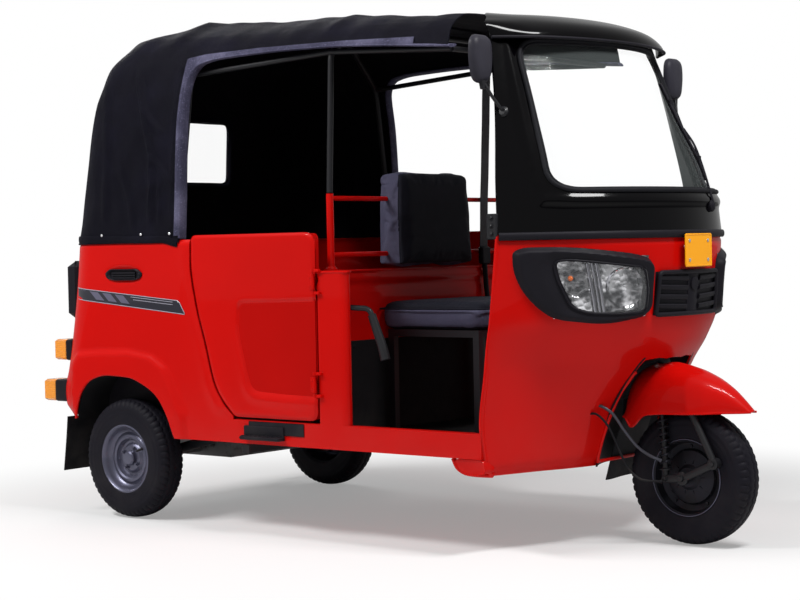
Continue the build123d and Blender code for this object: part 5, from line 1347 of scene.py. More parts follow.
# ---- Middle body: bulkhead, sills and floor -----------------------------------------------
def build_middle():
    """Bulkhead with rounded pillars and ledge, rolled sills, floor mat and steps."""
    finish = FINISHES
    wall = Shape()
    right = [(78.0, -552.0), (78.0, -BODY_HALF), (186.0, -BODY_HALF), (205.0, -588.0), (194.0, -566.0),
             (58.0, -486.0), (58.0, 0.0)]
    radii = [0.0, 8.0, 12.0, 10.0, 22.0, 70.0, 0.0]
    front = rounded(right, radii, 6.0)
    left = (front * np.array([1.0, -1.0]))[::-1][1:]
    face = np.vstack([front, left])
    rows = []
    for z in np.concatenate([np.linspace(331.0, 860.0, 60), np.linspace(862.0, 873.5, 5)]):
        out = 9.0 * bell(z - 845.0, 9.0) - 7.0 * bell(z - 822.0, 14.0)
        rows.append([(x + out * float(ramp(200.0 - abs(x), 20.0, 60.0)) * 0.6, y, z) for x, y in face])
    wall.grid(rows)
    skin = wall.make("bulkhead_skin", "chassis", "body_red", finish["red"])
    thicken(skin, 3.0)
    clear = Shape().block((66.0, -610.0, 320.0), (215.0, -569.0, SILL_TOP_Z), 0.0)
    clear.mirrored()
    carve(skin, clear)
    back = Shape()
    back_path = rounded([(78.0, -563.0), (40.0, -508.0), (29.0, -505.0), (29.0, 505.0), (40.0, 508.0),
                         (78.0, 563.0)], 14.0, 10.0)
    back.grid([[(x, y, z) for x, y in back_path] for z in (331.0, 873.5)])
    panel = back.make("bulkhead_back", "chassis", "body_red", finish["red_inner"])
    thicken(panel, 2.0)
    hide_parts("bulkhead")
    # Dark panel under the driver's seat: painted shade where the cab's inside falls dark.
    liner = Shape()
    liner.block((58.5, -430.0, 334.0), (62.5, 430.0, 640.0), 2.0)
    for k in range(5):
        liner.button((62.0, -400.0 + 200.0 * k, 620.0), (1, 0, 0), 6.0, 3.0)
    liner.make("bulkhead_shade_panel", "chassis", "trim_plastic", finish["mat"])
    ledge = Shape()
    top = rounded([(74.0, -BODY_HALF), (206.0, -BODY_HALF + 2.0), (200.0, -570.0), (60.0, -484.0),
                   (60.0, 484.0), (200.0, 570.0), (206.0, BODY_HALF - 2.0), (74.0, BODY_HALF),
                   (74.0, 566.0), (29.0, 500.0), (29.0, -500.0), (74.0, -566.0)],
                  [8.0, 30.0, 20.0, 40.0, 40.0, 20.0, 30.0, 8.0, 8.0, 20.0, 20.0, 8.0], 8.0, closed=True)
    ledge.prism(top, plan_place, (868.0, 874.4))
    ledge.pipe([(x, y, 870.5) for x, y in top], 4.0, 8, closed=True)
    ledge.make("bulkhead_ledge", "chassis", "body_red", finish["red"])
    studs = Shape()
    for x, y, z in ((112.0, -547.0, 778.0), (150.0, -566.0, 772.0)):
        studs.lathe([(0, 0), (11, 0), (11, 3), (8, 7), (5, 8), (5, 11), (0, 12)], (x, y, z),
                    Vector((0.52, -0.85, 0)), 24)
    studs.make("bulkhead_bolts", "chassis", "rim_silver", finish["zinc"])

    sill = Shape()
    rear_x, front_x = DOOR_FOOT_X - DOOR_GAP, FRONT_AXLE - 379.0
    profile = rounded([(-566.0, 331.0), (-566.0, 380.5), (-598.5, 381.0), (-600.5, 340.0), (-597.0, 301.5),
                       (-566.0, 301.5)], [1.0, 3.0, 9.0, 30.0, 12.0, 3.0], 3.0)
    stations = np.concatenate([np.linspace(rear_x, 190.0, 40), np.linspace(196.0, front_x + 2.0, 50)])
    rows = []
    for x in stations:
        drop = 5.0 * float(ramp(x, 196.0, 226.0))
        lift = 9.0 * float(ramp(x, 690.0, front_x + 2.0)) ** 2
        rows.append([(x, y, z - drop * float(ramp(z, 360.0, 380.0)) + lift * float(ramp(z, 340.0, 380.0)))
                     for y, z in profile])
    sill.grid(rows, ends=False)
    for k in range(17):
        x = 232.0 + 27.0 * k
        sill.pipe([(x, -596.0, 375.4), (x + 14.0, -596.0, 375.4)], 3.0, 8)
    sill.mirrored()
    sill.make("sill_skins", "chassis", "body_red", finish["red"])
    mat = Shape()
    mat.block((-545.0, -562.0, 330.2), (25.0, 562.0, 334.0), 1.0)
    mat.block((62.0, -562.0, 330.2), (716.0, 562.0, 334.0), 1.0)
    for k in range(40):
        y = -540.0 + 27.7 * k
        mat.block((-540.0, y, 333.8), (20.0, y + 9.0, 336.4), 1.2)
        mat.block((70.0, y, 333.8), (700.0, y + 9.0, 336.4), 1.2)
    mat.make("floor_mats", "chassis", "rubber_black", finish["mat"])
    step = Shape()
    step.block((-254.0, -634.0, 318.5), (-74.0, -600.5, 331.5), 4.0)
    step.block((-254.0, -609.0, 318.5), (-74.0, -600.4, 363.5), 2.0)
    for k in range(9):
        step.block((-246.0 + 19.5 * k, -632.0, 330.5), (-238.0 + 19.5 * k, -611.0, 333.6), 1.2)
    guard = Shape()
    guard.block((-236.0, -603.5, 336.0), (12.0, -600.2, 378.0), 1.5)
    guard.mirrored()
    guard.make("sill_rubbers", "chassis", "trim_plastic", finish["plastic"])
    step.mirrored()
    steps = step.make("step_treads", "chassis", "trim_plastic", finish["plastic"])
    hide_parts("side_steps")


def build_wheel_houses():
    """Dark liner over each rear wheel, closed on its inner side."""
    houses = Shape()
    arch = smooth_rows([(REAR_AXLE + x, z) for x, z in ARCH_EDGE], 40)
    arch = [(x + (REAR_AXLE + 20.0 - x) * -0.02, z + 5.0) for x, z in arch if z > 330.0]
    rows = [[(x, y, z) for x, z in arch] for y in np.linspace(-588.0, -420.0, 8)]
    for share in (0.66, 0.33, 0.02):
        rows.append([(x, -420.0, 330.0 + (z - 330.0) * share) for x, z in arch])
    houses.grid(rows)
    houses.mirrored()
    made = houses.make("wheel_houses", "chassis", "rubber_black", FINISHES["mat"], outward=False)
    thicken(made, 2.0, offset=0.0)


# ---- Wheels -----------------------------------------------------------------------------
# Half of the tyre's section from its bead to the crown: columns: radius, offset
TYRE_HALF = ((116.0, -45.0), (122.0, -49.5), (133.0, -51.5), (152.0, -52.8), (171.0, -53.0),
             (186.0, -51.0), (196.0, -46.5), (203.0, -41.0), (208.0, -32.0), (211.0, -18.0), (212.3, 0.0))
LUG_PITCHES = 54


def tyre_shape(middle, tread_depth):
    """Tyre with sipes across its shoulders and zigzag grooves round its crown."""
    half = smooth_rows(TYRE_HALF, 34)
    section = np.vstack([half, (half * np.array([1.0, -1.0]))[::-1][1:]])
    around = LUG_PITCHES * 8
    rows = []
    for i in range(around + 1):
        a = 2 * math.pi * (i % around) / around
        phase = (i % 8) / 8.0
        zig = 3.4 * (abs(phase * 2 - 1) * 2 - 1)
        r, w = section[:, 0].copy(), section[:, 1]
        crown = ramp(r, 199.0, 208.0)
        groove = np.zeros(len(r))
        for place in (-26.0, 0.0, 26.0):
            groove = np.maximum(groove, bell(w - place - zig, 2.3))
        sipe = bell(phase - 0.5, 0.16) * ramp(np.abs(w), 29.0, 34.0) * ramp(r, 186.0, 196.0)
        r = r - tread_depth * np.maximum(groove * crown, sipe)
        for ring, high in ((128.0, 1.4), (160.0, 1.0), (178.0, 1.6)):
            w = w + np.sign(w) * high * bell(section[:, 0] - ring, 2.6)
        rows.append(np.column_stack([
            middle[0] + r * math.cos(a), middle[1] + w, middle[2] + r * math.sin(a)
        ]))
    return Shape().grid(rows)


def build_wheels(tread_depth):
    """Three treaded tyres, stepped steel rims with nuts and valves, and the front hub."""
    finish = FINISHES
    for name, x, y, out in (("rear_right", REAR_AXLE, -525.0, -1.0), ("rear_left", REAR_AXLE, 525.0, 1.0),
                            ("front", FRONT_AXLE, 0.0, -1.0)):
        end, _, side = name.partition("_")
        body = f"{end}_wheel" + (f"_{side}" if side else "")
        tail = f"_{side}" if side else ""
        centre = np.array([x, y, TYRE_RADIUS])
        tyre = tyre_shape(centre, tread_depth).make(f"{end}_tyre_tread{tail}", body, "tyre_black",
                                                    finish["tyre"], sharp=48.0)
        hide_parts(f"{end}_tyre{tail}")
        axis = (0, out, 0)
        rim = Shape()
        # Columns: radius, offset outwards
        disc = [(116.0, -45.0), (119.5, 44.0), (121.5, 49.5), (117.0, 51.0), (112.0, 46.5), (108.0, 38.0),
                (104.5, 30.0), (99.0, 22.0), (94.0, 19.0), (88.0, 21.5), (84.0, 26.5), (76.0, 29.0),
                (70.0, 25.0), (66.0, 14.0), (62.0, 9.0), (54.0, 8.0), (50.0, 11.0), (44.0, 18.0),
                (32.0, 19.0), (27.0, 19.0), (25.5, 31.0), (21.0, 36.0), (0.0, 37.0)]
        if end == "rear":
            rim.lathe(disc, centre, axis, 96)
            for k in range(4):
                a = math.pi / 4 + k * math.pi / 2 + 0.25
                spot = centre + np.array([39.0 * math.cos(a), out * 18.5, 39.0 * math.sin(a)])
                rim.bolt(spot, axis, 6.4, 8.0)
                rim.pipe([spot, spot + np.array([0, out * 13.0, 0])], 3.2, 12)
            for k in range(8):
                a = k * math.pi / 4 + 0.1
                spot = centre + np.array([66.0 * math.cos(a), out * 13.5, 66.0 * math.sin(a)])
                rim.button(spot, axis, 3.4, 2.4)
            rim.lathe([(80.0, -55.0), (80.0, -20.0), (44.0, -20.0), (44.0, -54.0)], centre, axis, 64)
            made = rim.make(f"rear_rim_disc{tail}", body, "rim_silver", finish["silver"], sharp=30.0)
            valve = Shape()
            a = math.radians(28.0 if side == "right" else 152.0)
            foot = centre + np.array([80.0 * math.cos(a), out * 30.0, 80.0 * math.sin(a)])
            tip = centre + np.array([61.0 * math.cos(a), out * 42.0, 61.0 * math.sin(a)])
            valve.pipe([foot, (foot + tip) / 2, tip], [5.0, 4.4, 3.6], 14)
            valve.make(f"rear_valve{tail}", body, "rubber_black", finish["rubber"])
            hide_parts(f"rear_rim{tail}")
            continue
        for hand in (-1, 1):
            plate = [(112.0, hand * 0.5), (118.0, hand * 40.0), (121.5, hand * 47.0), (119.0, hand * 50.5),
                     (113.0, hand * 46.0), (110.0, hand * 34.0), (106.0, hand * 20.0), (88.0, hand * 13.0),
                     (82.0, hand * 22.0), (60.0, hand * 30.0), (40.0, hand * 32.0), (30.0, hand * 42.0),
                     (10.0, hand * 44.0)]
            rim.lathe(plate, centre, (0, 1, 0), 96)
            for k in range(10):
                a = 2 * math.pi * k / 10
                inner = centre + np.array([44.0 * math.cos(a), hand * 31.0, 44.0 * math.sin(a)])
                outer = centre + np.array([86.0 * math.cos(a), hand * 17.0, 86.0 * math.sin(a)])
                rim.pipe([inner, outer], 4.0, 8, across=(0, 1, 0), flat=0.5)
            for k in range(5):
                a = 2 * math.pi * k / 5 + 0.3
                spot = centre + np.array([96.0 * math.cos(a), hand * 14.5, 96.0 * math.sin(a)])
                rim.bolt(spot, (0, hand, 0), 5.5, 7.0)
        made = rim.make("front_rim_hub", body, "rim_dark", finish["dark_metal"], sharp=30.0)
        line = Shape()
        for hand in (-1, 1):
            ring = [(centre[0] + 119.5 * math.cos(a), hand * 50.4, centre[2] + 119.5 * math.sin(a))
                    for a in np.linspace(0, 2 * math.pi, 96, endpoint=False)]
            line.pipe(ring, 1.6, 8, closed=True)
        line.make("front_rim_line", body, "rim_silver", finish["silver"])
        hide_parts("front_rim")


# ---- Lamps and grille -------------------------------------------------------------------
BEZEL_EDGE = [(-542.0, 925.0), (-541.0, 868.0), (-520.0, 790.0), (-464.0, 720.0), (-334.0, 699.0),
              (-187.0, 722.0), (-188.0, 893.0), (-250.0, 911.0), (-440.0, 937.0), (-520.0, 937.0)]
LAMP_EDGE = [(-461.0, 893.0), (-452.0, 840.0), (-420.0, 755.0), (-380.0, 737.0), (-300.0, 733.0),
             (-222.0, 738.0), (-218.0, 800.0), (-232.0, 872.0), (-330.0, 884.0), (-430.0, 898.0)]


def patch_rows(skin, outline, proud, steps=44):
    """Grid over the area round an outline, each point stood off the front shell."""
    ys, zs = np.array(outline).T
    across = np.linspace(min(ys) - 8.0, max(ys) + 8.0, int(steps * 1.7))
    above = np.linspace(min(zs) - 8.0, max(zs) + 8.0, steps)
    heights = proud(*np.meshgrid(across, above))
    rows = []
    for z, line in zip(above, heights):
        limit = skin.ring(z)[0][1] + 6.0
        row = []
        for y, high in zip(across, line):
            p, _ = skin.at(max(y, limit), z, high)
            row.append((p[0], p[1] + min(0.0, y - limit) * 0.2, p[2]))
        rows.append(row)
    return rows


def build_lamps(skin):
    """Textured bezels, two-chamber headlamps and the slatted grille."""
    finish = FINISHES
    bezel = rounded(BEZEL_EDGE, 46.0, 7.0, closed=True)
    lamp = rounded(LAMP_EDGE, 22.0, 6.0, closed=True)
    for name, side in SIDES:
        hand = np.array([1.0, -side, 1.0])

        def proud(y, z):
            high = (15.0 + 13.0 * ramp(y, -400.0, -190.0)) * ramp(signed(y, z, bezel), -1.0, 16.0)
            high -= 7.0 * ramp(signed(y, z, lamp), -34.0, 0.0)
            return high + 0.4

        rows = np.array(patch_rows(skin, BEZEL_EDGE, proud, 60)) * hand
        made = Shape().grid(rows).make(f"bezel_{name}", "chassis", "trim_plastic", finish["plastic"])
        face_ahead(made)
        thicken(made, 6.0)
        outer = [(y * -side, z) for y, z in bezel]
        hole = [(y * -side, z) for y, z in lamp]
        carve(made, Shape().prism(outer, facing_place, FRONT_SPAN), "INTERSECT")
        carve(made, Shape().prism(hole, facing_place, FRONT_SPAN))
        if name == "right":
            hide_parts("headlamp_bezels")
        seam = Shape()
        lip = [skin.at(y, z, 9.5 + 12.0 * float(ramp(y, -400.0, -190.0)))[0] * hand for y, z in lamp]
        seam.pipe(lip, 3.6, 8, closed=True)
        seam.make(f"lamp_lip_{name}", "chassis", "trim_plastic", finish["plastic"])

        bowl = Shape()
        for cy, cz, reach in ((-284.0, 810.0, 62.0), (-408.0, 824.0, 40.0)):
            spot, n = skin.at(cy, cz, 3.0)
            spot, face = spot * hand, Vector(n * hand)
            dish = [(reach * s, -16.0 + 17.0 * s**2.4) for s in (0.01, 0.16, 0.3, 0.42, 0.54, 0.66, 0.78,
                                                                  0.89, 1.0)]
            facets = []
            for i in range(97):
                a = 2 * math.pi * (i % 96) / 96
                wave = 3.4 * (abs((a * 11 / math.pi) % 1.0 - 0.5) - 0.25)
                facets.append([(r, w + wave * (r / reach) + 1.6 * math.cos(r * 0.42)) for r, w in dish])
            turn = Vector((0, 0, 1)).rotation_difference(face).to_matrix()
            rows = []
            for i, ring in enumerate(facets):
                a = 2 * math.pi * (i % 96) / 96
                rows.append([Vector(spot) + turn @ Vector((r * math.cos(a), r * math.sin(a), w))
                             for r, w in ring])
            bowl.grid([[tuple(p) for p in row] for row in rows])
            bowl.lathe([(0, -15.0), (11.0, -15.0), (11.0, -4.0), (8.0, 0.0), (0.0, 1.5)], spot, face, 28)
        backing = [[skin.at(y, z, 0.8)[0] * hand for y in np.linspace(-472.0, -206.0, 40)]
                   for z in np.linspace(722.0, 906.0, 24)]
        bowl.grid(backing)
        bowl.make(f"reflector_{name}", "chassis", "lamp_glass", finish["reflector"], sharp=20.0,
                  outward=False)
        bar = Shape()
        for k in (-11.0, 0.0, 11.0):
            divider = [skin.at(-365.0 + k + (z - 812.0) * -0.2, z, 7.5)[0] * hand
                       for z in np.linspace(738.0, 886.0, 20)]
            bar.pipe(divider, 6.0 - 1.5 * (k == 0.0), 10, across=(0.2, 1.0, 0.0), flat=0.6)
        bar.make(f"lamp_divider_{name}", "chassis", "rim_silver", finish["chrome"])
        bulb = Shape()
        spot, n = skin.at(-424.0, 842.0, 4.0)
        bulb.button(spot * hand, n * hand, 8.0, 8.0)
        bulb.make(f"lamp_bulb_{name}", "chassis", "lamp_amber", finish["amber_bulb"])
        rows = np.array(patch_rows(skin, LAMP_EDGE,
                                   lambda y, z: 10.5 + 12.0 * ramp(y, -400.0, -190.0), 34)) * hand
        cover = Shape().grid(rows).make(f"lamp_cover_{name}", "chassis", "lamp_glass", finish["lens"])
        face_ahead(cover)
        thicken(cover, 2.0)
        inner = [((y + 340.0) * 0.985 - 340.0, (z - 815.0) * 0.98 + 815.0) for y, z in lamp]
        inner = [(y * -side, z) for y, z in inner]
        carve(cover, Shape().prism(inner, facing_place, FRONT_SPAN), "INTERSECT")
        if name == "right":
            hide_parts("headlamps")

    grille = Shape()
    edge = rounded([(-180.0, 720.0), (180.0, 720.0), (174.0, 857.0), (-174.0, 857.0)], 14.0, 8.0,
                   closed=True)
    frame_run = [skin.at(y * 0.965, (z - 788.0) * 0.94 + 788.0, 8.0)[0] for y, z in edge]
    grille.pipe(frame_run, 8.0, 12, closed=True, across=(1.0, 0.0, 0.0), flat=0.9)
    rows = [[skin.at(y, z, 1.0)[0] for y in np.linspace(-178.0, 178.0, 50)]
            for z in np.linspace(722.0, 855.0, 20)]
    grille.grid(rows)
    for k in range(4):
        z = 743.0 + 29.0 * k
        for ends in ((-166.0, -34.0), (34.0, 166.0)):
            run = [skin.at(y, z + 7.0 * abs(y) / 172.0, 6.0)[0] for y in np.linspace(*ends, 20)]
            grille.pipe(run, 8.5, 8, across=(0.35, 0.0, 1.0), flat=0.5)
    rows = []
    for z in np.linspace(728.0, 849.0, 16):
        half = 26.0 + 8.0 * abs(z - 788.0) / 61.0
        rows.append([skin.at(y, z, 9.0 - 6.0 * (abs(y) / half) ** 2)[0]
                     for y in np.linspace(-half, half, 12)])
    grille.grid(rows)
    spot, n = skin.at(0.0, 815.0, 9.0)
    grille.lathe([(0, 0), (21, 0), (21, 2.0), (18, 3.4), (14, 3.0), (0, 3.6)], spot, Vector(n), 40)
    made = grille.make("grille_slats", "chassis", "trim_plastic", finish["plastic"], outward=False)
    clean(made)
    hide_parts("front_grille")

    plate = Shape()
    low_x = FRONT_AXLE + 26.3
    face = rounded([(-80.0, 867.0), (80.0, 867.0), (80.0, 970.0), (-80.0, 970.0)], 9.0, 4.0, closed=True)
    plate.prism(face, facing_place, (low_x, low_x + 2.0))
    ridge = [(low_x + 1.8, y * 0.95, (z - 918.5) * 0.93 + 918.5) for y, z in face]
    plate.pipe(ridge, 1.6, 8, closed=True)
    made = plate.make("front_number_plate", "chassis", "plate_yellow", finish["plate"])
    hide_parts("front_plate")
    bolts = Shape()
    for y in (-55.0, 55.0):
        for z in (888.0, 948.0):
            bolts.bolt((low_x + 2.0, y, z), (1, 0, 0), 4.0, 3.0)
        bolts.pipe([(FRONT_AXLE + 10.0, y, 930.0), (low_x + 1.0, y, 930.0)], 5.0, 12)
    bolts.make("front_plate_bolts", "chassis", "rim_silver", finish["zinc"])


# ---- Seats ------------------------------------------------------------------------------
def pad_shape(low, high, corner, crown, spacing=14.0, waist=0.0):
    """Closed cushion between two corners with rounded plan corners and soft edges."""
    low, high = np.array(low, float), np.array(high, float)
    plan = rounded([(low[0], low[1]), (high[0], low[1]), (high[0], high[1]), (low[0], high[1])], corner,
                   spacing, closed=True)
    middle = (low[:2] + high[:2]) / 2
    tall = high[2] - low[2]
    rows = []
    for s in np.linspace(0, 1, 13):
        a = math.pi * (s - 0.5)
        draw = 1.0 - 0.055 * (1 - math.cos(a)) ** 1.3 - waist * bell(np.array(s - 0.5), 0.2)
        z = low[2] + tall * (0.5 + 0.5 * math.sin(a) * 0.999)
        rows.append([(middle[0] + (x - middle[0]) * draw, middle[1] + (y - middle[1]) * draw, z)
                     for x, y in plan])
    shape = Shape()
    for end, below in ((rows[0], True), (rows[-1], False)):
        inner = [end]
        for s in np.linspace(0.85, 0.08, 8):
            lift = 0.0 if below else crown * (1 - s**2)
            inner.append([(middle[0] + (x - middle[0]) * s, middle[1] + (y - middle[1]) * s, z + lift)
                          for x, y, z in end])
        shape.grid(inner[::-1] + rows[1:] if below else inner, wrap=True)
        shape.add(inner[-1], [tuple(range(len(inner[-1])))])
    return shape


# Settings of the cushions' swelling
SWELL_PRESSURE, SWELL_STIFFNESS, SWELL_BENDING, SWELL_FRAMES = 4.0, 30.0, 1.5, 20


def inflate(obj, cap, voxel):
    """Swell a closed mesh with a short cloth simulation and keep the result."""
    scene = bpy.context.scene
    remesh = obj.modifiers.new("voxels", "REMESH")
    remesh.mode = "VOXEL"
    remesh.voxel_size = voxel
    settle(obj, 60.0)
    count = len(obj.data.vertices)
    start = np.empty(count * 3)
    obj.data.vertices.foreach_get("co", start)
    cloth = obj.modifiers.new("cloth", "CLOTH")
    cloth.settings.use_pressure = True
    cloth.settings.uniform_pressure_force = SWELL_PRESSURE
    cloth.settings.effector_weights.gravity = 0.0
    cloth.settings.tension_stiffness = SWELL_STIFFNESS
    cloth.settings.compression_stiffness = SWELL_STIFFNESS
    cloth.settings.bending_stiffness = SWELL_BENDING
    cloth.point_cache.frame_start = 1
    cloth.point_cache.frame_end = SWELL_FRAMES
    for number in range(1, SWELL_FRAMES + 1):
        scene.frame_set(number)
    settle(obj, 60.0)
    scene.frame_set(1)
    moved = np.empty(count * 3)
    obj.data.vertices.foreach_get("co", moved)
    shift = (moved - start).reshape(-1, 3)
    length = np.linalg.norm(shift, axis=1)[:, None]
    shift *= np.minimum(1.0, cap * MM / np.maximum(length, 1e-9))
    obj.data.vertices.foreach_set("co", (start.reshape(-1, 3) + shift).ravel())
    modifier = obj.modifiers.new("finer", "SUBSURF")
    modifier.levels = 1
    settle(obj, 60.0)


def cushion_piece(name, shape, cap, node, finishes, channels, voxel=0.006):
    """Cushion made from a closed shape: swollen, sewn and given its covers."""
    obj = shape.make(name, "chassis", "seat_vinyl", *finishes, sharp=60.0)
    inflate(obj, cap, voxel)
    relieve(obj, channels)
    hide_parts(node)
    return obj


def cover_faces(obj, test):
    """Give the second cover to the faces that pass a test on middle and normal."""
    for face in obj.data.polygons:
        face.material_index = 1 if test(face.center / MM, face.normal) else 0


def build_seats(cap):
    """Driver's seat and backrest and the passengers' bench, padded and piped."""
    finish = FINISHES
    # The second cover is the paler copy of the seat vinyl, which paints the light that falls on the side
    # faces.
    covers = (finish["seat"], finish["seat_side"])
    seat = pad_shape((62.0, -280.0, 678.0), (490.0, 280.0, 758.0), 46.0, 5.0)

    def seat_channels(points, normals):
        x, y, z = points.T
        lift = -3.0 * bell(x - 400.0, 3.2) * ramp(normals[:, 2], 0.3, 0.8)
        lift -= 2.5 * bell(z - 738.0, 2.6) * ramp(-np.abs(normals[:, 2]), -0.8, -0.4)
        moved = points + normals * lift[:, None]
        moved[:, 2] = np.clip(moved[:, 2], 672.3, 771.0)
        return moved

    made = cushion_piece("driver_seat_pad", seat, cap - 1.0, "driver_cushion", covers, seat_channels)
    cover_faces(made, lambda c, n: c.z < 738.0 and abs(n.z) < 0.75)

    rows = []
    outline = rounded([(-1.0, 884.0), (114.0, 884.0), (102.0, 1204.0), (-1.0, 1204.0)],
                      [12.0, 16.0, 26.0, 24.0], 8.0, closed=True)
    middle = outline.mean(axis=0)
    for s in np.linspace(-1, 1, 33):
        a = abs(s)
        draw = 1.0 - 0.1 * float(ramp(a, 0.9, 1.0)) ** 2
        y = 198.0 * s
        rows.append([(middle[0] + (x - middle[0]) * draw, y * (1 - 0.05 * float(ramp(z, 1050.0, 1204.0))),
                      884.0 + (z - 884.0) * (1 - 0.02 * a**4)) for x, z in outline])
    back = Shape().grid(rows, wrap=True, ends=True)

    def back_channels(points, normals):
        x, y, z = points.T
        lift = -2.4 * bell(x - 96.0 + (z - 884.0) * 0.03, 3.0)
        lift -= 3.0 * bell(z - 1158.0, 3.0) * (1 - ramp(x, 30.0, 50.0))
        moved = points + normals * lift[:, None]
        moved[:, 0] = np.clip(moved[:, 0], -9.0, 123.0)
        return moved

    made = cushion_piece("driver_back_pad", back, cap - 1.0, "driver_backrest", covers, back_channels)
    cover_faces(made, lambda c, n: c.x < 92.0 - (c.z - 884.0) * 0.03)

    bench = pad_shape((-1012.0, -532.0, 608.0), (-556.0, 532.0, 704.0), 60.0, 6.0, 18.0)

    def bench_channels(points, normals):
        x, y, z = points.T
        top = ramp(normals[:, 2], 0.3, 0.8)
        lift = np.zeros(len(points))
        for place in (-356.0, -178.0, 0.0, 178.0, 356.0):
            lift -= 4.5 * bell(y - place, 4.5) * top
        lift -= 2.5 * bell(z - 682.0, 3.0) * (1 - top)
        return points + normals * lift[:, None]

    cushion_piece("bench_pad", bench, cap, "passenger_cushion", covers[:1], bench_channels, voxel=0.01)
    rows = []
    profile = rounded([(-1128.0, 610.0), (-1032.0, 610.0), (-1050.0, 958.0), (-1126.0, 958.0)],
                      [8.0, 16.0, 30.0, 16.0], 12.0, closed=True)
    for y in np.linspace(-428.0, 428.0, 50):
        a = abs(y) / 428.0
        draw = 1.0 - 0.12 * float(ramp(a, 0.94, 1.0)) ** 2
        m = profile.mean(axis=0)
        rows.append([(m[0] + (x - m[0]) * draw, y, m[1] + (z - m[1]) * draw) for x, z in profile])
    rest = Shape().grid(rows, wrap=True, ends=True)

    def rest_channels(points, normals):
        x, y, z = points.T
        front = ramp(normals[:, 0], 0.2, 0.7)
        lift = np.zeros(len(points))
        for place in (-320.0, -214.0, -107.0, 0.0, 107.0, 214.0, 320.0):
            lift -= 5.0 * bell(y - place, 4.5) * front
        lift -= 4.0 * bell(z - 900.0, 4.0) * front
        return points + normals * lift[:, None]

    cushion_piece("bench_back", rest, cap, "passenger_backrest", covers[:1], rest_channels, voxel=0.01)

    piping = Shape()
    seat_run = rounded([(58.0, -284.0), (496.0, -284.0), (496.0, 284.0), (58.0, 284.0)], 46.0, 8.0,
                       closed=True)
    piping.pipe([(x, y, 741.0) for x, y in seat_run], 3.0, 8, closed=True)
    piping.make("seat_piping", "chassis", "seat_vinyl", finish["seat"])


# ---- Front wheel's mudguard, fork and cables ----------------------------------------------
# Crest of the mudguard from its rear foot over the wheel to the tip: columns: x, z
GUARD_CREST = ((903.0, 405.0), (903.0, 470.0), (918.0, 520.0), (950.0, 552.0), (1000.0, 567.0),
               (1050.0, 568.0), (1110.0, 556.0), (1180.0, 530.0), (1240.0, 496.0), (1285.0, 458.0),
               (1317.0, 425.0))
# Side foot of the mudguard under each point of the crest
GUARD_FOOT = ((903.0, 402.0), (905.0, 400.0), (914.0, 395.0), (935.0, 368.0), (985.0, 408.0),
              (1040.0, 414.0), (1110.0, 416.0), (1180.0, 418.0), (1240.0, 420.0), (1285.0, 421.0),
              (1316.0, 422.0))


# Half width of the mudguard: stations, then half widths
GUARD_HALF = (903.0, 1126.0, 1180.0, 1250.0, 1317.0), (93.0, 93.0, 78.0, 46.0, 16.0)


def build_mudguard():
    """Pointed front mudguard with a crest, rolled edge and its flap."""
    finish = FINISHES
    crest = smooth_rows(GUARD_CREST, 60)
    foot = smooth_rows(GUARD_FOOT, 60)
    rows = []
    for (x, z), (foot_x, foot_z) in zip(crest, foot):
        half = float(np.interp(x, *GUARD_HALF))
        row = []
        for a in np.linspace(-math.pi / 2, math.pi / 2, 41):
            across = math.copysign(abs(math.sin(a)) ** 0.8, a)
            down = 1 - abs(math.cos(a)) ** 0.62
            y = half * across
            ridge = 3.0 * math.exp(-((y / 12.0) ** 2)) - 3.0
            row.append((x + (foot_x - x) * down, y, z + (foot_z - z) * down + ridge))
        rows.append(row)
    guard = Shape().grid(rows).make("mudguard_shell", "steering", "body_red", finish["red"])
    thicken(guard, 3.0)
    carve(guard, steer_cutter([(0.0, 500.0), (21.0, 500.0), (21.0, 700.0), (0.0, 700.0)], 32))
    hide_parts("front_mudguard")
    edge = Shape()
    for side in (0, -1):
        run = [tuple(row[side]) for row in rows[2:]]
        edge.pipe(even([(x, y * 0.985, z + 2.0) for x, y, z in run], 10.0), 3.6, 8)
    edge.make("mudguard_edge", "steering", "body_red", finish["red"])
    flap = Shape()
    rows = []
    run = smooth_rows([(899.0, 452.0), (898.0, 400.0), (872.0, 325.0), (832.0, 195.0)], 22)
    for x, z in run:
        half = float(np.interp(z, (195.0, 400.0), (86.0, 84.0)))
        rows.append([(x - 2.0 * math.cos(y / 28.0), y, z + 2.0 * math.sin(y / 40.0) * (z < 230.0))
                     for y in np.linspace(-half, half, 24)])
    made = flap.grid(rows).make("front_flap_sheet", "steering", "rubber_black", finish["rubber"])
    thicken(made, 4.0, offset=0.0)
    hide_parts("front_flap")


def coil(shape, low, high, radius, wire, turns):
    """Coil spring between two points."""
    low, high = Vector(low), Vector(high)
    turn = Vector((0, 0, 1)).rotation_difference((high - low).normalized()).to_matrix()
    path = []
    for i in range(turns * 18 + 1):
        s = i / (turns * 18)
        a = s * turns * 2 * math.pi
        wound = turn @ Vector((radius * math.cos(a), radius * math.sin(a), 0))
        path.append(tuple(low + (high - low) * s + wound))
    return shape.pipe(path, wire, 8)


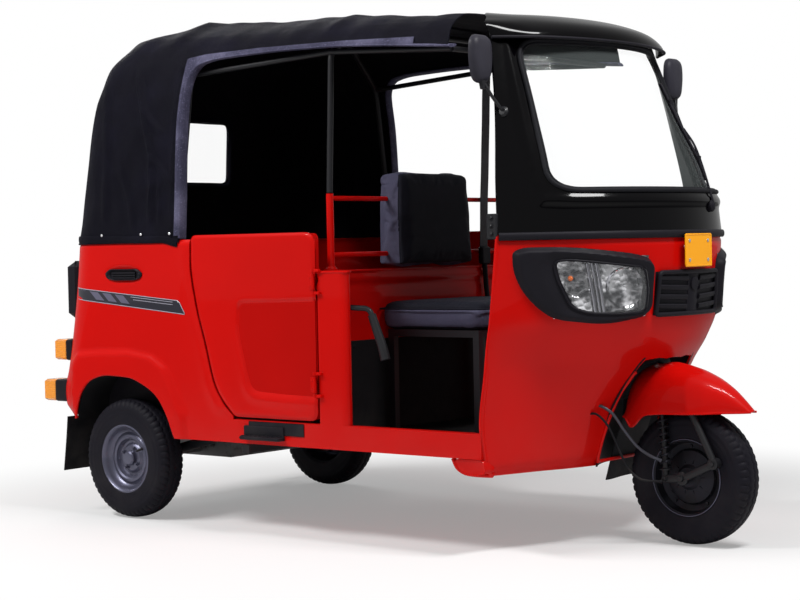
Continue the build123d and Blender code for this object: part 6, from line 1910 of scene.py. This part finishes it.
def build_fork():
    """Fork tubes, trailing links, dampers with coil springs, and the cables beside them."""
    finish = FINISHES
    x, z = FRONT_AXLE, TYRE_RADIUS
    crown = steer_point(0.0, 505.0, 0.0)
    knee = steer_point(75.0, 470.0, 0.0)
    pivot = Vector((x + 112.0, 0.0, z + 52.0))
    rear = Vector((x - 58.0, 0.0, z - 3.0))
    fork = Shape()
    low, high = steer_point(0.0, 497.0, 0.0), steer_point(0.0, 1046.0, 0.0)
    fork.pipe([tuple(low), tuple(high)], 19.0, 28)
    fork.pipe([(crown.x, -81.0, crown.z), (crown.x, 81.0, crown.z)], 13.5, 20)
    fork.pipe([(x, -87.0, z), (x, 87.0, z)], 8.0, 20)
    for side in (-1.0, 1.0):
        y = side * 71.0
        off = Vector((0, y, 0))
        run = rounded([tuple(crown + off), tuple(knee + off), tuple(pivot + off)], 26.0, 8.0)
        fork.pipe(run, 11.5, 16)
        link = rounded([tuple(pivot + off), (x, y, z), tuple(rear + off)], 30.0, 8.0)
        fork.pipe(link, 11.0, 14, across=(0, 1, 0), flat=1.25)
        fork.lathe([(0, -14.0), (17.5, -14.0), (17.5, 13.0), (12.0, 15.0), (0, 15.0)],
                   tuple(pivot + off), (0, side, 0), 28)
        fork.bolt(tuple(pivot + off + Vector((0, side * 15.0, 0))), (0, side, 0), 8.0, 7.0)
        fork.lathe([(0, -9.0), (21.0, -9.0), (21.0, 6.0), (16.0, 9.0), (0, 9.0)], (x, y, z),
                   (0, side, 0), 28)
        fork.bolt((x, side * 80.0, z), (0, side, 0), 9.5, 9.0)
        fork.bolt(tuple(rear + Vector((0, side * 82.0, 0))), (0, side, 0), 7.5, 7.0)
        lower, upper = rear + off, crown + off
        along = upper - lower
        fork.pipe([tuple(lower), tuple(lower + along * 0.45)], 9.5, 18)
        fork.pipe([tuple(lower + along * 0.35), tuple(upper)], 6.0, 14)
        for share in (0.1, 0.93):
            fork.lathe([(0, 0), (20.0, 0), (21.0, 3.0), (9.0, 6.0), (0, 6.0)],
                       tuple(lower + along * share), along.normalized(), 24)
    made = fork.make("fork_assembly", "steering", "frame_black", finish["frame_black"])
    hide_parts("front_fork")
    spring = Shape()
    for side in (-1.0, 1.0):
        off = Vector((0, side * 71.0, 0))
        lower, upper = rear + off, crown + off
        along = upper - lower
        coil(spring, lower + along * 0.13, lower + along * 0.92, 15.5, 3.0, 10)
    spring.make("fork_springs", "steering", "frame_black", finish["dark_metal"])

    routes = (
        ([(870.0, -226.0, 438.0), (900.0, -226.0, 444.0), (938.0, -212.0, 424.0), (970.0, -186.0, 366.0),
          (996.0, -150.0, 312.0), (1022.0, -122.0, 284.0), (1046.0, -98.0, 268.0)], 4.4, "sheath"),
        ([(872.0, -248.0, 418.0), (900.0, -246.0, 420.0), (932.0, -222.0, 384.0), (948.0, -188.0, 312.0),
          (962.0, -156.0, 246.0), (998.0, -128.0, 208.0), (1046.0, -96.0, 202.0)], 3.6, "rubber"),
    )
    for k, (route, radius, slot) in enumerate(routes):
        shape = Shape()
        run = even(smooth_rows(route, 160), 3.0)
        radii = [radius + (0.7 if slot == "sheath" and i % 2 else 0.0) for i in range(len(run))]
        shape.pipe(run, np.array(radii), 12)
        shape.pipe([run[0] - np.array([14.0, 0, -2.0]), run[2]], radius + 3.0, 12)
        shape.pipe([run[-3], run[-1]], radius + 2.0, 12)
        made = shape.make(f"control_cable_{k + 1}", None, "rubber_black", finish[slot], sharp=70.0)
        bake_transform(made)
        if k == 0:
            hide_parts("control_cables")


# ---- Mirrors, wiper, belt and small fittings ----------------------------------------------
def build_mirrors(screen):
    """Pear-shaped mirrors on stalks and the wiper."""
    finish = FINISHES
    heads, stalks, faces = Shape(), Shape(), Shape()
    for side in (-1.0, 1.0):
        cx, cy, cz = 723.0, side * 555.0, 1505.0
        outline = rounded([(-38.0, -72.0), (36.0, -72.0), (52.0, 10.0), (44.0, 74.0), (-44.0, 74.0),
                           (-52.0, 10.0)], 34.0, 6.0, closed=True)
        rows = []
        for s, w in ((0.9, -14.5), (0.985, -13.0), (1.0, -9.0), (0.98, 0.0), (0.9, 8.0), (0.72, 13.0),
                     (0.45, 14.6), (0.12, 15.0)):
            rows.append([(cx + w, cy + side * u * s, cz + v * s) for u, v in outline])
        heads.grid(rows, wrap=True, ends=True)
        faces.grid([[(cx - 14.8, cy + side * u * s, cz + v * s) for u, v in outline]
                    for s in (0.9, 0.45, 0.02)], wrap=True)
        foot = np.array([756.0, side * 500.0, 1351.0])
        run = smooth_rows([tuple(foot + np.array([0, -side * 18.0, -6.0])),
                           tuple(foot + np.array([0, side * 6.0, 6.0])),
                           (744.0, side * 532.0, 1392.0), (727.0, cy, cz - 66.0)], 24)
        stalks.pipe(run, 5.2, 12)
        stalks.lathe([(0, 0), (17.0, 0), (17.0, 5.0), (11.0, 11.0), (0, 12.0)],
                     tuple(foot - np.array([0, side * 8.0, 4.0])), (0.1, side * 0.9, 0.2), 28)
        stalks.pipe([(726.0, cy, cz - 90.0), (724.0, cy, cz - 64.0)], [8.0, 11.0], 16)
    made = heads.make("mirror_heads", "chassis", "trim_plastic", finish["grey_plastic"])
    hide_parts("mirrors")
    stalks.make("mirror_stalks", "chassis", "frame_black", finish["frame_black"])
    faces.make("mirror_faces", "chassis", "rim_silver", finish["mirror"], outward=False)

    wiper = Shape()
    spot, n = screen.at(140.0, 1056.0, 0.0)
    wiper.lathe([(0, -4), (19.0, -4), (19.0, 8.0), (12.0, 15.0), (0, 17.0)], spot, Vector(n), 28)
    low, _ = screen.at(140.0, 1056.0, 15.0)
    mid, _ = screen.at(140.0, 1240.0, 16.0)
    top, _ = screen.at(140.0, 1300.0, 11.0)
    wiper.pipe(smooth_rows([low, mid, top], 20), 5.5, 10, across=(0, 1, 0), flat=0.6)
    blade = [screen.at(132.0 + 8.0 * s, 1140.0 + 310.0 * s, 9.0)[0] for s in np.linspace(0, 1, 24)]
    wiper.pipe(blade, 5.0, 10, across=(0, 1, 0), flat=0.7)
    edge = [screen.at(132.0 + 8.0 * s, 1136.0 + 318.0 * s, 3.2)[0] for s in np.linspace(0, 1, 24)]
    wiper.pipe(edge, 3.0, 8, across=(1, 0, 0), flat=0.45)
    for s in (0.2, 0.8):
        p = screen.at(132.0 + 8.0 * s, 1140.0 + 310.0 * s, 13.0)[0]
        wiper.block(p - np.array([5.0, 7.0, 9.0]), p + np.array([3.0, 7.0, 9.0]), 2.0)
    wiper.make("wiper", "chassis", "trim_plastic", finish["plastic"])


def tube_on(shape, path, radius, bend, sides=14):
    """Tube along straight runs joined by bends."""
    return shape.pipe(rounded(path, bend, 9.0), radius, sides)


def build_frame_tubes():
    """Guard rail with its posts, pillar brackets, and the seat belt with its buckle."""
    finish = FINISHES
    rail = Shape()
    for side in (-1.0, 1.0):
        y = side * RAIL_HALF
        rail.pipe([(RAIL_X, y, 875.0), (RAIL_X, y, 1125.0)], 12.0, 20)
        rail.lathe([(0, 0), (27.0, 0), (27.0, 3.0), (19.0, 5.0), (14.0, 13.0), (0, 13.0)],
                   (RAIL_X, y, 874.3), (0, 0, 1), 32)
        for dx, dy in ((-15.0, -15.0), (15.0, 15.0)):
            rail.button((RAIL_X + dx, y + dy * side, 877.0), (0, 0, 1), 4.0, 3.5)
    for z in (925.0, RAIL_TOP_Z):
        rail.pipe([(RAIL_X, -RAIL_HALF, z), (RAIL_X, RAIL_HALF, z)], 8.0, 16)
    made = rail.make("guard_rail_tubes", "chassis", "body_red", finish["red"])
    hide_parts("guard_rail")
    bracket = Shape()
    for side in (-1.0, 1.0):
        span = sorted((side * 574.0, side * 562.0))
        bracket.block((742.0, span[0], 962.0), (781.0, span[1], 1040.0), 3.0)
        for k in range(3):
            bracket.bolt((760.0, side * 574.0, 980.0 + 24.0 * k), (0, side, 0), 6.0, 5.0)
    bracket.make("pillar_brackets", "chassis", "frame_black", finish["frame_black"])

    belt = Shape()
    run = smooth_rows([(78.0, 338.0, 1612.0), (70.0, 330.0, 1300.0), (66.0, 320.0, 1060.0),
                       (66.0, 314.0, 925.0)], 60)
    rows = []
    for i, (x, y, z) in enumerate(run):
        rows.append([(x + v, y + u + 0.4 * math.sin(i * 0.4), z) for u, v in
                     ((-22.0, 0.0), (22.0, 0.0), (22.0, 2.2), (-22.0, 2.2))])
    belt.grid(rows, wrap=True, ends=True)
    belt.make("belt_strap", "chassis", "rubber_black", finish["webbing"])
    buckle = Shape()
    buckle.block((60.0, 288.0, 878.0), (82.0, 340.0, 942.0), 5.0)
    tube_on(buckle, [(71.0, 314.0, 880.0), (74.0, 316.0, 800.0), (86.0, 320.0, 690.0)], 9.0, 20.0)
    buckle.block((66.0, 316.0, 1596.0), (88.0, 360.0, 1624.0), 5.0)
    buckle.make("belt_buckle", "chassis", "trim_plastic", finish["plastic"])


def side_patch(outline, side, proud, steps=(30, 8)):
    """Thin film on the body side over an outline of x and z columns, low edge and high edge."""
    xs = np.linspace(outline[0][0], outline[-1][0], steps[0])
    low = np.interp(xs, [p[0] for p in outline], [p[1] for p in outline])
    high = np.interp(xs, [p[0] for p in outline], [p[2] for p in outline])
    rows = []
    for s in np.linspace(0, 1, steps[1]):
        row = []
        for x, a, b in zip(xs, low, high):
            back = REAR_AXLE - 309.0
            corner_x = back + TUB_CORNER
            y = -BODY_HALF
            if x < corner_x:
                y = -BODY_HALF + TUB_CORNER - math.sqrt(max(0.0, TUB_CORNER**2 - (corner_x - x) ** 2))
            row.append((x, side * -(y - proud), a + (b - a) * s))
        rows.append(row)
    return rows


# Stripe on the flank: columns: x, low edge, high edge
STRIPE_EDGE = ((-1096.0, 782.0, 822.0), (-560.0, 733.0, 777.0), (-531.0, 730.4, 732.4))


def build_side_marks():
    """Stripe in three tones, side vent and body studs on each flank."""
    finish = FINISHES
    for name, side in SIDES:
        base = Shape().grid(side_patch(STRIPE_EDGE, side, -1.2, (60, 4)))
        base.make(f"stripe_base_{name}", "chassis", "trim_plastic", finish["stripe_dark"], outward=False)
        marks = Shape()
        for k in range(4):
            x = -1082.0 + 66.0 * k
            top = 817.0 - (x + 1096.0) * 0.084
            slash = side_patch([(x, top - 30.0, top), (x + 44.0, top - 34.0, top - 4.0)], side, -1.6, (8, 4))
            marks.grid([[(p[0] - 34.0 * (i / 3.0) + 34.0, p[1] + side * 0.5, p[2]) for p in row]
                        for i, row in enumerate(slash)])
        marks.make(f"stripe_slashes_{name}", "chassis", "trim_plastic", finish["stripe_grey"],
                   outward=False)
        lines = Shape()
        for low in (0.0, 1.0):
            edge = []
            for x in np.linspace(-1096.0, -532.0, 50):
                a = np.interp(x, [p[0] for p in STRIPE_EDGE], [p[1] for p in STRIPE_EDGE])
                b = np.interp(x, [p[0] for p in STRIPE_EDGE], [p[2] for p in STRIPE_EDGE])
                p = side_patch([(x, a, b), (x + 0.1, a, b)], side, -1.4, (2, 2))[int(low)][0]
                edge.append(p)
            lines.pipe(edge, 1.5, 6)
        for k in range(2):
            x0 = -800.0 + 12.0 * k
            edge = [side_patch([(x, 0, 790.0 - (x + 800.0) * 0.084 - 9.0 * k), (x + 0.1, 0, 0)], side, -1.6,
                               (2, 2))[1][0] for x in np.linspace(x0, -590.0, 14)]
            lines.pipe(edge, 1.1, 6)
        lines.make(f"stripe_lines_{name}", "chassis", "trim_plastic", finish["stripe_pale"])
        vent = Shape()
        y = side * BODY_HALF
        ring = rounded([(-96.0, 4.0), (-70.0, 20.0), (70.0, 20.0), (96.0, 4.0), (84.0, -14.0), (50.0, -20.0),
                        (-50.0, -20.0), (-84.0, -14.0)], 10.0, 5.0, closed=True)
        vent.grid([[(VENT_X + u * s, y + side * w, VENT_Z + v * s) for u, v in ring]
                   for s, w in ((1.02, -1.0), (1.0, 2.5), (0.93, 4.0), (0.86, 2.5), (0.8, -4.0))],
                  wrap=True, ends=False)
        vent.grid([[(VENT_X + u * s, y - side * 5.0, VENT_Z + v * s) for u, v in ring]
                   for s in (0.82, 0.4, 0.02)], wrap=True)
        for k in range(3):
            z = VENT_Z - 12.0 + 9.0 * k
            vent.pipe([(VENT_X - 60.0, y - side * 1.5, z), (VENT_X + 60.0, y - side * 1.5, z)], 3.2, 8)
        for u in (-84.0, 84.0):
            vent.button((VENT_X + u, y + side * 3.0, VENT_Z), (0, side, 0), 5.0, 3.0)
        vent.make(f"side_vent_{name}", "chassis", "trim_plastic", finish["plastic"], outward=False)


def build_rear_fittings():
    """Tail pods, ribbed lamps and mudflaps."""
    finish = FINISHES
    pods, lamps, mounts = Shape(), Shape(), Shape()
    for side in (-1.0, 1.0):
        low, high = sorted((side * 421.0, side * 524.0))
        pods.block((-1242.0, low, 706.0), (-1160.0, high, 919.0), 22.0)
        for k in range(6):
            z = 740.0 + 28.0 * k
            pods.block((-1243.0, low + 22.0, z), (-1236.0, high - 22.0, z + 12.0), 2.0)
        for x0, y0, y1, z0, z1 in ((-1281.0, 460.0, 548.0, 555.0, 632.0),
                                   (-1319.0, 482.0, 570.0, 405.0, 485.0)):
            span = sorted((side * y0, side * y1))
            lamps.block((x0, span[0] + 1.0, z0 + 1.0), (x0 + 70.0, span[1] - 1.0, z1 - 1.0), 7.0)
            mounts.block((x0 + 64.0, span[0], z0), (-1178.0, span[1], z1), 5.0)
            for u in (y0 + 12.0, y1 - 12.0):
                mounts.button((x0 + 1.0, side * u, (z0 + z1) / 2), (-1, 0, 0), 3.6, 2.0)
    made = pods.make("tail_pod_covers", "chassis", "trim_plastic", finish["plastic"])
    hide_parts("tail_pods")
    made = lamps.make("rear_lamp_lenses", "chassis", "lamp_amber", finish["amber"])
    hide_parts("rear_lamps")
    mounts.make("rear_lamp_mounts", "chassis", "trim_plastic", finish["plastic"])
    flaps = Shape()
    for side in (-1.0, 1.0):
        rows = []
        for x, z in smooth_rows([(-1183.0, 351.0), (-1190.0, 290.0), (-1210.0, 152.0)], 16):
            rows.append([(x - 1.5 * math.cos(y / 30.0), side * 480.0 + y, z) for y in
                         np.linspace(-94.0, 94.0, 20)])
        flaps.grid(rows)
    made = flaps.make("rear_flap_sheets", "chassis", "rubber_black", finish["rubber"])
    thicken(made, 4.0, offset=0.0)
    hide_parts("rear_mudflaps")


def build_controls():
    """Grips, parking lever and pedal."""
    finish = FINISHES
    grips = Shape()
    bar = steer_point(0.0, 1048.0, 0.0)
    for side in (-1.0, 1.0):
        hand = Vector((bar.x - 92.0, side * 180.0, bar.z + 46.0))
        tip = Vector((bar.x - 126.0, side * 292.0, bar.z + 42.0))
        path = [tuple(hand + (tip - hand) * s) for s in np.linspace(0, 1, 49)]
        radii = [16.8 - 2.2 * (i % 4 in (1, 2)) * (3 < i < 45) for i in range(49)]
        grips.pipe(path, np.array(radii), 20)
    made = grips.make("ribbed_grips", "steering", "rubber_black", finish["rubber"], sharp=25.0)
    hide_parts("hand_grips")
    lever = Shape()
    tube_on(lever, [(182.0, -570.0, 757.0), (249.0, -539.0, 752.0), (262.0, -537.0, 716.0)], 9.0, 22.0)
    grip = smooth_rows([(256.0, -537.5, 732.0), (276.0, -536.0, 680.0), (298.0, -534.5, 622.0),
                        (307.0, -534.0, 590.0)], 24)
    lever.pipe(grip, np.linspace(11.5, 14.0, 24), 18, across=(0, 1, 0), flat=1.25)
    lever.block((616.0, -165.0, 331.0), (656.0, -135.0, 344.5), 3.0)
    tube_on(lever, [(636.0, -150.0, 341.0), (716.0, -150.0, 391.0)], 8.0, 10.0)
    rows = []
    for u in np.linspace(-32.0, 32.0, 12):
        rows.append([(706.0 + u * 0.8 + w * -0.6, -150.0 + v, 396.0 + u * 0.6 + w * 0.8)
                     for v, w in ((-34.0, -4.0), (-34.0, 4.0), (-20.0, 5.5), (0.0, 4.5), (20.0, 5.5),
                                  (34.0, 4.0), (34.0, -4.0))])
    lever.grid(rows, wrap=True, ends=True)
    made = lever.make("lever_and_pedal", "chassis", "frame_black", finish["frame_black"])
    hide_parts("driver_controls")


# ---- Carried nodes, camera and stage ----------------------------------------------------
NODE_FINISHES = {
    "canopy_bows": "frame_black", "chassis_frame": "frame_black", "dashboard": "plastic",
    "driver_seat_frame": "frame_black", "floor_pan": "red", "front_wheel_housing": "plastic",
    "handlebar": "frame_black", "power_unit": "engine", "rear_plate": "plate",
    "rear_suspension_left": "frame_black", "rear_suspension_right": "frame_black",
    "rear_window": "glass", "seat_box": "plastic", "steering_head": "frame_black",
    "bulkhead": "red", "canopy": "canopy", "control_cables": "rubber", "driver_backrest": "seat",
    "driver_controls": "frame_black", "driver_cushion": "seat", "front_cowl": "red",
    "front_flap": "rubber", "front_fork": "frame_black", "front_grille": "plastic",
    "front_mudguard": "red", "front_plate": "plate", "front_rim": "dark_metal", "front_tyre": "tyre",
    "guard_rail": "red", "hand_grips": "rubber", "headlamp_bezels": "plastic", "headlamps": "lens",
    "mirrors": "plastic", "passenger_backrest": "seat", "passenger_cushion": "seat",
    "rear_lamps": "amber", "rear_mudflaps": "rubber", "rear_panel": "red", "rear_rim_left": "silver",
    "rear_rim_right": "silver", "rear_tyre_left": "tyre", "rear_tyre_right": "tyre",
    "roof_visor": "gloss_black", "side_steps": "plastic", "tail_pods": "plastic",
    "windscreen_glass": "glass", "windscreen_surround": "gloss_black", "door_left": "red",
    "door_right": "red", "engine_lid": "red", "side_panel_left": "red", "side_panel_right": "red",
}


def dress_nodes():
    """Give every carried node a finish."""
    for name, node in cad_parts.items():
        finish = FINISHES[NODE_FINISHES[name]]
        if not node.material_slots:
            node.data.materials.append(finish)
        for holder in node.material_slots:
            holder.material = finish


CAMERA_PLACE = (4.081, -5.048, 0.947)
CAMERA_YAW, CAMERA_PITCH, CAMERA_ROLL = math.radians(129.42), math.radians(-1.64), math.radians(-1.17)
CAMERA_LENS = 83.75


def place_camera():
    """Camera at the viewing angle worked out for the vehicle."""
    ahead = Vector((math.cos(CAMERA_YAW) * math.cos(CAMERA_PITCH),
                    math.sin(CAMERA_YAW) * math.cos(CAMERA_PITCH), math.sin(CAMERA_PITCH)))
    right = ahead.cross(Vector((0, 0, 1))).normalized()
    above = right.cross(ahead)
    c, s = math.cos(CAMERA_ROLL), math.sin(CAMERA_ROLL)
    right, above = right * c + above * s, above * c - right * s
    data = bpy.data.cameras.new("camera")
    data.lens = CAMERA_LENS
    data.sensor_width = 36.0
    camera = bpy.data.objects.new("camera", data)
    turn = Matrix((right, above, -ahead)).transposed().to_4x4()
    camera.matrix_world = Matrix.Translation(CAMERA_PLACE) @ turn
    bpy.context.scene.collection.objects.link(camera)
    bpy.context.scene.camera = camera


def soft_light(name, place, aim, size, power):
    """Large square lamp aimed at a point."""
    data = bpy.data.lights.new(name, "AREA")
    data.shape = "RECTANGLE"
    data.size, data.size_y = size
    data.energy = power
    lamp = bpy.data.objects.new(name, data)
    away = Vector(place) - Vector(aim)
    lamp.rotation_euler = away.to_track_quat("Z", "Y").to_euler()
    lamp.location = place
    bpy.context.scene.collection.objects.link(lamp)


# Level of the surroundings in a reflection, over the ambient light
GLOSS_LEVEL = 0.3


def light_world(strength):
    """White background, with a dimmer level for the light on the object."""
    world = bpy.data.worlds.new("studio")
    bpy.context.scene.world = world
    world.use_nodes = True
    tree = world.node_tree
    path = tree.nodes.new("ShaderNodeLightPath")
    seen = tree.nodes.new("ShaderNodeMath")
    seen.operation = "MAXIMUM"
    tree.links.new(path.outputs["Is Camera Ray"], seen.inputs[0])
    tree.links.new(path.outputs["Is Transmission Ray"], seen.inputs[1])
    level = tree.nodes.new("ShaderNodeMapRange")
    level.inputs["To Min"].default_value = strength
    tree.links.new(seen.outputs[0], level.inputs["Value"])
    shine = tree.nodes.new("ShaderNodeMath")
    shine.operation = "MULTIPLY_ADD"
    shine.inputs[1].default_value = GLOSS_LEVEL
    tree.links.new(path.outputs["Is Glossy Ray"], shine.inputs[0])
    tree.links.new(level.outputs[0], shine.inputs[2])
    back = tree.nodes["Background"]
    tree.links.new(shine.outputs[0], back.inputs["Strength"])
    back.inputs["Color"].default_value = (1.0, 1.0, 1.0, 1.0)


def build_stage(ambient):
    """Pale floor that fades into a white background, soft lamps and the camera."""
    scene = bpy.context.scene
    scene.view_settings.view_transform = "Standard"
    place_camera()
    light_world(ambient)
    soft_light("key", (-1.9, -3.3, 4.2), (-0.4, -0.2, 0.8), (2.6, 0.8), 228.0)
    soft_light("front", (2.6, -0.5, 3.7), (1.1, 0.0, 0.6), (1.2, 0.6), 125.0)
    soft_light("rear", (-4.0, 2.4, 3.4), (-0.4, 0.0, 1.0), (2.4, 1.6), 40.0)
    finish = Finish("studio_floor", roughness=0.9, specular_ior_level=0.05)
    x, y, _ = finish.axes()
    far = (x * x + y * y) ** 0.5
    open_floor = far.step(1.2, 2.7) * 0.7 + 0.3
    finish.feed("Base Color", (0.74, 0.74, 0.74))
    seen = finish.node("ShaderNodeLightPath", {}, {})
    glow = finish.node("ShaderNodeEmission", {}, {"Color": (1.0, 1.0, 1.0), "Strength": 1.0})
    inputs = {0: open_floor * seen, 1: finish.shader.outputs[0], 2: glow}
    mixed = finish.node("ShaderNodeMixShader", {}, inputs)
    target = finish.tree.nodes["Material Output"].inputs["Surface"]
    finish.join(target, mixed)
    disc = Shape()
    rows = [[(r * math.cos(a), r * math.sin(a), 0.0) for a in np.linspace(0, 2 * math.pi, 97)]
            for r in (1.0, 1500.0, 3500.0, 9000.0, 30000.0)]
    disc.grid(rows)
    mesh = disc.mesh("floor", [finish.material])
    floor = bpy.data.objects.new("floor", mesh)
    scene.collection.objects.link(floor)
    clean(floor)
    if floor.data.polygons[0].normal.z < 0:
        floor.data.flip_normals()


# ---- Add-on -----------------------------------------------------------------------------
class RickshawBodySettings(bpy.types.PropertyGroup):
    """Sizes and colours of the dressing."""

    paint_colour: FloatVectorProperty(name="Body paint", description="Colour of the body's paint",
                                      default=(0.6, 0.0035, 0.002), size=3, subtype="COLOR")
    edge_radius: FloatProperty(name="Entry edge", description="Radius of the cowl's rolled edge",
                               default=9.0, min=3.0, max=15.0)
    recess: FloatProperty(name="Door pressing", description="Depth of the door's pressed panel",
                          default=13.0, min=0.0, max=14.0)
    turned_edge: FloatProperty(name="Turned edge", description="Width of the canopy's turned edge",
                               default=38.0, min=10.0, max=50.0)


class RickshawTrimSettings(bpy.types.PropertyGroup):
    """Sizes of the wheels and padding, and the light."""

    tread_depth: FloatProperty(name="Tread", description="Depth of the tyres' grooves", default=4.5,
                               min=0.0, max=8.0)
    swelling: FloatProperty(name="Padding", description="Furthest that a cushion swells", default=8.0,
                            min=0.0, max=20.0)
    ambient: FloatProperty(name="Ambient", description="Level of the light from all round",
                           default=0.2, min=0.0, max=2.0)


class RICKSHAW_OT_finishes(bpy.types.Operator):
    """Make every finish and give the carried nodes theirs."""

    bl_idname = "rickshaw.finishes"
    bl_label = "Make finishes"

    def execute(self, context):
        make_finishes(tuple(context.scene.rickshaw_body.paint_colour))
        dress_nodes()
        return {"FINISHED"}


class RICKSHAW_OT_canopy(bpy.types.Operator):
    """Build the hood with its edge, hem, studs and seams."""

    bl_idname = "rickshaw.canopy"
    bl_label = "Build canopy"

    def execute(self, context):
        build_canopy(context.scene.rickshaw_body.turned_edge)
        return {"FINISHED"}


class RICKSHAW_OT_front(bpy.types.Operator):
    """Build the cowl, windscreen, lamps, mirrors and wiper."""

    bl_idname = "rickshaw.front"
    bl_label = "Build front"

    def execute(self, context):
        cowl = build_cowl(context.scene.rickshaw_body.edge_radius)
        screen = build_screen()
        build_lamps(cowl)
        build_mirrors(screen)
        return {"FINISHED"}


class RICKSHAW_OT_body(bpy.types.Operator):
    """Build the rear body, doors, bulkhead and sills."""

    bl_idname = "rickshaw.body"
    bl_label = "Build body"

    def execute(self, context):
        build_tub()
        build_doors(context.scene.rickshaw_body.recess)
        build_middle()
        build_wheel_houses()
        build_side_marks()
        build_rear_fittings()
        return {"FINISHED"}


class RICKSHAW_OT_wheels(bpy.types.Operator):
    """Build the wheels, mudguard, fork and cables."""

    bl_idname = "rickshaw.wheels"
    bl_label = "Build wheels"

    def execute(self, context):
        build_wheels(context.scene.rickshaw_trim.tread_depth)
        build_mudguard()
        build_fork()
        return {"FINISHED"}


class RICKSHAW_OT_cab(bpy.types.Operator):
    """Build the seats, tubes and controls."""

    bl_idname = "rickshaw.cab"
    bl_label = "Build cab"

    def execute(self, context):
        build_seats(context.scene.rickshaw_trim.swelling)
        build_frame_tubes()
        build_controls()
        return {"FINISHED"}


class RICKSHAW_OT_stage(bpy.types.Operator):
    """Set the floor, lamps, background and camera."""

    bl_idname = "rickshaw.stage"
    bl_label = "Set stage"

    def execute(self, context):
        build_stage(context.scene.rickshaw_trim.ambient)
        return {"FINISHED"}


OPERATORS = (RICKSHAW_OT_finishes, RICKSHAW_OT_canopy, RICKSHAW_OT_front, RICKSHAW_OT_body,
             RICKSHAW_OT_wheels, RICKSHAW_OT_cab, RICKSHAW_OT_stage)


class RICKSHAW_PT_panel(bpy.types.Panel):
    """Sidebar panel that lists the steps in order."""

    bl_label = "Rickshaw"
    bl_idname = "RICKSHAW_PT_panel"
    bl_space_type = "VIEW_3D"
    bl_region_type = "UI"
    bl_category = "Rickshaw"

    def draw(self, context):
        for group in (context.scene.rickshaw_body, context.scene.rickshaw_trim):
            for key in group.__annotations__:
                self.layout.prop(group, key)
        for operator in OPERATORS:
            self.layout.operator(operator.bl_idname)


CLASSES = (RickshawBodySettings, RickshawTrimSettings, *OPERATORS, RICKSHAW_PT_panel)


def register():
    """Register the classes and the scene's settings."""
    for item in CLASSES:
        bpy.utils.register_class(item)
    bpy.types.Scene.rickshaw_body = PointerProperty(type=RickshawBodySettings)
    bpy.types.Scene.rickshaw_trim = PointerProperty(type=RickshawTrimSettings)


def unregister():
    """Undo what register did."""
    del bpy.types.Scene.rickshaw_trim
    del bpy.types.Scene.rickshaw_body
    for item in reversed(CLASSES):
        bpy.utils.unregister_class(item)


def main():
    """Build every piece in order."""
    register()
    for operator in OPERATORS:
        group, _, call = operator.bl_idname.partition(".")
        getattr(getattr(bpy.ops, group), call)()


if __name__ == "__main__":
    main()
